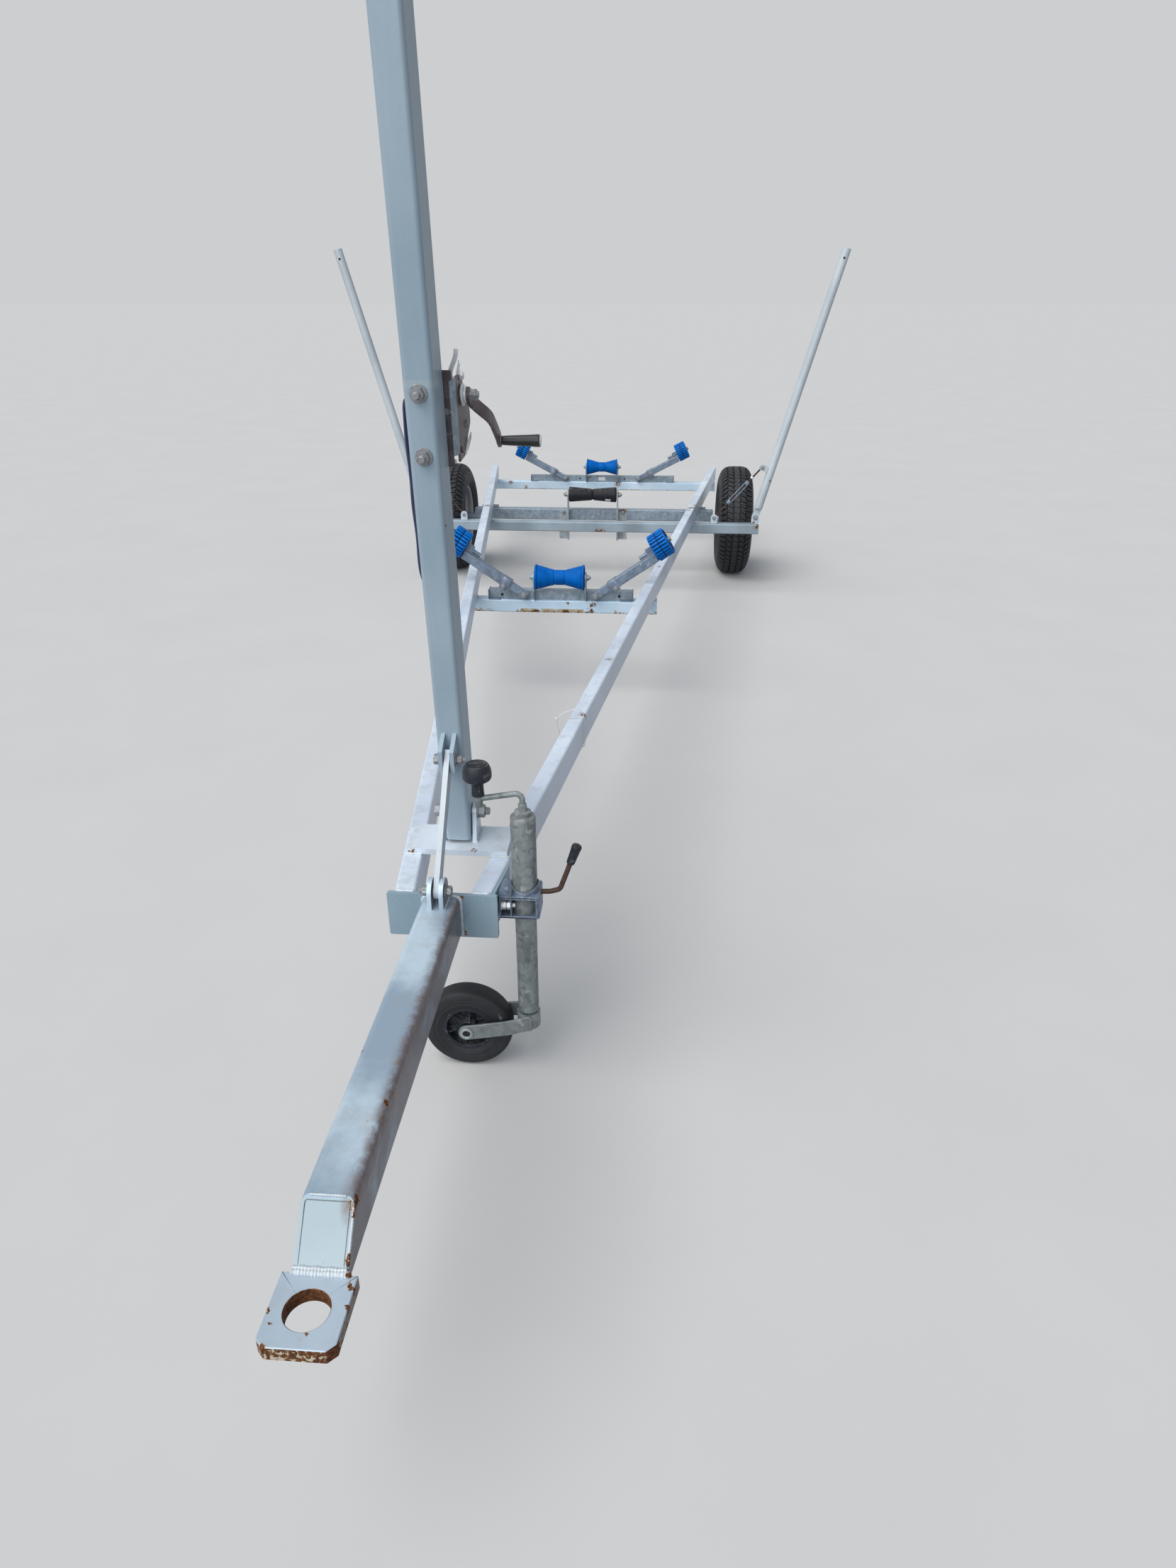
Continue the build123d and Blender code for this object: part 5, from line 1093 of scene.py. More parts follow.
    # A darker copy of the blue plastic for the keel rollers: painted shade, matched to where they sat in shade.
    KEEL = Moulded("keel_plastic", (0.0012, 0.131, 0.503), (0.001, 0.097, 0.388), sheen=0.4, wear=0.015, shine=0.06)
    BLACK_ROLLER = Moulded("black_rubber", (0.014, 0.016, 0.021), (0.01, 0.011, 0.014), sheen=0.42, shine=0.22)
    KNOB = Moulded("knob_plastic", (0.025, 0.029, 0.039), (0.016, 0.019, 0.026), sheen=0.4, wear=0.35, shine=0.25)
    GRIP = Moulded("grip_plastic", (0.014, 0.014, 0.015), (0.009, 0.009, 0.01), sheen=0.28, wear=0.1)
    STRAP = Webbing()
    POLE = SilverPaint("pole_paint", light=(0.59, 0.64, 0.67), dark=(0.48, 0.54, 0.58), metal=0.05,
                       spots=((0.95, 1.652, 0.585, 0.015), (-0.93, 1.65, 0.6, 0.012), (0.9, 1.65, 0.44, 0.012)))
    NYLON = Plain("white_nylon", (0.74, 0.75, 0.76), 0.42, 0.06)
    LABEL = Plain("blank_label", (0.82, 0.83, 0.84), 0.4, 0.06)
    # Dark discs with this finish stand for holes: painted shade.
    PAINTED_HOLE_SHADE = Plain("painted_hole_shade", (0.012, 0.012, 0.013), 0.8)


@cache
def made(finish: Finish) -> bpy.types.Material:
    """A finish's material, made when a piece first wears it."""
    return finish.value.material()


# ---------------------------------------------------------------------------
# Sub-assemblies
# ---------------------------------------------------------------------------

LEAN = radians(5.6)
RAIL_HALF = 0.0201
RAIL_EDGES = (-RAIL_HALF, RAIL_HALF)
MAST = Place((0.0, -2.011, 0.51), RIGHT, (0.0, cos(LEAN), sin(LEAN)), (0.0, -sin(LEAN), cos(LEAN)))
WINCH = MAST.moved(0.0, 0.04, 0.762)


def rail_x(y: float) -> float:
    """Half the rails' spacing at a distance along the trailer."""
    return 0.072 + (y + 2.214) * 0.122075


class Assembly:
    """A group of the trailer's pieces, with its sizes as fields."""

    def build(self) -> None:
        """Builds the group's pieces."""
        raise NotImplementedError


@dataclass(frozen=True)
class MainFrame(Assembly):
    """Rails, front plate, drawbar, eye, mast foot and crossbeams, with their welds and bolts.

    The tops are the heights that the beads on the rails and on the foot plate run at.
    """

    eye_place: Point = (0.0, -2.986, 0.361)
    eye_hole: float = 0.028
    eye_thickness: float = 0.022
    slope_foot: float = -2.98
    slope_top: float = -2.9315
    plate_front: float = -2.2255
    plate_rear: float = -2.2135
    rail_top: float = 0.4405
    foot_top: float = 0.4525
    rail_foot: float = 0.3605
    crossbeams: tuple[float, ...] = (0.13, 1.67, 2.976)
    axle_seams: tuple[float, ...] = (2.066, 2.126)
    mast_pin: tuple[float, float] = (-2.011, 0.51)
    strut_pin: tuple[float, float] = (-2.252, 0.467)
    foot_bolts: tuple[tuple[float, float, Thread], ...] = ((0.888, 0.396, Thread.M12), (0.671, 0.39, Thread.M10))

    def build(self) -> None:
        """Dresses the frame's nodes and adds the eye, welds, bolts and the cable tie on the rail."""
        dress(Finish.RAILS, "left_rail", "right_rail")
        for finish, node in ((Finish.PLATE, "front_plate"), (Finish.DRAWBAR, "drawbar"), (Finish.FOOT, "mast_foot"),
                             (Finish.FRONT_BEAM, "front_roller_beam"), (Finish.GUIDE_BEAM, "guide_beam"),
                             (Finish.REAR_BEAM, "rear_roller_beam"), (Finish.ZINC_BEAM, "axle_beam"),
                             (Finish.BRACKET, "axle_roller_bracket")):
            dress(finish, node)
        self.eye()
        self.welds()
        self.bolts()
        self.tie()

    def eye(self) -> None:
        """The towing eye: a thick plate with cut corners and a round hole."""
        corners = [(-0.048, 0.0), (0.048, 0.0), (0.048, -0.0895), (0.0375, -0.1), (-0.0375, -0.1), (-0.048, -0.0895)]
        outline = rounded(corners, (0.0004, 0.0004, 0.003, 0.003, 0.003, 0.003))
        plate = pierced(outline, (0.0, -0.05), self.eye_hole, self.eye_thickness, 0.0011) + self.eye_place
        Surface().grid(plate, along=True).build("towing_eye_plate", Finish.EYE, "frame", "frame_paint",
                                                ("towing_eye",))

    def welds(self) -> None:
        """Beads where the drawbar meets the plate and the eye, round the foot plate and under the rails."""
        beads = Surface()
        y = self.plate_front
        around = rounded([(-0.036, y, 0.351), (-0.036, y, 0.4395), (0.036, y, 0.4395), (0.036, y, 0.351)], 0.012, 7,
                         closed=False)
        bead(beads, around, 0.0075)
        for ends, width, phase in (([(-0.024, -2.9268, 0.4395), (0.024, -2.9268, 0.4395)], 0.0038, 1.0),
                                   ([(-0.037, -2.9875, 0.3735), (0.04, -2.9875, 0.3735)], 0.0095, 2.0),
                                   ([(-0.036, -2.9835, 0.3755), (0.036, -2.9835, 0.3755)], 0.007, 5.0),
                                   ([(0.0335, -2.9325, 0.4305), (0.0345, -2.982, 0.3805)], 0.0042, 3.0)):
            bead(beads, ends, width, phase)
        for side in SIDES:
            bead(beads, [(side * 0.103, y, 0.4402) for y in (-2.0735, -1.97)], 0.006, side)
            for y, phase in ((-2.0745, 1 + side), (-1.9685, 3 + side)):
                bead(beads, [(side * (rail_x(y) + edge), y, self.rail_top) for edge in RAIL_EDGES], 0.006, phase)
            for x, phase in ((0.028, 2 * side), (0.0368, 2 + side)):
                bead(beads, [(side * x, y, self.foot_top) for y in (-2.041, -1.981)], 0.0055, phase)
            bead(beads, [(side * 0.0158, y, self.rail_top) for y in (-2.276, -2.228)], 0.005, 1 + side)
            middle = rail_x(-2.214)
            for x in (middle - RAIL_HALF, middle + RAIL_HALF):
                bead(beads, [(side * x, self.plate_rear, z) for z in (0.362, 0.4395)], 0.0055, 7 * x + side)
            bead(beads, [(side * (middle + d), self.plate_rear, 0.4402) for d in (-0.018, 0.018)], 0.0055, 4 + side)
            for y in self.crossbeams:
                for edge in RAIL_EDGES:
                    ends = [(side * (rail_x(y + d) + edge), y + d, self.rail_foot) for d in (-0.026, 0.026)]
                    bead(beads, ends, 0.006, y + 9 * edge)
            for y in self.axle_seams:
                bead(beads, [(side * (rail_x(y) + d), y, 0.3485) for d in (-0.044, 0.044)], 0.0055, y + side)
        beads.build("weld_beads", Finish.WELD, "frame", "frame_paint", sharp=60)
        seam = rounded([(-0.029, self.slope_foot, 0.379), (-0.029, self.slope_top, 0.435),
                        (0.029, self.slope_top, 0.435), (0.029, self.slope_foot, 0.379)], 0.003, 4, closed=False)
        Surface().grid(sweep(circle(0.0005, 6), spaced(seam, 0.002), (0.0, -0.75, 0.66))).build(
            "slope_seam", Finish.OLD_ZINC, "frame", "frame_paint", sharp=60)

    def bolts(self) -> None:
        """Nuts and threads of the mast's pivot, the strut's lower pin and the feet on the guide beam."""
        metal = Surface()
        for side in SIDES:
            fasten(metal, (side * 0.0362, *self.mast_pin), (side, 0, 0), Thread.M16, 0.009 if side > 0 else 0.0,
                   head=1.05)
            fasten(metal, (side * 0.0152, *self.strut_pin), (side, 0, 0), Thread.M12, 0.006 if side < 0 else 0.0)
            for half, z, size in self.foot_bolts:
                fasten(metal, (side * half, 1.656, z), FORWARD, size)
                fasten(metal, (side * half, 1.6822, z), REARWARD, size, 0.006)
        metal.build("frame_bolts", Finish.BOLTS)

    def tie(self) -> None:
        """A white cable tie round the right rail: a loose band, its head and its tail."""
        band = flowing([(0.133, -1.352, 0.447), (0.144, -1.34, 0.456), (0.16, -1.33, 0.46), (0.178, -1.324, 0.464),
                        (0.19, -1.322, 0.46), (0.201, -1.321, 0.442), (0.204, -1.321, 0.41), (0.2045, -1.321, 0.37),
                        (0.199, -1.322, 0.356), (0.18, -1.326, 0.353), (0.16, -1.332, 0.356), (0.146, -1.344, 0.38),
                        (0.135, -1.352, 0.418), (0.1315, -1.355, 0.443)], 8)
        inner = flowing([(0.16, -1.3335, 0.4412), (0.17, -1.33, 0.4425), (0.188, -1.327, 0.442),
                         (0.199, -1.326, 0.4412)], 6)
        tie = Surface()
        for path in (band, inner):
            tie.grid(sweep(box_outline(0.0012, 0.0036, 0.0004, 3), path, (0.0, 1.0, 0.15)))
        head = facing((0.1315, -1.3545, 0.4475), (0.55, -0.25, 0.8), (0.0, 1.0, 0.2))
        tie.grid(head.lay(slab(box_outline(0.0085, 0.0078, 0.001), 0.0058, 0.0006)))
        tail = np.array([(0.1315, -1.3545, 0.4475), (0.1235, -1.356, 0.452)])
        tie.grid(sweep(box_outline(0.0012, 0.0036, 0.0004, 3), spaced(tail, 0.002), (0.0, 1.0, 0.15)))
        tie.build("rail_cable_tie", Finish.NYLON, "frame", "frame_paint", sharp=50)


@dataclass(frozen=True)
class MastGroup(Assembly):
    """Mast with its strut, the winch on its back and the strap beside it.

    The mast's pieces are placed in its own leaning frame, and the winch's in a frame at the middle of its base.
    """

    mast_front: float = -0.0402
    winch_rise: float = 0.762
    bolt_rise: float = 0.049
    cheek_half: float = 0.038
    drum_centre: Point = (0.0, 0.096, -0.033)
    shaft_centre: Point = (0.0, 0.062, 0.022)
    grip_root: Point = (0.0915, 0.1596, -0.0756)
    drum_teeth: int = 36
    pinion_teeth: int = 11
    strap_width: float = 0.046
    strap_thickness: float = 0.0028

    def build(self) -> None:
        """Dresses the mast and builds the winch's parts."""
        dress(Finish.MAST, "mast")
        dress(Finish.STRUT, "mast_strut")
        metal = Surface()
        for side in SIDES:
            fasten(metal, MAST.at(side * 0.0152, -0.064, 0.156), (side, 0, 0), Thread.M12, 0.007 if side > 0 else 0.0)
        metal.build("mast_strut_bolt", Finish.BOLTS, "mast")
        self.through_bolts()
        self.housing()
        self.drum()
        self.pawl()
        self.crank()
        self.strap()

    def through_bolts(self) -> None:
        """The winch's two bolts: large washers, nuts and long threads on the mast's front."""
        metal = Surface()
        for rise in (-self.bolt_rise, self.bolt_rise):
            at = MAST.at(0.0, self.mast_front, self.winch_rise + rise)
            front = tuple(-c for c in MAST.y)
            rim = [(0, 0), (0, 0.0141), (0.0004, 0.0146), (0.002, 0.0146), (0.0025, 0.014), (0.0025, 0)]
            metal.grid(lathe(rim, at, front, 40))
            nut = [(0.0025, 0), (0.0025, 0.01), (0.0034, 0.0108), (0.0112, 0.0108), (0.0124, 0.0098), (0.0124, 0)]
            metal.grid(lathe(nut, at, front, 36, hexagon(0.0186)))
            run = np.arange(0.0124, 0.0236, 0.0004)
            thread = np.column_stack([run, 0.0058 - 0.0005 * (0.5 + 0.5 * np.cos(2 * pi * run / 0.0016))])
            metal.grid(lathe(np.concatenate([[(0.0124, 0)], thread, [(0.0242, 0.0048), (0.0242, 0)]]), at, front, 24))
            fasten(metal, WINCH.at(0.0, 0.0052, rise), MAST.y, Thread.M12)
        metal.build("winch_bolts", Finish.BOLTS, "mast")

    def housing(self) -> None:
        """The winch's frame: one sheet bent round from cheek to cheek, the cheeks, and a base that stands above. The
        bend's paler zinc is a painted highlight and the base's dark zinc a painted shade.
        """
        # The bend wears the paler channel zinc: a painted highlight against the darker base and cheeks.
        line = rounded([(-0.038, 0.024), (-0.038, 0.0025), (0.038, 0.0025), (0.038, 0.024)], 0.01, 10, closed=False)
        dense = spaced(line, 0.002)
        Surface().grid(WINCH.lay(strip(dense, 0.004, -0.067, 0.056))).build(
            "winch_bend", Finish.CHANNEL, "mast", "galvanised", ("winch_frame",))
        # The base wears the dark winch zinc: painted shade of the recess in the mast's shadow.
        sheet = Surface()
        base = rounded([(-0.0385, 0.071), (-0.0385, 0.0565), (-0.028, 0.054), (-0.028, -0.08), (-0.0385, -0.0825),
                        (-0.0385, -0.085), (0.0385, -0.085), (0.0385, -0.0825), (0.0335, -0.08), (0.0335, 0.054),
                        (0.0385, 0.0565), (0.0385, 0.071)], 0.001, 3)
        upright = np.array([[1, 0, 0], [0, 0, 1], [0, 1, 0]])
        sheet.grid(WINCH.moved(0.0, 0.0012, 0.0).lay(slab(base, 0.0024) @ upright))
        cheek = rounded([(0.0238, -0.082), (0.0856, -0.082), (0.1076, -0.055), (0.138, -0.039), (0.138, -0.019),
                         (0.1242, 0.004), (0.087, 0.026), (0.0883, 0.056), (0.0238, 0.056)],
                        (0.0004, 0.006, 0.008, 0.008, 0.008, 0.006, 0.004, 0.006, 0.0004), 5)
        aside = np.array([[0, 1, 0], [0, 0, 1], [1, 0, 0]])
        for side in SIDES:
            sheet.grid(WINCH.moved(side * self.cheek_half, 0.0, 0.0).lay(slab(cheek, 0.004) @ aside))
            fasten(sheet, WINCH.at(side * 0.0398, 0.036, -0.064), (side, 0, 0), Thread.M6, washer=False)
        for y, z in ((0.045, 0.046), (0.036, -0.064)):
            sheet.grid(lathe(disc(-0.0365, 0.0365, 0.005), WINCH.at(0, y, z), RIGHT, 20))
        sheet.build("winch_housing", Finish.WINCH, "mast")
        flap = rounded([(0.104, -0.047), (0.103, -0.059), (0.083, -0.074), (0.064, -0.079), (0.062, -0.077),
                        (0.078, -0.062)], 0.0015, 4)
        tilt = np.array([[1, 0, 0], [0.13, 1, 0], [0, 0, 1]])
        beside = WINCH.moved(0.0408 - 0.13 * 0.062, 0.0, 0.0)
        Surface().grid(beside.lay(slab(flap, 0.0014) @ aside @ tilt)).build("winch_flap", Finish.ZINC_PAINTED_GLINT, "mast")

    def drum(self) -> None:
        """The drum with wound strap, its toothed wheel, the ends of its shaft and the strap's stitched end."""
        at = WINCH.at(*self.drum_centre)
        coil = Surface()
        layers = [(-0.0325, 0.0), (-0.0325, 0.0285)]
        layers += [(x, 0.0292 + 0.0007 * (k % 2)) for k, x in enumerate(np.linspace(-0.032, 0.0215, 14))]
        coil.grid(lathe(layers + [(0.022, 0.0285), (0.022, 0.0)], at, RIGHT, 40))
        coil.grid(WINCH.moved(0.03, 0.012, -0.06).lay(slab(box_outline(0.007, 0.012, 0.001), 0.004)))
        coil.build("winch_coil", Finish.STRAP, "mast", "strap", ("winch_drum",))
        tag = WINCH.moved(0.031, 0.008, -0.0775).lay(slab(box_outline(0.009, 0.007, 0.001), 0.006))
        Surface().grid(tag).build("winch_tag", Finish.NYLON, "mast", "strap")
        wheel = Surface()

        def teeth(t: Array, along: Array, radius: Array) -> Array:
            """A wave of teeth, flattened at its top and foot, where the radius is large."""
            return radius + np.where(radius > 0.034, np.clip(np.sin(self.drum_teeth * t) * 1.6, -1, 1) * 0.0019, 0)
        wheel.grid(lathe(chamfered(0.024, 0.033, 0.036, 0.0004, 0.0005), at, RIGHT, 288, teeth))
        wheel.grid(lathe([(-0.0352, 0), (-0.0352, 0.036), (-0.034, 0.0365), (-0.0328, 0.036), (-0.0328, 0)], at,
                         RIGHT, 48))
        wheel.grid(lathe(chamfered(-0.0412, 0.0412, 0.009, 0.0007, 0.0008), at, RIGHT, 28))
        for side in SIDES:
            fasten(wheel, at + (side * 0.04, 0, 0), (side, 0, 0), Thread.M8, head=0.35)
        wheel.build("winch_wheel", Finish.BOLTS, "mast")

    def pawl(self) -> None:
        """The pawl: a lever whose near-white colour is a painted glint, standing up from inside the right cheek, with
        its screw and a bent spring.
        """
        lever = Surface()
        bend = flowing([(0.0285, 0.044, 0.046), (0.0285, 0.043, 0.06), (0.032, 0.042, 0.07), (0.0375, 0.041, 0.081),
                        (0.0405, 0.04, 0.09), (0.0415, 0.04, 0.098)], 6)
        lever.grid(WINCH.lay(sweep(box_outline(0.0076, 0.0036, 0.0007), bend, REARWARD)))
        fasten(lever, WINCH.at(0.0402, 0.066, 0.052), RIGHT, Thread.M8, 0.0012, head=0.7)
        for path, wide in (([(0.039, 0.05, 0.056), (0.04, 0.05, 0.062), (0.0435, 0.05, 0.074)], 0.0042),
                           ([(0.041, 0.056, 0.06), (0.0412, 0.056, 0.078)], 0.0018)):
            lever.grid(WINCH.lay(sweep(box_outline(wide, 0.0016, 0.0004), spaced(np.array(path), 0.003), REARWARD)))
        lever.build("winch_pawl", Finish.ZINC_PAINTED_GLINT, "mast", sharp=40)

    def crank(self) -> None:
        """Crank shaft with its pinion and two rings, the bent arm and the turning grip."""
        shaft = WINCH.at(*self.shaft_centre)

        def pinion(t: Array, along: Array, radius: Array) -> Array:
            """A wave of teeth between the cheeks."""
            wave = np.clip(np.sin(self.pinion_teeth * t) * 1.5, -1, 1) * 0.0019
            return radius + np.where((along > 0.0235) & (along < 0.0335), wave, 0)

        metal = Surface()
        metal.grid(lathe([(-0.0455, 0), (-0.0455, 0.0075), (-0.0445, 0.0085), (0.0232, 0.0085), (0.0236, 0.0118),
                          (0.024, 0.0122), (0.033, 0.0122), (0.0334, 0.0118), (0.0338, 0.0085), (0.0525, 0.0085),
                          (0.056, 0.008), (0.056, 0)], shaft, RIGHT, 132, pinion))
        for low, high, radius in ((0.0402, 0.0411, 0.012), (0.0415, 0.0422, 0.01), (0.0426, 0.0456, 0.0186),
                                  (0.0456, 0.0478, 0.0105), (0.0478, 0.0506, 0.0138)):
            edge = 0.25 * (high - low)
            metal.grid(lathe(chamfered(low, high, radius, edge, edge), shaft, RIGHT, 48))
        end = Surface()
        nut = [(0.057, 0), (0.057, 0.0094), (0.0582, 0.0101), (0.0668, 0.0101), (0.0678, 0.0094), (0.068, 0)]
        end.grid(lathe(nut, shaft, RIGHT, 36, hexagon(0.0175)))
        end.grid(lathe(disc(0.0565, 0.0575, 0.0112), shaft, RIGHT, 40))
        tip = [(0.068, 0), (0.068, 0.0062), (0.0712, 0.006), (0.0716, 0.0052), (0.0716, 0)]
        end.grid(lathe(tip, shaft, RIGHT, 24))
        end.build("winch_shaft_nut", Finish.BOLTS, "winch_crank")
        metal.build("winch_shaft", Finish.ZINC_PAINTED_GLINT, "winch_crank", "galvanised", ("winch_crank",))
        arm = Surface()
        reach = [(-0.012, 0.0532), (0.0, 0.0532), (0.012, 0.054), (0.024, 0.059), (0.042, 0.0685), (0.058, 0.0775),
                 (0.072, 0.0822), (0.095, 0.085), (0.12, 0.0872), (0.138, 0.0878), (0.15, 0.088)]
        path = flowing([(x, 0.062 + s * 0.7071, 0.022 - s * 0.7071) for s, x in reach], 6)
        s = np.linspace(0, 1, len(path))
        breadth = np.sqrt(np.clip(1 - (np.abs(s - 0.5) / 0.5) ** 14, 0.02, 1)) * (1.0 - 0.12 * s)
        size = np.stack([breadth, np.ones(len(path))], -1)
        arm.grid(WINCH.lay(sweep(box_outline(0.026, 0.0062, 0.0012, 4), path, RIGHT, size)))
        arm.build("winch_crank_arm", Finish.WINCH, "winch_crank", sharp=45)
        hand = WINCH.at(*self.grip_root)
        flank = flowing([(0.0008, 0.0078), (0.004, 0.0084), (0.02, 0.0092), (0.048, 0.0103), (0.064, 0.0111),
                         (0.069, 0.0112), (0.0712, 0.0108)], 5).tolist()
        grip = Surface().grid(lathe([(0.0, 0.0), (0.0, 0.0066)] + flank + [(0.0722, 0.01), (0.0722, 0.0)], hand,
                                    RIGHT, 40))
        grip.build("winch_crank_grip", Finish.GRIP, "winch_crank", "black_plastic", ("winch_grip",))
        pin = Surface().grid(lathe([(0.0716, 0), (0.0716, 0.0102), (0.0722, 0.0108), (0.073, 0.0106),
                                    (0.0734, 0.0098), (0.0734, 0)], hand, RIGHT, 30))
        pin.grid(lathe([(-0.009, 0), (-0.009, 0.0062), (-0.0082, 0.0068), (0.0, 0.0068), (0.0, 0)], hand, RIGHT, 30))
        pin.build("winch_grip_pin", Finish.ZINC_PAINTED_GLINT, "winch_crank")

    def strap(self) -> None:
        """The navy strap: from the drum over the left cheek, down beside the mast, to its looped end."""
        path = flowing([(-0.0395, 0.059, 0.7915), (-0.045, 0.059, 0.782), (-0.0472, 0.059, 0.756),
                        (-0.0465, 0.059, 0.66), (-0.045, 0.059, 0.55), (-0.0435, 0.059, 0.484),
                        (-0.032, 0.059, 0.453), (-0.0278, 0.059, 0.438), (-0.0274, 0.059, 0.404)], 14)
        run = run_along(path)
        path = path + np.stack([0.0006 * np.sin(run * 60), 0.0008 * np.sin(run * 23), 0 * run], -1)
        section = filled(box_outline(self.strap_thickness, self.strap_width, 0.001, 4), 0.0025)
        grid = sweep(section, path, REARWARD)
        cloth = np.stack(np.broadcast_arrays(run[:, None], section[None, :, 1]), -1)
        woven = Surface().grid(MAST.lay(grid), cloth=cloth)
        fold = flowing([(-0.041, 0.059, 0.482), (-0.029, 0.059, 0.451), (-0.0258, 0.059, 0.434),
                        (-0.0256, 0.059, 0.404)], 8)
        along = np.linspace(0, 0.1, len(fold))[:, None]
        woven.grid(MAST.lay(sweep(section, fold - (0.0, 0.0, 0.001), REARWARD)),
                   cloth=np.stack(np.broadcast_arrays(along, section[None, :, 1]), -1))
        woven.build("winch_strap_web", Finish.STRAP, "mast", "strap", ("winch_strap",), woven=True)


@dataclass(frozen=True)
class JockeyGroup(Assembly):
    """Jockey wheel: the clamp on the right rail, tube, crank with knob, fork and wheel."""

    x: float = 0.15
    y: float = -2.164
    crank_x: float = 0.068
    wheel_x: float = 0.025
    wheel_radius: float = 0.0925
    clamp_front: float = -2.1975
    clamp_rear: float = -2.1305
    clamp_plates: tuple[float, float] = (0.3775, 0.4225)
    clamp_bolt: tuple[float, float] = (-2.1865, 0.4)
    spokes: int = 6

    def build(self) -> None:
        """Dresses the leg and builds the group's parts."""
        dress(Finish.TUBE, "jockey_leg")
        self.clamp()
        self.lever()
        self.tube()
        self.fork()
        self.wheel()

    def clamp(self) -> None:
        """The clamp: a plate on the rail, a folded box with two windows in front, and a saddle round the tube."""
        y0, y1, x0 = self.clamp_front, self.clamp_rear, rail_x(self.y) + RAIL_HALF + 0.0062
        plate = Surface()
        back = np.array([(rail_x(y) + RAIL_HALF + 0.0031, y) for y in (-2.2136, -2.18, -2.14, -2.1044)])
        plate.grid(strip(back, 0.0058, 0.3625, 0.4375, 0.0008))
        plate.build("jockey_rail_plate", Finish.PLATE, "frame", "frame_paint", ("jockey_clamp",))
        box = Surface()
        outline = rounded([(x0 - 0.15, y0 - self.y), (0.031, y0 - self.y), (0.031, y1 - self.y),
                           (x0 - 0.15, y1 - self.y)], (0.001, 0.007, 0.007, 0.001), 6)
        for z in self.clamp_plates:
            box.grid(pierced(outline, (0.0, 0.0), 0.0246, 0.003) + (self.x, self.y, z), along=True)
        around = rounded([(x0, y0 + 0.0012), (0.1798, y0 + 0.0012), (0.1798, y1 - 0.0012), (x0, y1 - 0.0012)], 0.006,
                         6, closed=False)
        side = spaced(around, 0.003)
        in_front = (side[:, 1] < y0 + 0.004) & (side[:, 0] < 0.1735)
        rear = side[~in_front]
        box.grid(strip(rear[rear[:, 0] > 0.169], 0.0024, 0.3785, 0.4215))
        flange = np.array([(x0, y1 - 0.0012), (0.168, y1 - 0.0012), (0.1735, y1 - 0.0012)])
        box.grid(strip(flange, 0.0024, 0.3785, 0.4215))
        for x, wide in ((x0 + 0.0012, 0.0026), (0.1265, 0.0026), (0.1752, 0.003)):
            box.grid(strip(np.array([(x, y0 + 0.0002), (x, y0 + 0.022)]), wide, 0.3785, 0.4215))
        box.grid(strip(np.linspace((x0, y0 + 0.0012), (0.176, y0 + 0.0012), 6), 0.0024, 0.3765, 0.3815))
        box.grid(strip(np.linspace((x0, y0 + 0.0012), (0.176, y0 + 0.0012), 6), 0.0024, 0.4175, 0.4235))
        turn = np.linspace(-pi, pi, 73)
        lip = np.column_stack([self.x + 0.0268 * np.cos(turn), self.y + 0.0268 * np.sin(turn)])
        rise = 0.436 + 0.0045 * np.cos(2 * turn) + 0.002 * np.sin(turn)
        box.grid(strip(lip, 0.0024, 0.4235, rise))
        wing = rounded([(0.0995, 0.4235), (0.1275, 0.4235), (0.129, 0.442), (0.1225, 0.464), (0.113, 0.46)],
                       (0.001, 0.002, 0.008, 0.004, 0.012), 5)
        leaf = facing((0.0, y0 + 0.004, 0.0), FORWARD, UP)
        box.grid(leaf.lay(slab(wing, 0.0028)))
        rivet = [(0, 0), (0, 0.0056), (0.0008, 0.006), (0.002, 0.0054), (0.003, 0.0036), (0.0034, 0.0)]
        box.grid(lathe(rivet, (0.1205, y0 + 0.0026, 0.44), FORWARD, 24))
        box.build("jockey_clamp_box", Finish.ARMS)
        bolt = Surface()
        fasten(bolt, (x0 + 0.0025, *self.clamp_bolt), RIGHT, Thread.M10)
        bolt.grid(lathe(disc(0, 0.026, 0.0046), (x0 + 0.003, *self.clamp_bolt), RIGHT, 16))
        fasten(bolt, (0.1252, *self.clamp_bolt), (-1, 0, 0), Thread.M10, washer=False)
        bolt.build("jockey_clamp_bolt", Finish.ZINC_PAINTED_GLINT)

    def lever(self) -> None:
        """The clamp's lever: a rusty rod bent upwards and a black grip that widens to its end."""
        rod = rounded([(0.1775, self.y, 0.419), (0.199, self.y, 0.42), (0.218, self.y, 0.426), (0.238, self.y, 0.484),
                       (0.241, self.y, 0.4925)], 0.012, 9, closed=False)
        Surface().grid(sweep(circle(0.005, 14), spaced(rod, 0.002), REARWARD)).build(
            "jockey_lever_rod", Finish.RUSTY)
        profile = flowing([(0.0, 0.0076), (0.004, 0.0083), (0.015, 0.0086), (0.03, 0.0094), (0.037, 0.01),
                           (0.041, 0.0085), (0.0425, 0.004)], 5).tolist()
        grip = lathe([(0.0, 0.0)] + profile + [(0.0428, 0.0)], (0.2382, self.y, 0.4842), (0.326, 0.0, 0.945), 28)
        Surface().grid(grip).build("jockey_lever_end", Finish.KNOB, "frame", "black_plastic",
                                   ("jockey_lever_grip",))

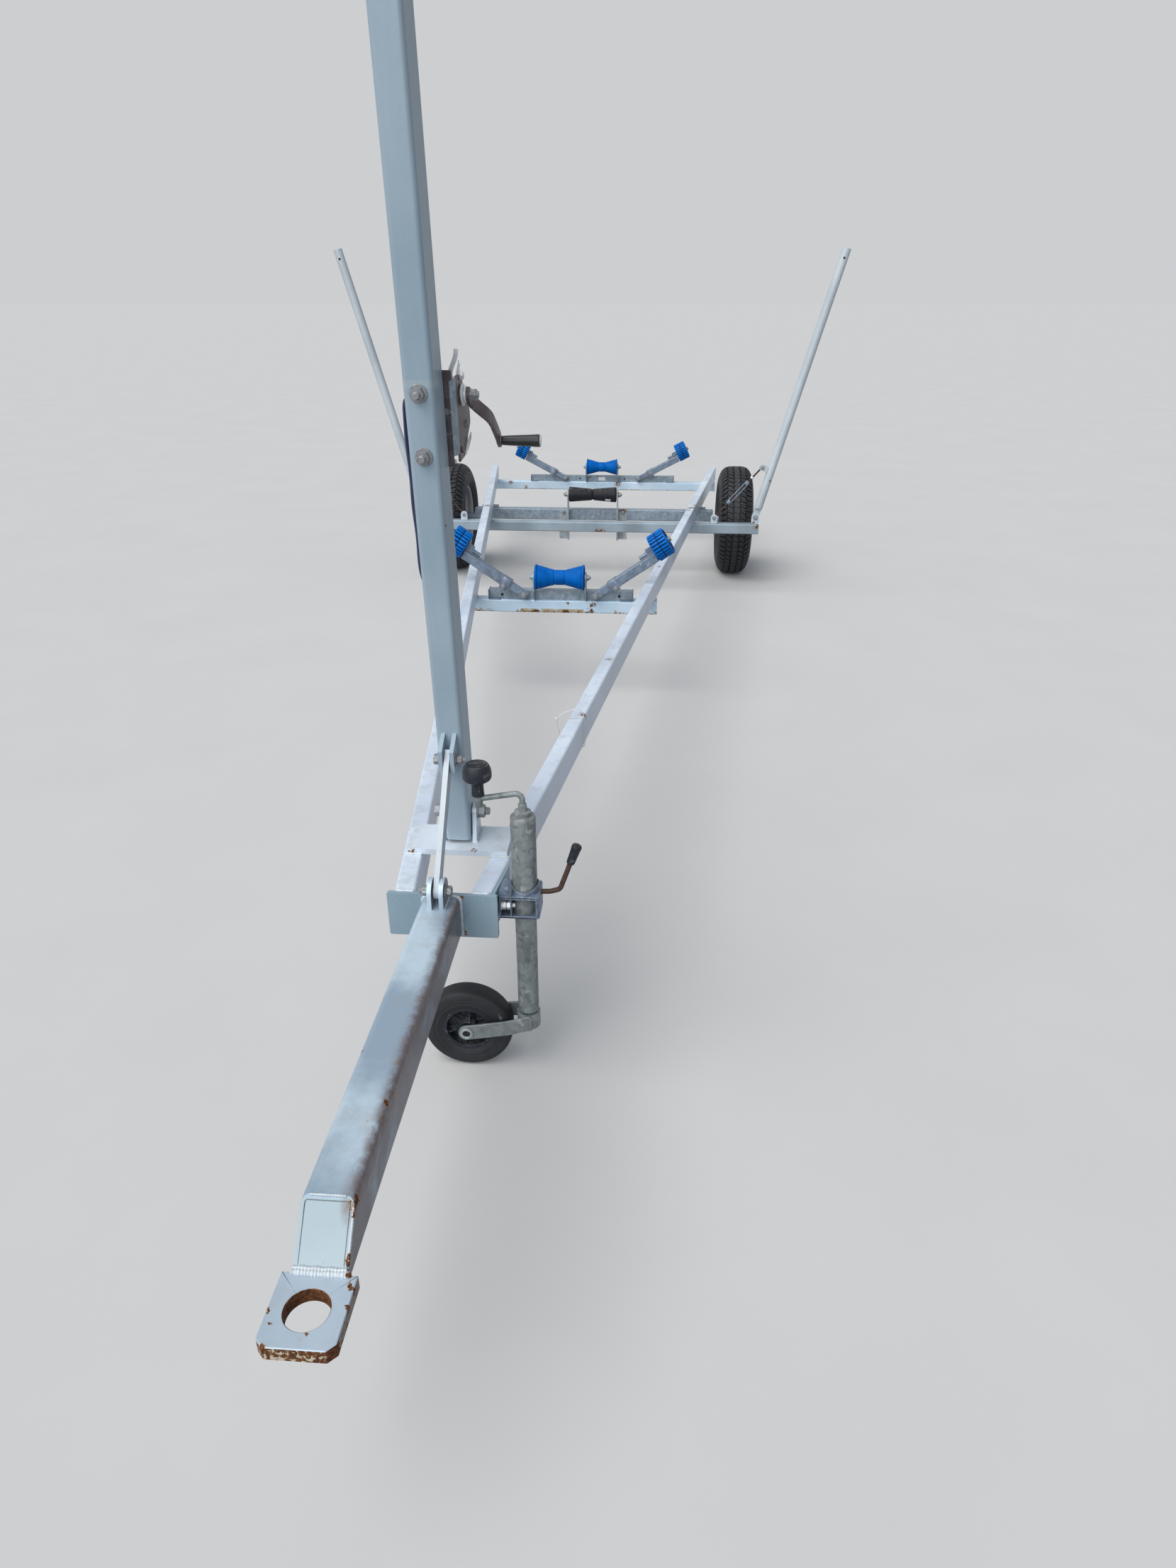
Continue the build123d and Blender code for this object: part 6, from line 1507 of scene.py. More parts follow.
    def tube(self) -> None:
        """The outer tube with its cap, the crank rod with its sleeve and the mushroom knob."""
        at = (self.x, self.y, 0.0)
        body = [(0.58, 0), (0.58, 0.0212), (0.362, 0.0212), (0.362, 0.0233), (0.3628, 0.024), (0.579, 0.024),
                (0.583, 0.0228), (0.5852, 0.019), (0.5858, 0.0165), (0.5925, 0.0158), (0.5935, 0.0145),
                (0.5938, 0.0084), (0.607, 0.008), (0.608, 0.007), (0.608, 0)]
        Surface().grid(lathe(body, at, UP, 56)).build(
            "jockey_tube", Finish.TUBE, "frame", "galvanised", ("jockey_outer_tube",))
        rod = rounded([(self.x, self.y, 0.6), (self.x, self.y, 0.63), (self.crank_x, self.y, 0.615)],
                      0.012, 10, closed=False)
        crank = Surface().grid(sweep(circle(0.0055, 16), spaced(rod, 0.002), REARWARD))
        crank.grid(lathe([(0.6, 0), (0.6, 0.0078), (0.601, 0.0085), (0.6215, 0.0085), (0.622, 0)],
                         (self.crank_x, self.y, 0.0), UP, 28))
        crank.build("jockey_crank_rod", Finish.OLD_ZINC, "frame", "galvanised", ("jockey_crank",))
        head = [(0.0, 0.0), (0.0, 0.0112), (0.001, 0.012), (0.015, 0.0112), (0.024, 0.012), (0.029, 0.0165),
                (0.032, 0.0225), (0.035, 0.0258), (0.04, 0.027), (0.048, 0.0268), (0.056, 0.025), (0.0615, 0.0222),
                (0.0638, 0.0196), (0.064, 0.0188), (0.0628, 0.0184), (0.0628, 0.0176), (0.0646, 0.0172),
                (0.0652, 0.015), (0.0654, 0.0)]
        smooth = head[:2] + flowing(head[2:11], 4).tolist() + head[11:]
        Surface().grid(lathe(smooth, (self.crank_x, self.y, 0.6222), UP, 44)).build(
            "jockey_crank_knob", Finish.KNOB, "frame", "black_plastic", ("jockey_knob",))

    def fork(self) -> None:
        """The fork: a sleeve round the leg's pin and two flat arms to the wheel's hollow axle, whose bore is a dark
        disc of painted shade.
        """
        steel, rings = Surface(), Surface()
        sleeve = [(0.098, 0.0142), (0.098, 0.0215), (0.1, 0.0235), (0.133, 0.0235), (0.134, 0.0228), (0.134, 0.0142)]
        steel.grid(lathe(sleeve, (self.x, self.y, 0.0), UP, 48), along=True)
        for side in SIDES:
            line = flowing([(0.0082, 0.032), (0.03, 0.032), (0.07, 0.032), (0.105, 0.032), (0.125, 0.03),
                            (0.142, 0.0265), (0.156, 0.0235)], 9)
            x = line[:, 0]
            end = np.sqrt(np.clip(0.0172 ** 2 - np.minimum(x - self.wheel_x, 0) ** 2, 1e-7, None))
            middle = np.interp(x, (self.wheel_x, 0.14), (self.wheel_radius, 0.115))
            taper = np.interp(x, (self.wheel_x, 0.12, 0.156), (0.0172, 0.0172, 0.0165))
            half = np.where(x < self.wheel_x, end, taper)
            path = np.column_stack([x, self.y + side * line[:, 1]])
            steel.grid(strip(path, 0.0052, middle - half, middle + half, 0.0008))
            ring = [(-0.005, 0.0074), (-0.005, 0.0124), (0.0, 0.0128), (0.0012, 0.0136), (0.0024, 0.013),
                    (0.003, 0.0108), (0.0032, 0.0088), (0.0024, 0.0078)]
            rings.grid(lathe(ring, (self.wheel_x, self.y + side * 0.0345, self.wheel_radius), (0, side, 0), 36),
                       along=True)
            y = self.y + side * 0.0262
            bead(steel, [(0.1405, self.y + side * 0.0292, 0.1335), (0.158, y, 0.1335)], 0.005, side)
            bead(steel, [(0.1568, y, 0.1), (0.1568, y, 0.132)], 0.005, 2)
        steel.build("jockey_fork_arms", Finish.FORK, "jockey_fork", "galvanised", ("jockey_fork",))
        rings.build("jockey_axle_rings", Finish.BRACKET, "jockey_fork")
        # Dark discs on the arms' outer faces: painted shade standing in for the axle's bore.
        dark = Surface()
        for side in SIDES:
            dark.grid(lathe(disc(0, 0.0004, 0.0075),
                            (self.wheel_x, self.y + side * 0.0346, self.wheel_radius), (0, side, 0), 20))
        dark.build("jockey_axle_bore_shade", Finish.PAINTED_HOLE_SHADE, "jockey_fork")

    def wheel(self) -> None:
        """The jockey wheel: a grooved tyre, and a rim with a flanged ring, a hub, six spokes and a thin web between
        them that stands in for the shade in their openings.
        """
        at = (self.wheel_x, self.y, self.wheel_radius)
        half = [(0.0, 0.0925), (0.008, 0.0924), (0.013, 0.0918), (0.018, 0.09), (0.0215, 0.0868), (0.0234, 0.082),
                (0.024, 0.076), (0.024, 0.0715), (0.0232, 0.0705), (0.0236, 0.069), (0.0238, 0.064), (0.023, 0.059),
                (0.0215, 0.055), (0.0205, 0.0525)]
        flank = flowing(half, 3)
        tyre = np.concatenate([mirrored(flank), [(0.019, 0.0512), (-0.019, 0.0512)]])
        Surface().grid(lathe(tyre, at, REARWARD, 120), along=True).build(
            "jockey_wheel_tyre", Finish.JOCKEY_TYRE, "jockey_wheel", "tyre", ("jockey_tyre",), sharp=50)
        rim = Surface()
        ring = [(-0.02, 0.052), (-0.02, 0.045), (-0.019, 0.044), (-0.011, 0.0428), (0.011, 0.0428), (0.019, 0.044),
                (0.02, 0.045), (0.02, 0.052), (0.018, 0.0522), (-0.018, 0.0522)]
        rim.grid(lathe(ring, at, REARWARD, 96), along=True)
        hub = [(-0.0238, 0.0082), (-0.0238, 0.019), (-0.0228, 0.02), (0.0, 0.0215), (0.0228, 0.02), (0.0238, 0.019),
               (0.0238, 0.0082)]
        rim.grid(lathe(hub, at, REARWARD, 48), along=True)
        # A thin web across the rim's middle closes the openings between the spokes, so that they show dark: painted
        # shade.
        rim.grid(lathe([(-0.0015, 0.019), (-0.0015, 0.0432), (0.0015, 0.0432), (0.0015, 0.019)], at, REARWARD, 60),
                 along=True)
        for k in range(self.spokes):
            t = 2 * pi * k / self.spokes + 0.35
            spoke = facing(at, (cos(t), 0.0, sin(t)), REARWARD)
            bar = ((0.017, 0.014, 0.0195), (0.013, 0.012, 0.03), (0.015, 0.014, 0.0434))
            rib = ((0.0026, 0.042, 0.0195), (0.0026, 0.025, 0.03), (0.0026, 0.032, 0.0434))
            rim.grid(spoke.lay(tapered(bar, 0.0015))).grid(spoke.lay(tapered(rib, 0.0008)))
        rim.build("jockey_wheel_rim", Finish.KNOB, "jockey_wheel", "galvanised", ("jockey_rim",))


@dataclass(frozen=True)
class RoadWheel(Assembly):
    """One road wheel: a treaded tyre, a steel rim with vent holes, and a hub with its cap.

    The side is -1 for the left wheel and 1 for the right one.
    """

    side: int
    pitches: int = 60
    vents: int = 12
    vent_ring: float = 0.117
    vent_radius: float = 0.0125
    wheel_bolts: int = 4

    @property
    def word(self) -> str:
        """The side's name."""
        return "left" if self.side < 0 else "right"

    @property
    def centre(self) -> Array:
        """The middle of the tyre."""
        return np.array((self.side * TYRE_AXIS[0], *TYRE_AXIS[1:]))

    @property
    def axis(self) -> tuple[int, int, int]:
        """The direction outwards along the axle."""
        return (self.side, 0, 0)

    def turned(self, out: Array, radius: Array, angle: Array) -> Array:
        """Points at a distance out along the axle, a radius and an angle about it."""
        return self.centre + np.stack([self.side * out + 0 * angle, radius * np.cos(angle), radius * np.sin(angle)],
                                      -1)

    def build(self) -> None:
        """Builds tyre, rim and hub."""
        self.tyre()
        self.rim()
        self.hub()

    def tyre(self) -> None:
        """The tyre: its section turned, on a grid that bends with the tread, so that the grid's lines are its edges.

        A point at a distance s from the crown's middle and at a share f of a pitch stands at
        k + f + 0.72 sin(25 s) pitches, and s moves by 0.0022 sin(2 pi f). Where a groove runs the
        point sinks along the section's normal, by a dip of 1 - (distance - half width) / wall.
        """
        half = [(0, 0.2945), (0.02, 0.2944), (0.0345, 0.2938), (0.05, 0.2905), (0.0605, 0.2858), (0.07, 0.2778),
                (0.078, 0.268), (0.0842, 0.255), (0.0892, 0.2415), (0.0926, 0.231), (0.0941, 0.22), (0.0915, 0.205),
                (0.084, 0.189), (0.0752, 0.179), (0.0712, 0.1752), (0.07, 0.1735)]
        flank = flowing(half, 30)
        run = run_along(flank)
        lines = [0, 0.0075, 0.0142, 0.0154, 0.018, 0.0206, 0.0218, 0.028, 0.034, 0.041, 0.0472, 0.0484, 0.051, 0.0536,
                 0.0548, 0.06, 0.066, 0.072, 0.078, 0.084, 0.09, 0.096, 0.1, 0.103, 0.106]
        lines = np.concatenate([lines, np.linspace(0.106, run[-1], 16)[1:]])
        s0 = np.concatenate([-lines[::-1], lines[1:]])[:, None]
        share = np.tile([-0.5, -0.4, -0.36, -0.28, -0.2, -0.16, -0.05, 0.0, 0.05, 0.16, 0.2, 0.28, 0.36, 0.4],
                        self.pitches)[None, :]
        turns = share + np.repeat(np.arange(self.pitches), 14)[None, :]
        s = s0 + 0.0022 * np.sin(2 * pi * share) * np.interp(np.abs(s0), (0.058, 0.085), (1, 0))
        tangent = unit(np.gradient(flank, axis=0))
        section = (flank[:, 0], flank[:, 1], tangent[:, 1], tangent[:, 0])
        x, r, fall, level = (np.interp(np.abs(s), run, values) for values in section)

        def dip(distance: Array, half_width: float, wall: float) -> Array:
            """1 in a groove, 0 outside it, with walls of one grid step."""
            return np.clip((half_width + wall / 2 - distance) / wall, 0, 1)

        away, other = np.abs(s0), 0.5 - np.abs(share)
        fade = np.interp(away, (0.098, 0.106), (1, 0))
        around = np.maximum(dip(np.abs(away - 0.018), 0.0032, 0.0012), dip(np.abs(away - 0.051), 0.0032, 0.0012))
        depth = np.maximum.reduce([
            0.0078 * around + 0 * share,
            0.007 * dip(np.abs(share), 0.18, 0.04) * (away > 0.054) * fade,
            0.0062 * dip(other, 0.12, 0.04) * ((away > 0.0216) & (away < 0.0474)),
            0.0035 * np.clip(1 - np.abs(share) / 0.05, 0, 1) * (away < 0.0474),
            0.003 * np.clip(1 - other / 0.1, 0, 1) * (away > 0.054) * fade])
        ridge = 0.0007 * np.exp(-((r - 0.248) / 0.0016) ** 2) + 0.0006 * np.exp(-((r - 0.214) / 0.0018) ** 2)
        sink = depth - ridge - 0.0009 * np.exp(-((r - 0.193) / 0.0022) ** 2)
        angle = (turns + 0.72 * np.sin(25 * np.clip(s0, -0.106, 0.106))) * (2 * pi / self.pitches)
        body = self.turned(np.sign(s) * (x + fall * sink), r - level * sink, angle)
        inside = self.turned(np.array([[0.066], [-0.066]]), 0.1668 + 0 * angle[:2], angle[[-1, 0]])
        name = "tyre_" + self.word
        finish = Finish.TYRE_LEFT if self.side < 0 else Finish.TYRE_RIGHT
        whole = np.concatenate([body, inside])
        # The groove depth goes into the cloth attribute, from which the rubber paints shade into the grooves.
        cloth = np.zeros((*whole.shape[:2], 2))
        cloth[:len(body), :, 0] = depth
        Surface().grid(whole, along=True, cloth=cloth).build(
            "treaded_" + name, finish, "wheel_" + self.word, "tyre", (name,), sharp=38, woven=True)

    def disc_at(self, radius: Array) -> Array:
        """How far out the rim's disc stands at a radius."""
        return np.interp(radius, (0.03, 0.062, 0.078, 0.096, 0.122, 0.148), (0.034, 0.035, 0.041, 0.042, 0.033, 0.04))

    def rim(self) -> None:
        """The rim: a rolled barrel, and a pressed disc whose twelve vents are round."""
        steel = Surface()
        outer = [(-0.071, 0.174), (-0.07, 0.1752), (-0.0684, 0.174), (-0.0668, 0.168), (-0.064, 0.1662),
                 (-0.042, 0.1655), (-0.034, 0.156), (-0.022, 0.1512), (0.016, 0.1512), (0.03, 0.156), (0.042, 0.1655),
                 (0.064, 0.1662), (0.0668, 0.168), (0.0684, 0.174), (0.07, 0.1752), (0.071, 0.174), (0.0695, 0.166),
                 (0.066, 0.163), (0.043, 0.1622), (0.032, 0.153), (0.018, 0.1482), (-0.024, 0.1482), (-0.036, 0.153),
                 (-0.044, 0.1622), (-0.066, 0.163), (-0.0695, 0.166)]
        steel.grid(lathe(outer, self.centre, self.axis, 120), along=True)
        wide = 2 * pi / self.vents
        corners = [(-wide / 2 * 0.112, 0.096), (wide / 2 * 0.112, 0.096), (wide / 2 * 0.112, 0.15),
                   (-wide / 2 * 0.112, 0.15)]
        outline = filled(np.array(corners), 0.003)
        middle = np.array((0.0, self.vent_ring))
        away = unit(outline - middle)
        hole, soft = middle + away * self.vent_radius, middle + away * (self.vent_radius + 0.0015)
        sheets = [(outline, 0.0018), (soft, 0.0018), (hole, 0.0008), (hole, -0.0008), (soft, -0.0018),
                  (outline, -0.0018)]
        for k in range(self.vents):
            rows = [self.turned(self.disc_at(flat[:, 1]) + rise, flat[:, 1], flat[:, 0] / 0.112 + k * wide)
                    for flat, rise in sheets]
            steel.grid(np.stack(rows), ends=False)
        for rise in (0.0018, -0.0018):
            radius = np.linspace(0.029, 0.096, 20)
            ring = [(self.disc_at(q) + rise, q) for q in radius]
            steel.grid(lathe(ring, self.centre, self.axis, 120), ends=False)
        steel.build("steel_rim_" + self.word, Finish.RIM, "wheel_" + self.word, "rim_paint", ("rim_" + self.word,),
                    sharp=40)
        dark = Surface()
        valve = self.turned(np.array([0.05]), np.array([0.142]), np.array([0.7]))[0]
        stem = [(0, 0), (0, 0.0055), (0.003, 0.006), (0.01, 0.004), (0.022, 0.0034), (0.024, 0.0038),
                (0.033, 0.0038), (0.034, 0.0)]
        dark.grid(lathe(stem, valve - (self.side * 0.012, 0, 0), (self.side, -0.12, -0.1), 16))
        dark.build("tyre_valve_" + self.word, Finish.GRIP, "wheel_" + self.word, "black_plastic")

    def hub(self) -> None:
        """The hub: a turned drum with its flange, four wheel bolts, and the pressed grease cap."""
        hub = Surface()
        body = [(-0.048, 0.0153), (-0.048, 0.04), (-0.047, 0.0415), (0.008, 0.042), (0.012, 0.047), (0.015, 0.064),
                (0.026, 0.0645), (0.031, 0.0635), (0.0318, 0.032), (0.044, 0.0318), (0.047, 0.0305), (0.048, 0.0285),
                (0.048, 0.0153)]
        hub.grid(lathe(body, self.centre, self.axis, 72), along=True)
        cap = [(0.044, 0), (0.044, 0.029), (0.05, 0.03), (0.051, 0.0285), (0.053, 0.0272), (0.07, 0.0262),
               (0.075, 0.0245), (0.0775, 0.02), (0.078, 0.012), (0.078, 0)]
        hub.grid(lathe(cap, self.centre, self.axis, 60))
        for k in range(self.wheel_bolts):
            t = 2 * pi * k / self.wheel_bolts + 0.5
            spot = self.turned(np.array([0.0365]), np.array([0.05]), np.array([t]))[0]
            fasten(hub, spot, self.axis, Thread.M12, head=1.3)
        hub.build("wheel_hub_" + self.word, Finish.BOLTS, "wheel_" + self.word)


@dataclass(frozen=True)
class RollerSet(Assembly):
    """Channel, keel roller, two telescopic arms and two ribbed side rollers.

    The web is the channel's front face, and the arm's root and angle are those of both arms.
    """

    word: str
    web: float
    channel_half: float
    arm_root: float
    arm_angle: float
    hole: float
    root_rise: float = 0.385
    keel_rise: float = 0.456
    roller_reach: float = 0.322
    roller_radius: float = 0.054
    ribs: int = 24

    def build(self) -> None:
        """Dresses the channel and arms and builds the rollers and bolts."""
        dress(Finish.CHANNEL, self.word + "_roller_channel")
        dress(Finish.ARMS, self.word + "_arm_left", self.word + "_arm_right")
        self.keel()
        self.fittings()
        for side in SIDES:
            self.side_roller(side)

    def keel(self) -> None:
        """The keel roller: two cones with a ring at each foot and a flange at each end."""
        half = [(0.0, 0.0292), (0.019, 0.0292), (0.02, 0.0288), (0.0204, 0.0272), (0.0222, 0.0272), (0.0228, 0.0302),
                (0.025, 0.0308), (0.037, 0.0332), (0.056, 0.0386), (0.074, 0.0434), (0.0855, 0.0458), (0.0862, 0.044),
                (0.0878, 0.044), (0.0886, 0.0482), (0.09, 0.049), (0.095, 0.0493), (0.0966, 0.0482), (0.097, 0.045),
                (0.0964, 0.0424), (0.092, 0.0405), (0.0918, 0.019), (0.093, 0.018), (0.0966, 0.0176),
                (0.0968, 0.0082)]
        name = self.word + "_keel_roller"
        Surface().grid(lathe(mirrored(half), (0, self.web - 0.022, self.keel_rise), RIGHT, 96), along=True).build(
            "blue_" + name, Finish.KEEL, name, "roller_blue", (name,), sharp=30)

    def side_roller(self, side: int) -> None:
        """A side roller: ribs along its axis, a groove round its middle, and a recess at each end.

        Args:
            side: -1 for the left roller, 1 for the right one.
        """
        lean = radians(self.arm_angle)
        out = np.array((side * cos(lean), 0.0, sin(lean)))
        root = np.array((side * (self.arm_root - 0.03 * sin(lean)), self.web - 0.019,
                         self.root_rise + 0.03 * cos(lean)))

        def ribbed(t: Array, along: Array, radius: Array) -> Array:
            """Grooves between the ribs, 3.2 mm deep over half of each pitch, away from the ends."""
            f = (self.ribs * t / (2 * pi)) % 1
            wave = np.clip((f - 0.5) / 0.09, 0, 1) * np.clip((1 - f) / 0.09, 0, 1)
            return radius - np.where(radius > 0.0505, np.clip(radius - 0.0505, 0, 0.0032) * wave, 0)
        half = [(0.0, 0.0512), (0.0012, 0.0512), (0.002, 0.0538), (0.0024, 0.054), (0.0296, 0.054), (0.0305, 0.0536),
                (0.0318, 0.051), (0.0333, 0.05), (0.0335, 0.0485), (0.0325, 0.047), (0.029, 0.046), (0.0285, 0.02),
                (0.03, 0.0185), (0.0335, 0.018), (0.0336, 0.0082)]
        name = self.word + "_side_roller_" + ("left" if side < 0 else "right")
        centre = root + out * self.roller_reach
        body = lathe(mirrored(half), centre, out, 336, ribbed)
        along = (body - centre) @ out
        radius = np.linalg.norm(body - centre - along[..., None] * out, axis=-1)
        # The groove depth goes into the cloth attribute, from which the plastic paints shade into the grooves.
        sunk = np.where(np.abs(along) < 0.03, self.roller_radius - radius, 0.0)
        Surface().grid(body, along=True, cloth=np.stack([sunk, 0 * sunk], -1)).build(
            "ribbed_" + name, Finish.BLUE, name, "roller_blue", (name,), sharp=28, woven=True)

    def fittings(self) -> None:
        """Collars on the arms, bolts, the channel's end plates, holes as dark discs of painted shade, and a blank
        label.
        """
        lean = radians(self.arm_angle)
        bolts, ends, sheet, holes = Surface(), Surface(), Surface(), Surface()
        for side in SIDES:
            out = (side * cos(lean), 0.0, sin(lean))
            root = (side * self.arm_root, self.web - 0.019, self.root_rise)
            arm = facing(root, out, UP)
            collar = [(w, w, z) for w, z in ((0.0392, 0.066), (0.0404, 0.0668), (0.0404, 0.1052), (0.0392, 0.106))]
            sheet.grid(arm.lay(tapered(collar, 0.0048, 5)))
            ear = arm.moved(-side * 0.0188, -0.019, 0.086)
            sheet.grid(ear.lay(slab(box_outline(0.003, 0.017, 0.001), 0.03)))
            fasten(bolts, (root[0], root[1] - 0.0142, root[2]), FORWARD, Thread.M12, 0.003)
            fasten(bolts, arm.at(-side * 0.0203, -0.016 if self.word == "front" else -0.004, 0.086), FORWARD,
                   Thread.M10, 0.004)
            fasten(ends, arm.at(0.0, 0.03, 0.3565), out, Thread.M10)
            if side > 0:
                fasten(ends, (0.1052, self.web - 0.022, self.keel_rise), RIGHT, Thread.M10, 0.01, washer=False)
            fasten(bolts, (side * (self.channel_half - 0.03), self.web + 0.024, 0.3642), UP, Thread.M10)
            end = np.linspace((side * (self.channel_half + 0.002), self.web - 0.01),
                              (side * (self.channel_half + 0.002), self.web + 0.044), 6)
            sheet.grid(strip(end, 0.004, 0.3602, 0.3975))
            foot = facing((side * (self.channel_half - 0.022), self.web - 0.006, 0.3622), UP, REARWARD)
            sheet.grid(foot.lay(slab(box_outline(0.048, 0.014, 0.002), 0.004)))
            # Dark discs on the channel's web: painted shade of its holes.
            holes.grid(lathe(disc(0, 0.0006, 0.0056),
                             (side * self.hole, self.web + 0.0002, 0.378), FORWARD, 24))
        sheet.build(self.word + "_arm_collars", Finish.ARMS, sharp=50)
        bolts.build(self.word + "_roller_bolts", Finish.BOLTS)
        ends.build(self.word + "_roller_pins", Finish.OLD_ZINC)
        holes.build(self.word + "_channel_hole_shades", Finish.PAINTED_HOLE_SHADE)
        if self.word == "rear":
            label = facing((-0.003, self.web - 0.0004, 0.378), FORWARD, UP)
            Surface().grid(label.lay(slab(box_outline(0.046, 0.022, 0.0015), 0.0006, 0.0002))).build(
                "channel_label", Finish.LABEL)


@dataclass(frozen=True)
class AxleRoller(Assembly):
    """The black keel roller on the angle irons at the axle."""

    centre: Point = (0.0, 2.041, 0.437)

    def build(self) -> None:
        """Two flat cones that meet in a notch, the bolt's nuts and a shred of white label."""
        half = [(0.0, 0.0262), (0.002, 0.0275), (0.0062, 0.0312), (0.02, 0.0326), (0.06, 0.0358), (0.1, 0.0392),
                (0.12, 0.0406), (0.129, 0.0408), (0.1325, 0.0396), (0.134, 0.0368), (0.134, 0.02), (0.1325, 0.019),
                (0.1325, 0.0082)]
        cones = Surface().grid(lathe(mirrored(half), self.centre, RIGHT, 80), along=True)
        cones.build("black_keel_roller", Finish.BLACK_ROLLER, "axle_keel_roller", "roller_black",
                    ("axle_keel_roller",), sharp=25)
        angle = np.linspace(-0.95, -0.5, 9)
        x = np.linspace(0.072, 0.102, 7)
        radius = 0.0358 + (x - 0.06) * 0.085 + 0.0006
        wave = 0.0012 * np.sin(x * 300)[:, None] * np.sin(angle * 7)[None, :] + 0.001
        ring = radius[:, None] + wave
        shred = np.stack([x[:, None] + 0.006 * (angle[None, :] + 0.7), -ring * np.cos(angle), ring * np.sin(angle)],
                         -1)
        both = np.concatenate([shred, shred[::-1] * (1, 0.988, 0.988)]) + self.centre
        Surface().grid(both, around=False, along=True).build("roller_label_shred", Finish.LABEL, "axle_keel_roller",
                                                             "roller_black")
        bolts = Surface()
        for side in SIDES:
            fasten(bolts, (side * 0.1442, *self.centre[1:]), (side, 0, 0), Thread.M16, 0.006)
            for z in (0.245, 0.335):
                fasten(bolts, (side * 0.17, 2.0588, z), FORWARD, Thread.M10, 0.004)
        bolts.build("axle_roller_bolts", Finish.BOLTS)


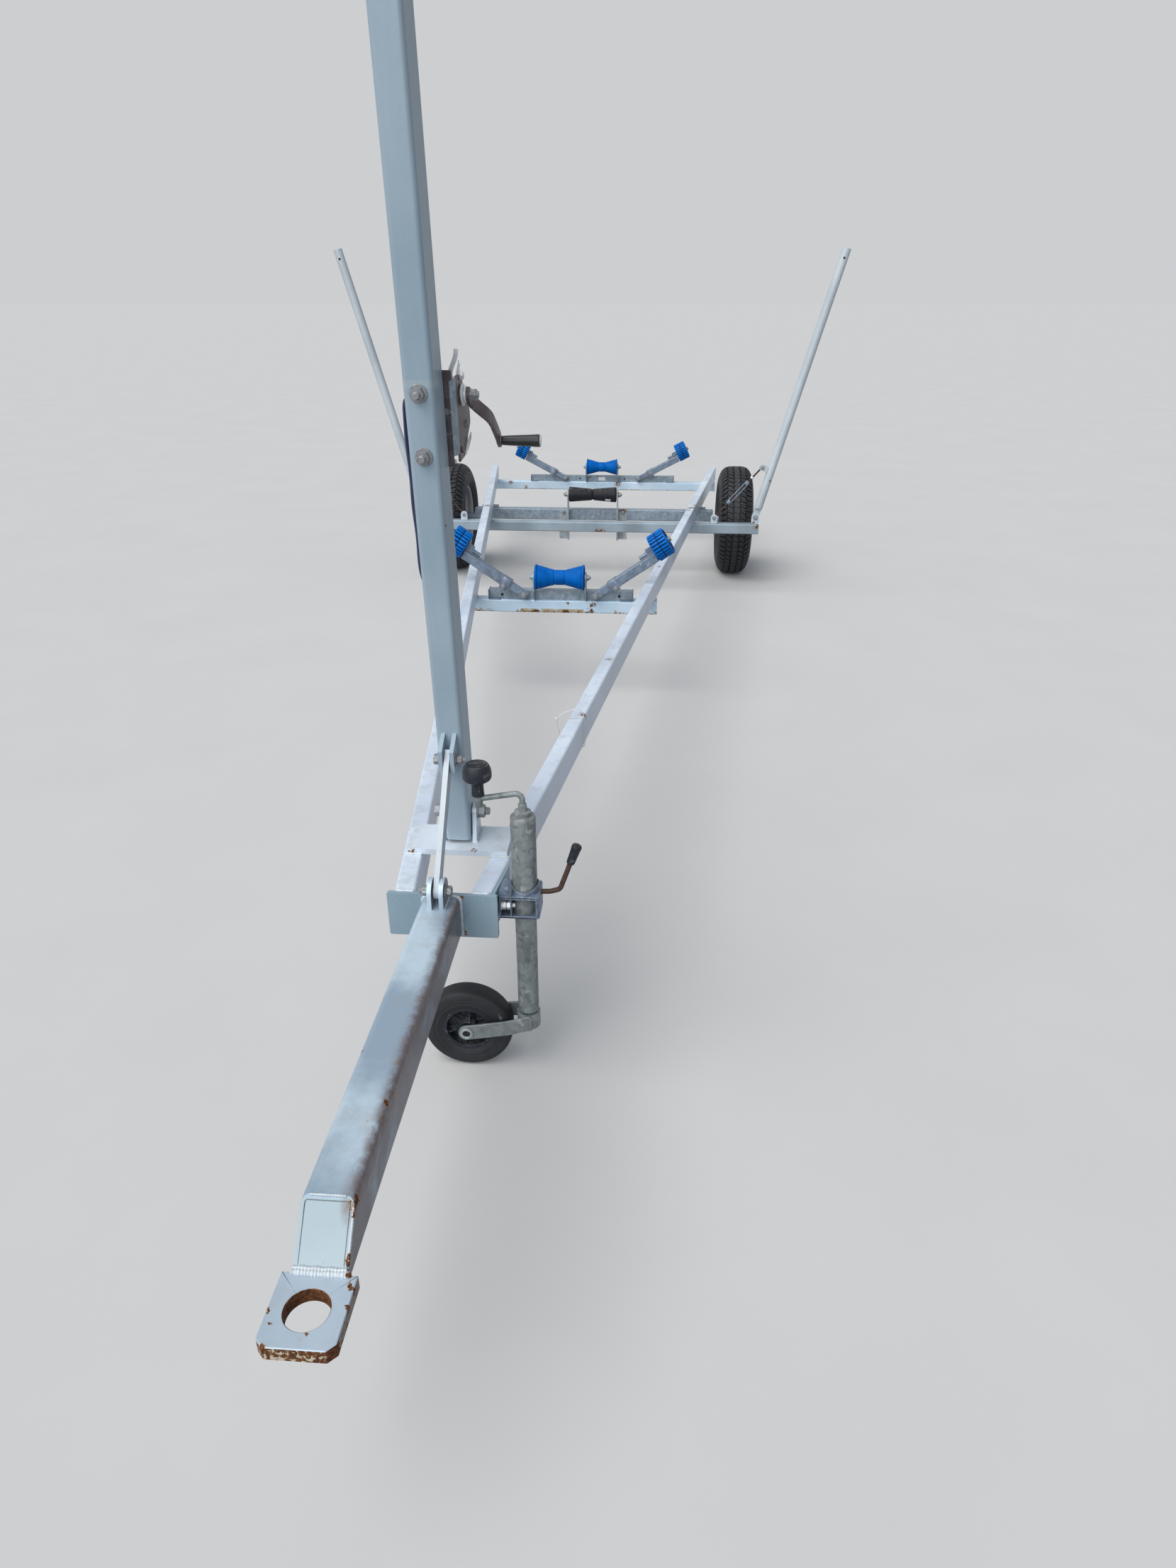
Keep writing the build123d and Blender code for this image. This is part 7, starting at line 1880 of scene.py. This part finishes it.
@dataclass(frozen=True)
class GuidePole(Assembly):
    """One leaning guide pole with its turnbuckle.

    The side is -1 for the left pole and 1 for the right one. The buckle's lean is that of its axis.
    """

    side: int
    lean: float = 15.2
    foot: Point = (0.888, 1.67, 0.396)
    buckle_foot: Point = (0.671, 1.67, 0.39)
    buckle_lean: tuple[float, float] = (0.670806, 0.741633)

    @property
    def word(self) -> str:
        """The side's name."""
        return "left" if self.side < 0 else "right"

    def leaning(self, foot: Sequence[float], out: float, up: float) -> Place:
        """A frame at a foot, whose z leans outwards by a unit vector's two parts."""
        return Place((self.side * foot[0], *foot[1:]), (self.side * up, 0.0, -out), REARWARD,
                     (self.side * out, 0.0, up))

    @property
    def pole(self) -> Place:
        """The pole's frame."""
        return self.leaning(self.foot, sin(radians(self.lean)), cos(radians(self.lean)))

    @property
    def buckle(self) -> Place:
        """The turnbuckle's frame."""
        return self.leaning(self.buckle_foot, *self.buckle_lean)

    def build(self) -> None:
        """Dresses the pole and builds its hole as a dark disc of painted shade, its bolts and turnbuckle."""
        pole = self.pole
        dress(Finish.POLE, "guide_pole_" + self.word)
        # A dark disc on the pole's front: painted shade of a through hole.
        hole = Surface()
        hole.grid(lathe(disc(0, 0.0012, 0.0052), pole.at(0.0, -0.0203, 1.262), FORWARD, 20))
        hole.build("pole_hole_shade_" + self.word, Finish.PAINTED_HOLE_SHADE, "guide_pole_" + self.word, "pole_paint")
        bolts = Surface()
        lug = pole.at(-0.049, 0.0, 0.25)
        fasten(bolts, lug + (0, -0.0122, 0), FORWARD, Thread.M10)
        fasten(bolts, lug + (0, 0.0112, 0), REARWARD, Thread.M10, 0.004)
        beads = Surface()
        for z in (0.237, 0.263):
            bead(beads, [pole.at(-0.0205, -0.0105, z - 0.002), pole.at(-0.0205, -0.0105, z + 0.002)], 0.004)
        bead(beads, [pole.at(-0.02, -0.012, 0.2355), pole.at(-0.02, -0.012, 0.2645)], 0.005, 1.0)
        bead(beads, [pole.at(-0.0175, -0.0048, 0.0455), pole.at(0.0175, -0.0048, 0.0455)], 0.0055, 2.0)
        beads.build("pole_weld_" + self.word, Finish.POLE, "guide_pole_" + self.word, "pole_paint", sharp=60)
        bolts.build("pole_lug_bolt_" + self.word, Finish.BOLTS, "guide_pole_" + self.word)
        self.body()
        self.hook()

    def ring(self, along: float, big: float, small: float) -> Array:
        """A round ring about the buckle's cross bolt: (R + r cos v) about it, r sin v across."""
        u = np.linspace(0, 2 * pi, 40, endpoint=False)[:, None]
        v = np.linspace(0, 2 * pi, 12, endpoint=False)[None, :]
        reach = big + small * np.cos(v)
        ring = [reach * np.sin(u), small * np.sin(v) + 0 * u, along + reach * np.cos(u)]
        return self.buckle.lay(np.stack(ring, -1))

    def rod(self, surface: Surface, start: float, stop: float, bare: float) -> None:
        """Adds a rod that is threaded up to a distance and smooth past it."""
        along = np.linspace(start, stop, int((stop - start) / 0.0004))
        threaded = along < bare if stop > start and bare > start else along < start
        radius = np.where(threaded, 0.0048 - 0.0004 * (0.5 + 0.5 * np.cos(2 * pi * along / 0.0016)), 0.0046)
        profile = np.concatenate([[(start, 0)], np.column_stack([along, radius]), [(stop, 0)]])
        surface.grid(lathe(profile, self.buckle.origin, self.buckle.z, 16))

    def body(self) -> None:
        """The turnbuckle's open body of two bars between collars, with the lower eye rod and its nut."""
        buckle = self.buckle
        frame_part = Surface()
        for low, high in ((0.1, 0.12), (0.232, 0.252)):
            collar = chamfered(low, high, 0.0108, 0.001, 0.001, bore=0.0052)
            frame_part.grid(lathe(collar, buckle.origin, buckle.z, 30), along=True)
        for side in SIDES:
            bar = [np.column_stack([box_outline(0.0052, d, 0.0018) + (side * x, 0), np.full(16, z)]) for x, d,
                   z in ((0.007, 0.009, 0.113), (0.0082, 0.009, 0.124), (0.0082, 0.009, 0.228),
                         (0.007, 0.009, 0.239))]
            frame_part.grid(buckle.lay(np.stack(bar)))
        frame_part.build("buckle_body_" + self.word, Finish.ARMS, "turnbuckle_" + self.word, "galvanised",
                         ("turnbuckle_" + self.word,))
        rust = Surface()
        self.rod(rust, 0.012, 0.152, 0.152)
        rust.grid(self.ring(0.0, 0.0096, 0.0038), along=True)
        nut = chamfered(0.088, 0.096, 0.0092, 0.001, 0.0007)
        rust.grid(lathe(nut, buckle.origin, buckle.z, 36, hexagon(0.017)))
        rust.build("buckle_eye_rod_" + self.word, Finish.RUSTY, "turnbuckle_" + self.word)

    def hook(self) -> None:
        """The upper rod, rusty, with its nut and the eye round the lug's bolt."""
        buckle = self.buckle
        word = "turnbuckle_rod_" + self.word
        rust = Surface()
        self.rod(rust, 0.195, 0.34, 0.3)
        rust.grid(self.ring(0.3507, 0.01, 0.0036), along=True)
        rust.build("hooked_rod_" + self.word, Finish.RUSTY, word, "galvanised", (word,))
        nut = chamfered(0.274, 0.284, 0.0096, 0.001, 0.0008)
        Surface().grid(lathe(nut, buckle.origin, buckle.z, 36, hexagon(0.018))).build(
            "hook_nut_" + self.word, Finish.ZINC_PAINTED_GLINT, word)


# ---------------------------------------------------------------------------
# Studio
# ---------------------------------------------------------------------------

@dataclass(frozen=True)
class Studio(Assembly):
    """Floor, world, lamps and the photograph's camera: where it stands, its tilt and turn, and its focal length."""

    floor_half: float = 300.0
    eye: Point = (0.3891, -3.8136, 1.453)
    tilt: float = 64.16
    turn: float = 4.07
    focal_pixels: float = 1422.8
    frame_pixels: int = 2212
    sensor: float = 36.0

    def build(self) -> None:
        """Sets up a pale floor, an even sky and soft lamps, and the photograph's camera."""
        self.floor()
        self.world()
        self.sun("high_cloud", (-0.42, -0.3, 0.86), 45.0, 1.79, (1.0, 0.985, 0.96))
        self.sun("front_cloud", (-0.25, -0.9, 0.4), 60.0, 1.6, (0.97, 0.985, 1.0))
        self.camera()
        scene = bpy.context.scene
        scene.view_settings.view_transform = "Standard"

    def floor(self) -> None:
        """A large floor, pale to the camera and mid grey to what it lights, which isn't part of the trailer."""
        mesh = bpy.data.meshes.new("floor")
        half = self.floor_half
        mesh.from_pydata([(-half, -half, 0), (half, -half, 0), (half, half, 0), (-half, half, 0)], [], [(0, 1, 2, 3)])
        r = Recipe("pale_floor")
        cloud = r.noise(2.0, 3.0).rise(0.2, 0.8)
        pale = r.mix(cloud, (0.62, 0.61, 0.599), (0.641, 0.631, 0.62))
        mesh.materials.append(r.end(Base_Color=r.mix(r.seen(), (0.18, 0.185, 0.195), pale), Roughness=0.85,
                                    Specular_IOR_Level=0.1))
        floor = bpy.data.objects.new("floor", mesh)
        bpy.context.scene.collection.objects.link(floor)

    def world(self) -> None:
        """An even sky that lights the trailer, and looks like the far floor to the camera."""
        r = Recipe("sky", bpy.data.worlds)
        tone = r.mix(r.seen(), (0.291, 0.324, 0.367), (0.606, 0.619, 0.633))
        r.node("ShaderNodeOutputWorld", {}, {"Surface": r.take("ShaderNodeBackground", {}, {"Color": tone})})
        bpy.context.scene.world = r.owner

    def sun(self, name: str, towards: Sequence[float], wide: float, power: float, colour: Colour) -> None:
        """A wide sun, as through thin cloud.

        Args:
            name: The lamp's name.
            towards: The direction that it stands in.
            wide: Its breadth in degrees.
            power: Its strength.
            colour: Its colour.
        """
        light = bpy.data.lights.new(name, "SUN")
        light.energy, light.angle, light.color = power, radians(wide), colour
        lamp = bpy.data.objects.new(name, light)
        lamp.rotation_euler = Vector(towards).to_track_quat("Z", "Y").to_euler()
        bpy.context.scene.collection.objects.link(lamp)

    def camera(self) -> None:
        """The photograph's camera: a phone held at chest height, ahead of the eye and a little to the right."""
        data = bpy.data.cameras.new("view")
        data.lens, data.sensor_width = self.sensor * self.focal_pixels / self.frame_pixels, self.sensor
        data.sensor_fit = "AUTO"
        data.clip_start, data.clip_end = 0.05, 200.0
        camera = bpy.data.objects.new("view", data)
        camera.location = self.eye
        camera.rotation_euler = (radians(self.tilt), 0.0, radians(self.turn))
        bpy.context.scene.collection.objects.link(camera)
        bpy.context.scene.camera = camera


def main() -> None:
    """Builds the trailer's groups in order, then the studio."""
    logging.basicConfig(level=logging.INFO, format="%(message)s")
    groups: list[Assembly] = [
        MainFrame(), MastGroup(), JockeyGroup(), RoadWheel(-1), RoadWheel(1),
        RollerSet("front", web=0.113, channel_half=0.285, arm_root=0.142, arm_angle=34.0, hole=0.234),
        RollerSet("rear", web=2.959, channel_half=0.462, arm_root=0.236, arm_angle=27.0, hole=0.144),
        AxleRoller(), GuidePole(-1), GuidePole(1), Studio()]
    for group in groups:
        group.build()


if __name__ == "__main__":
    main()
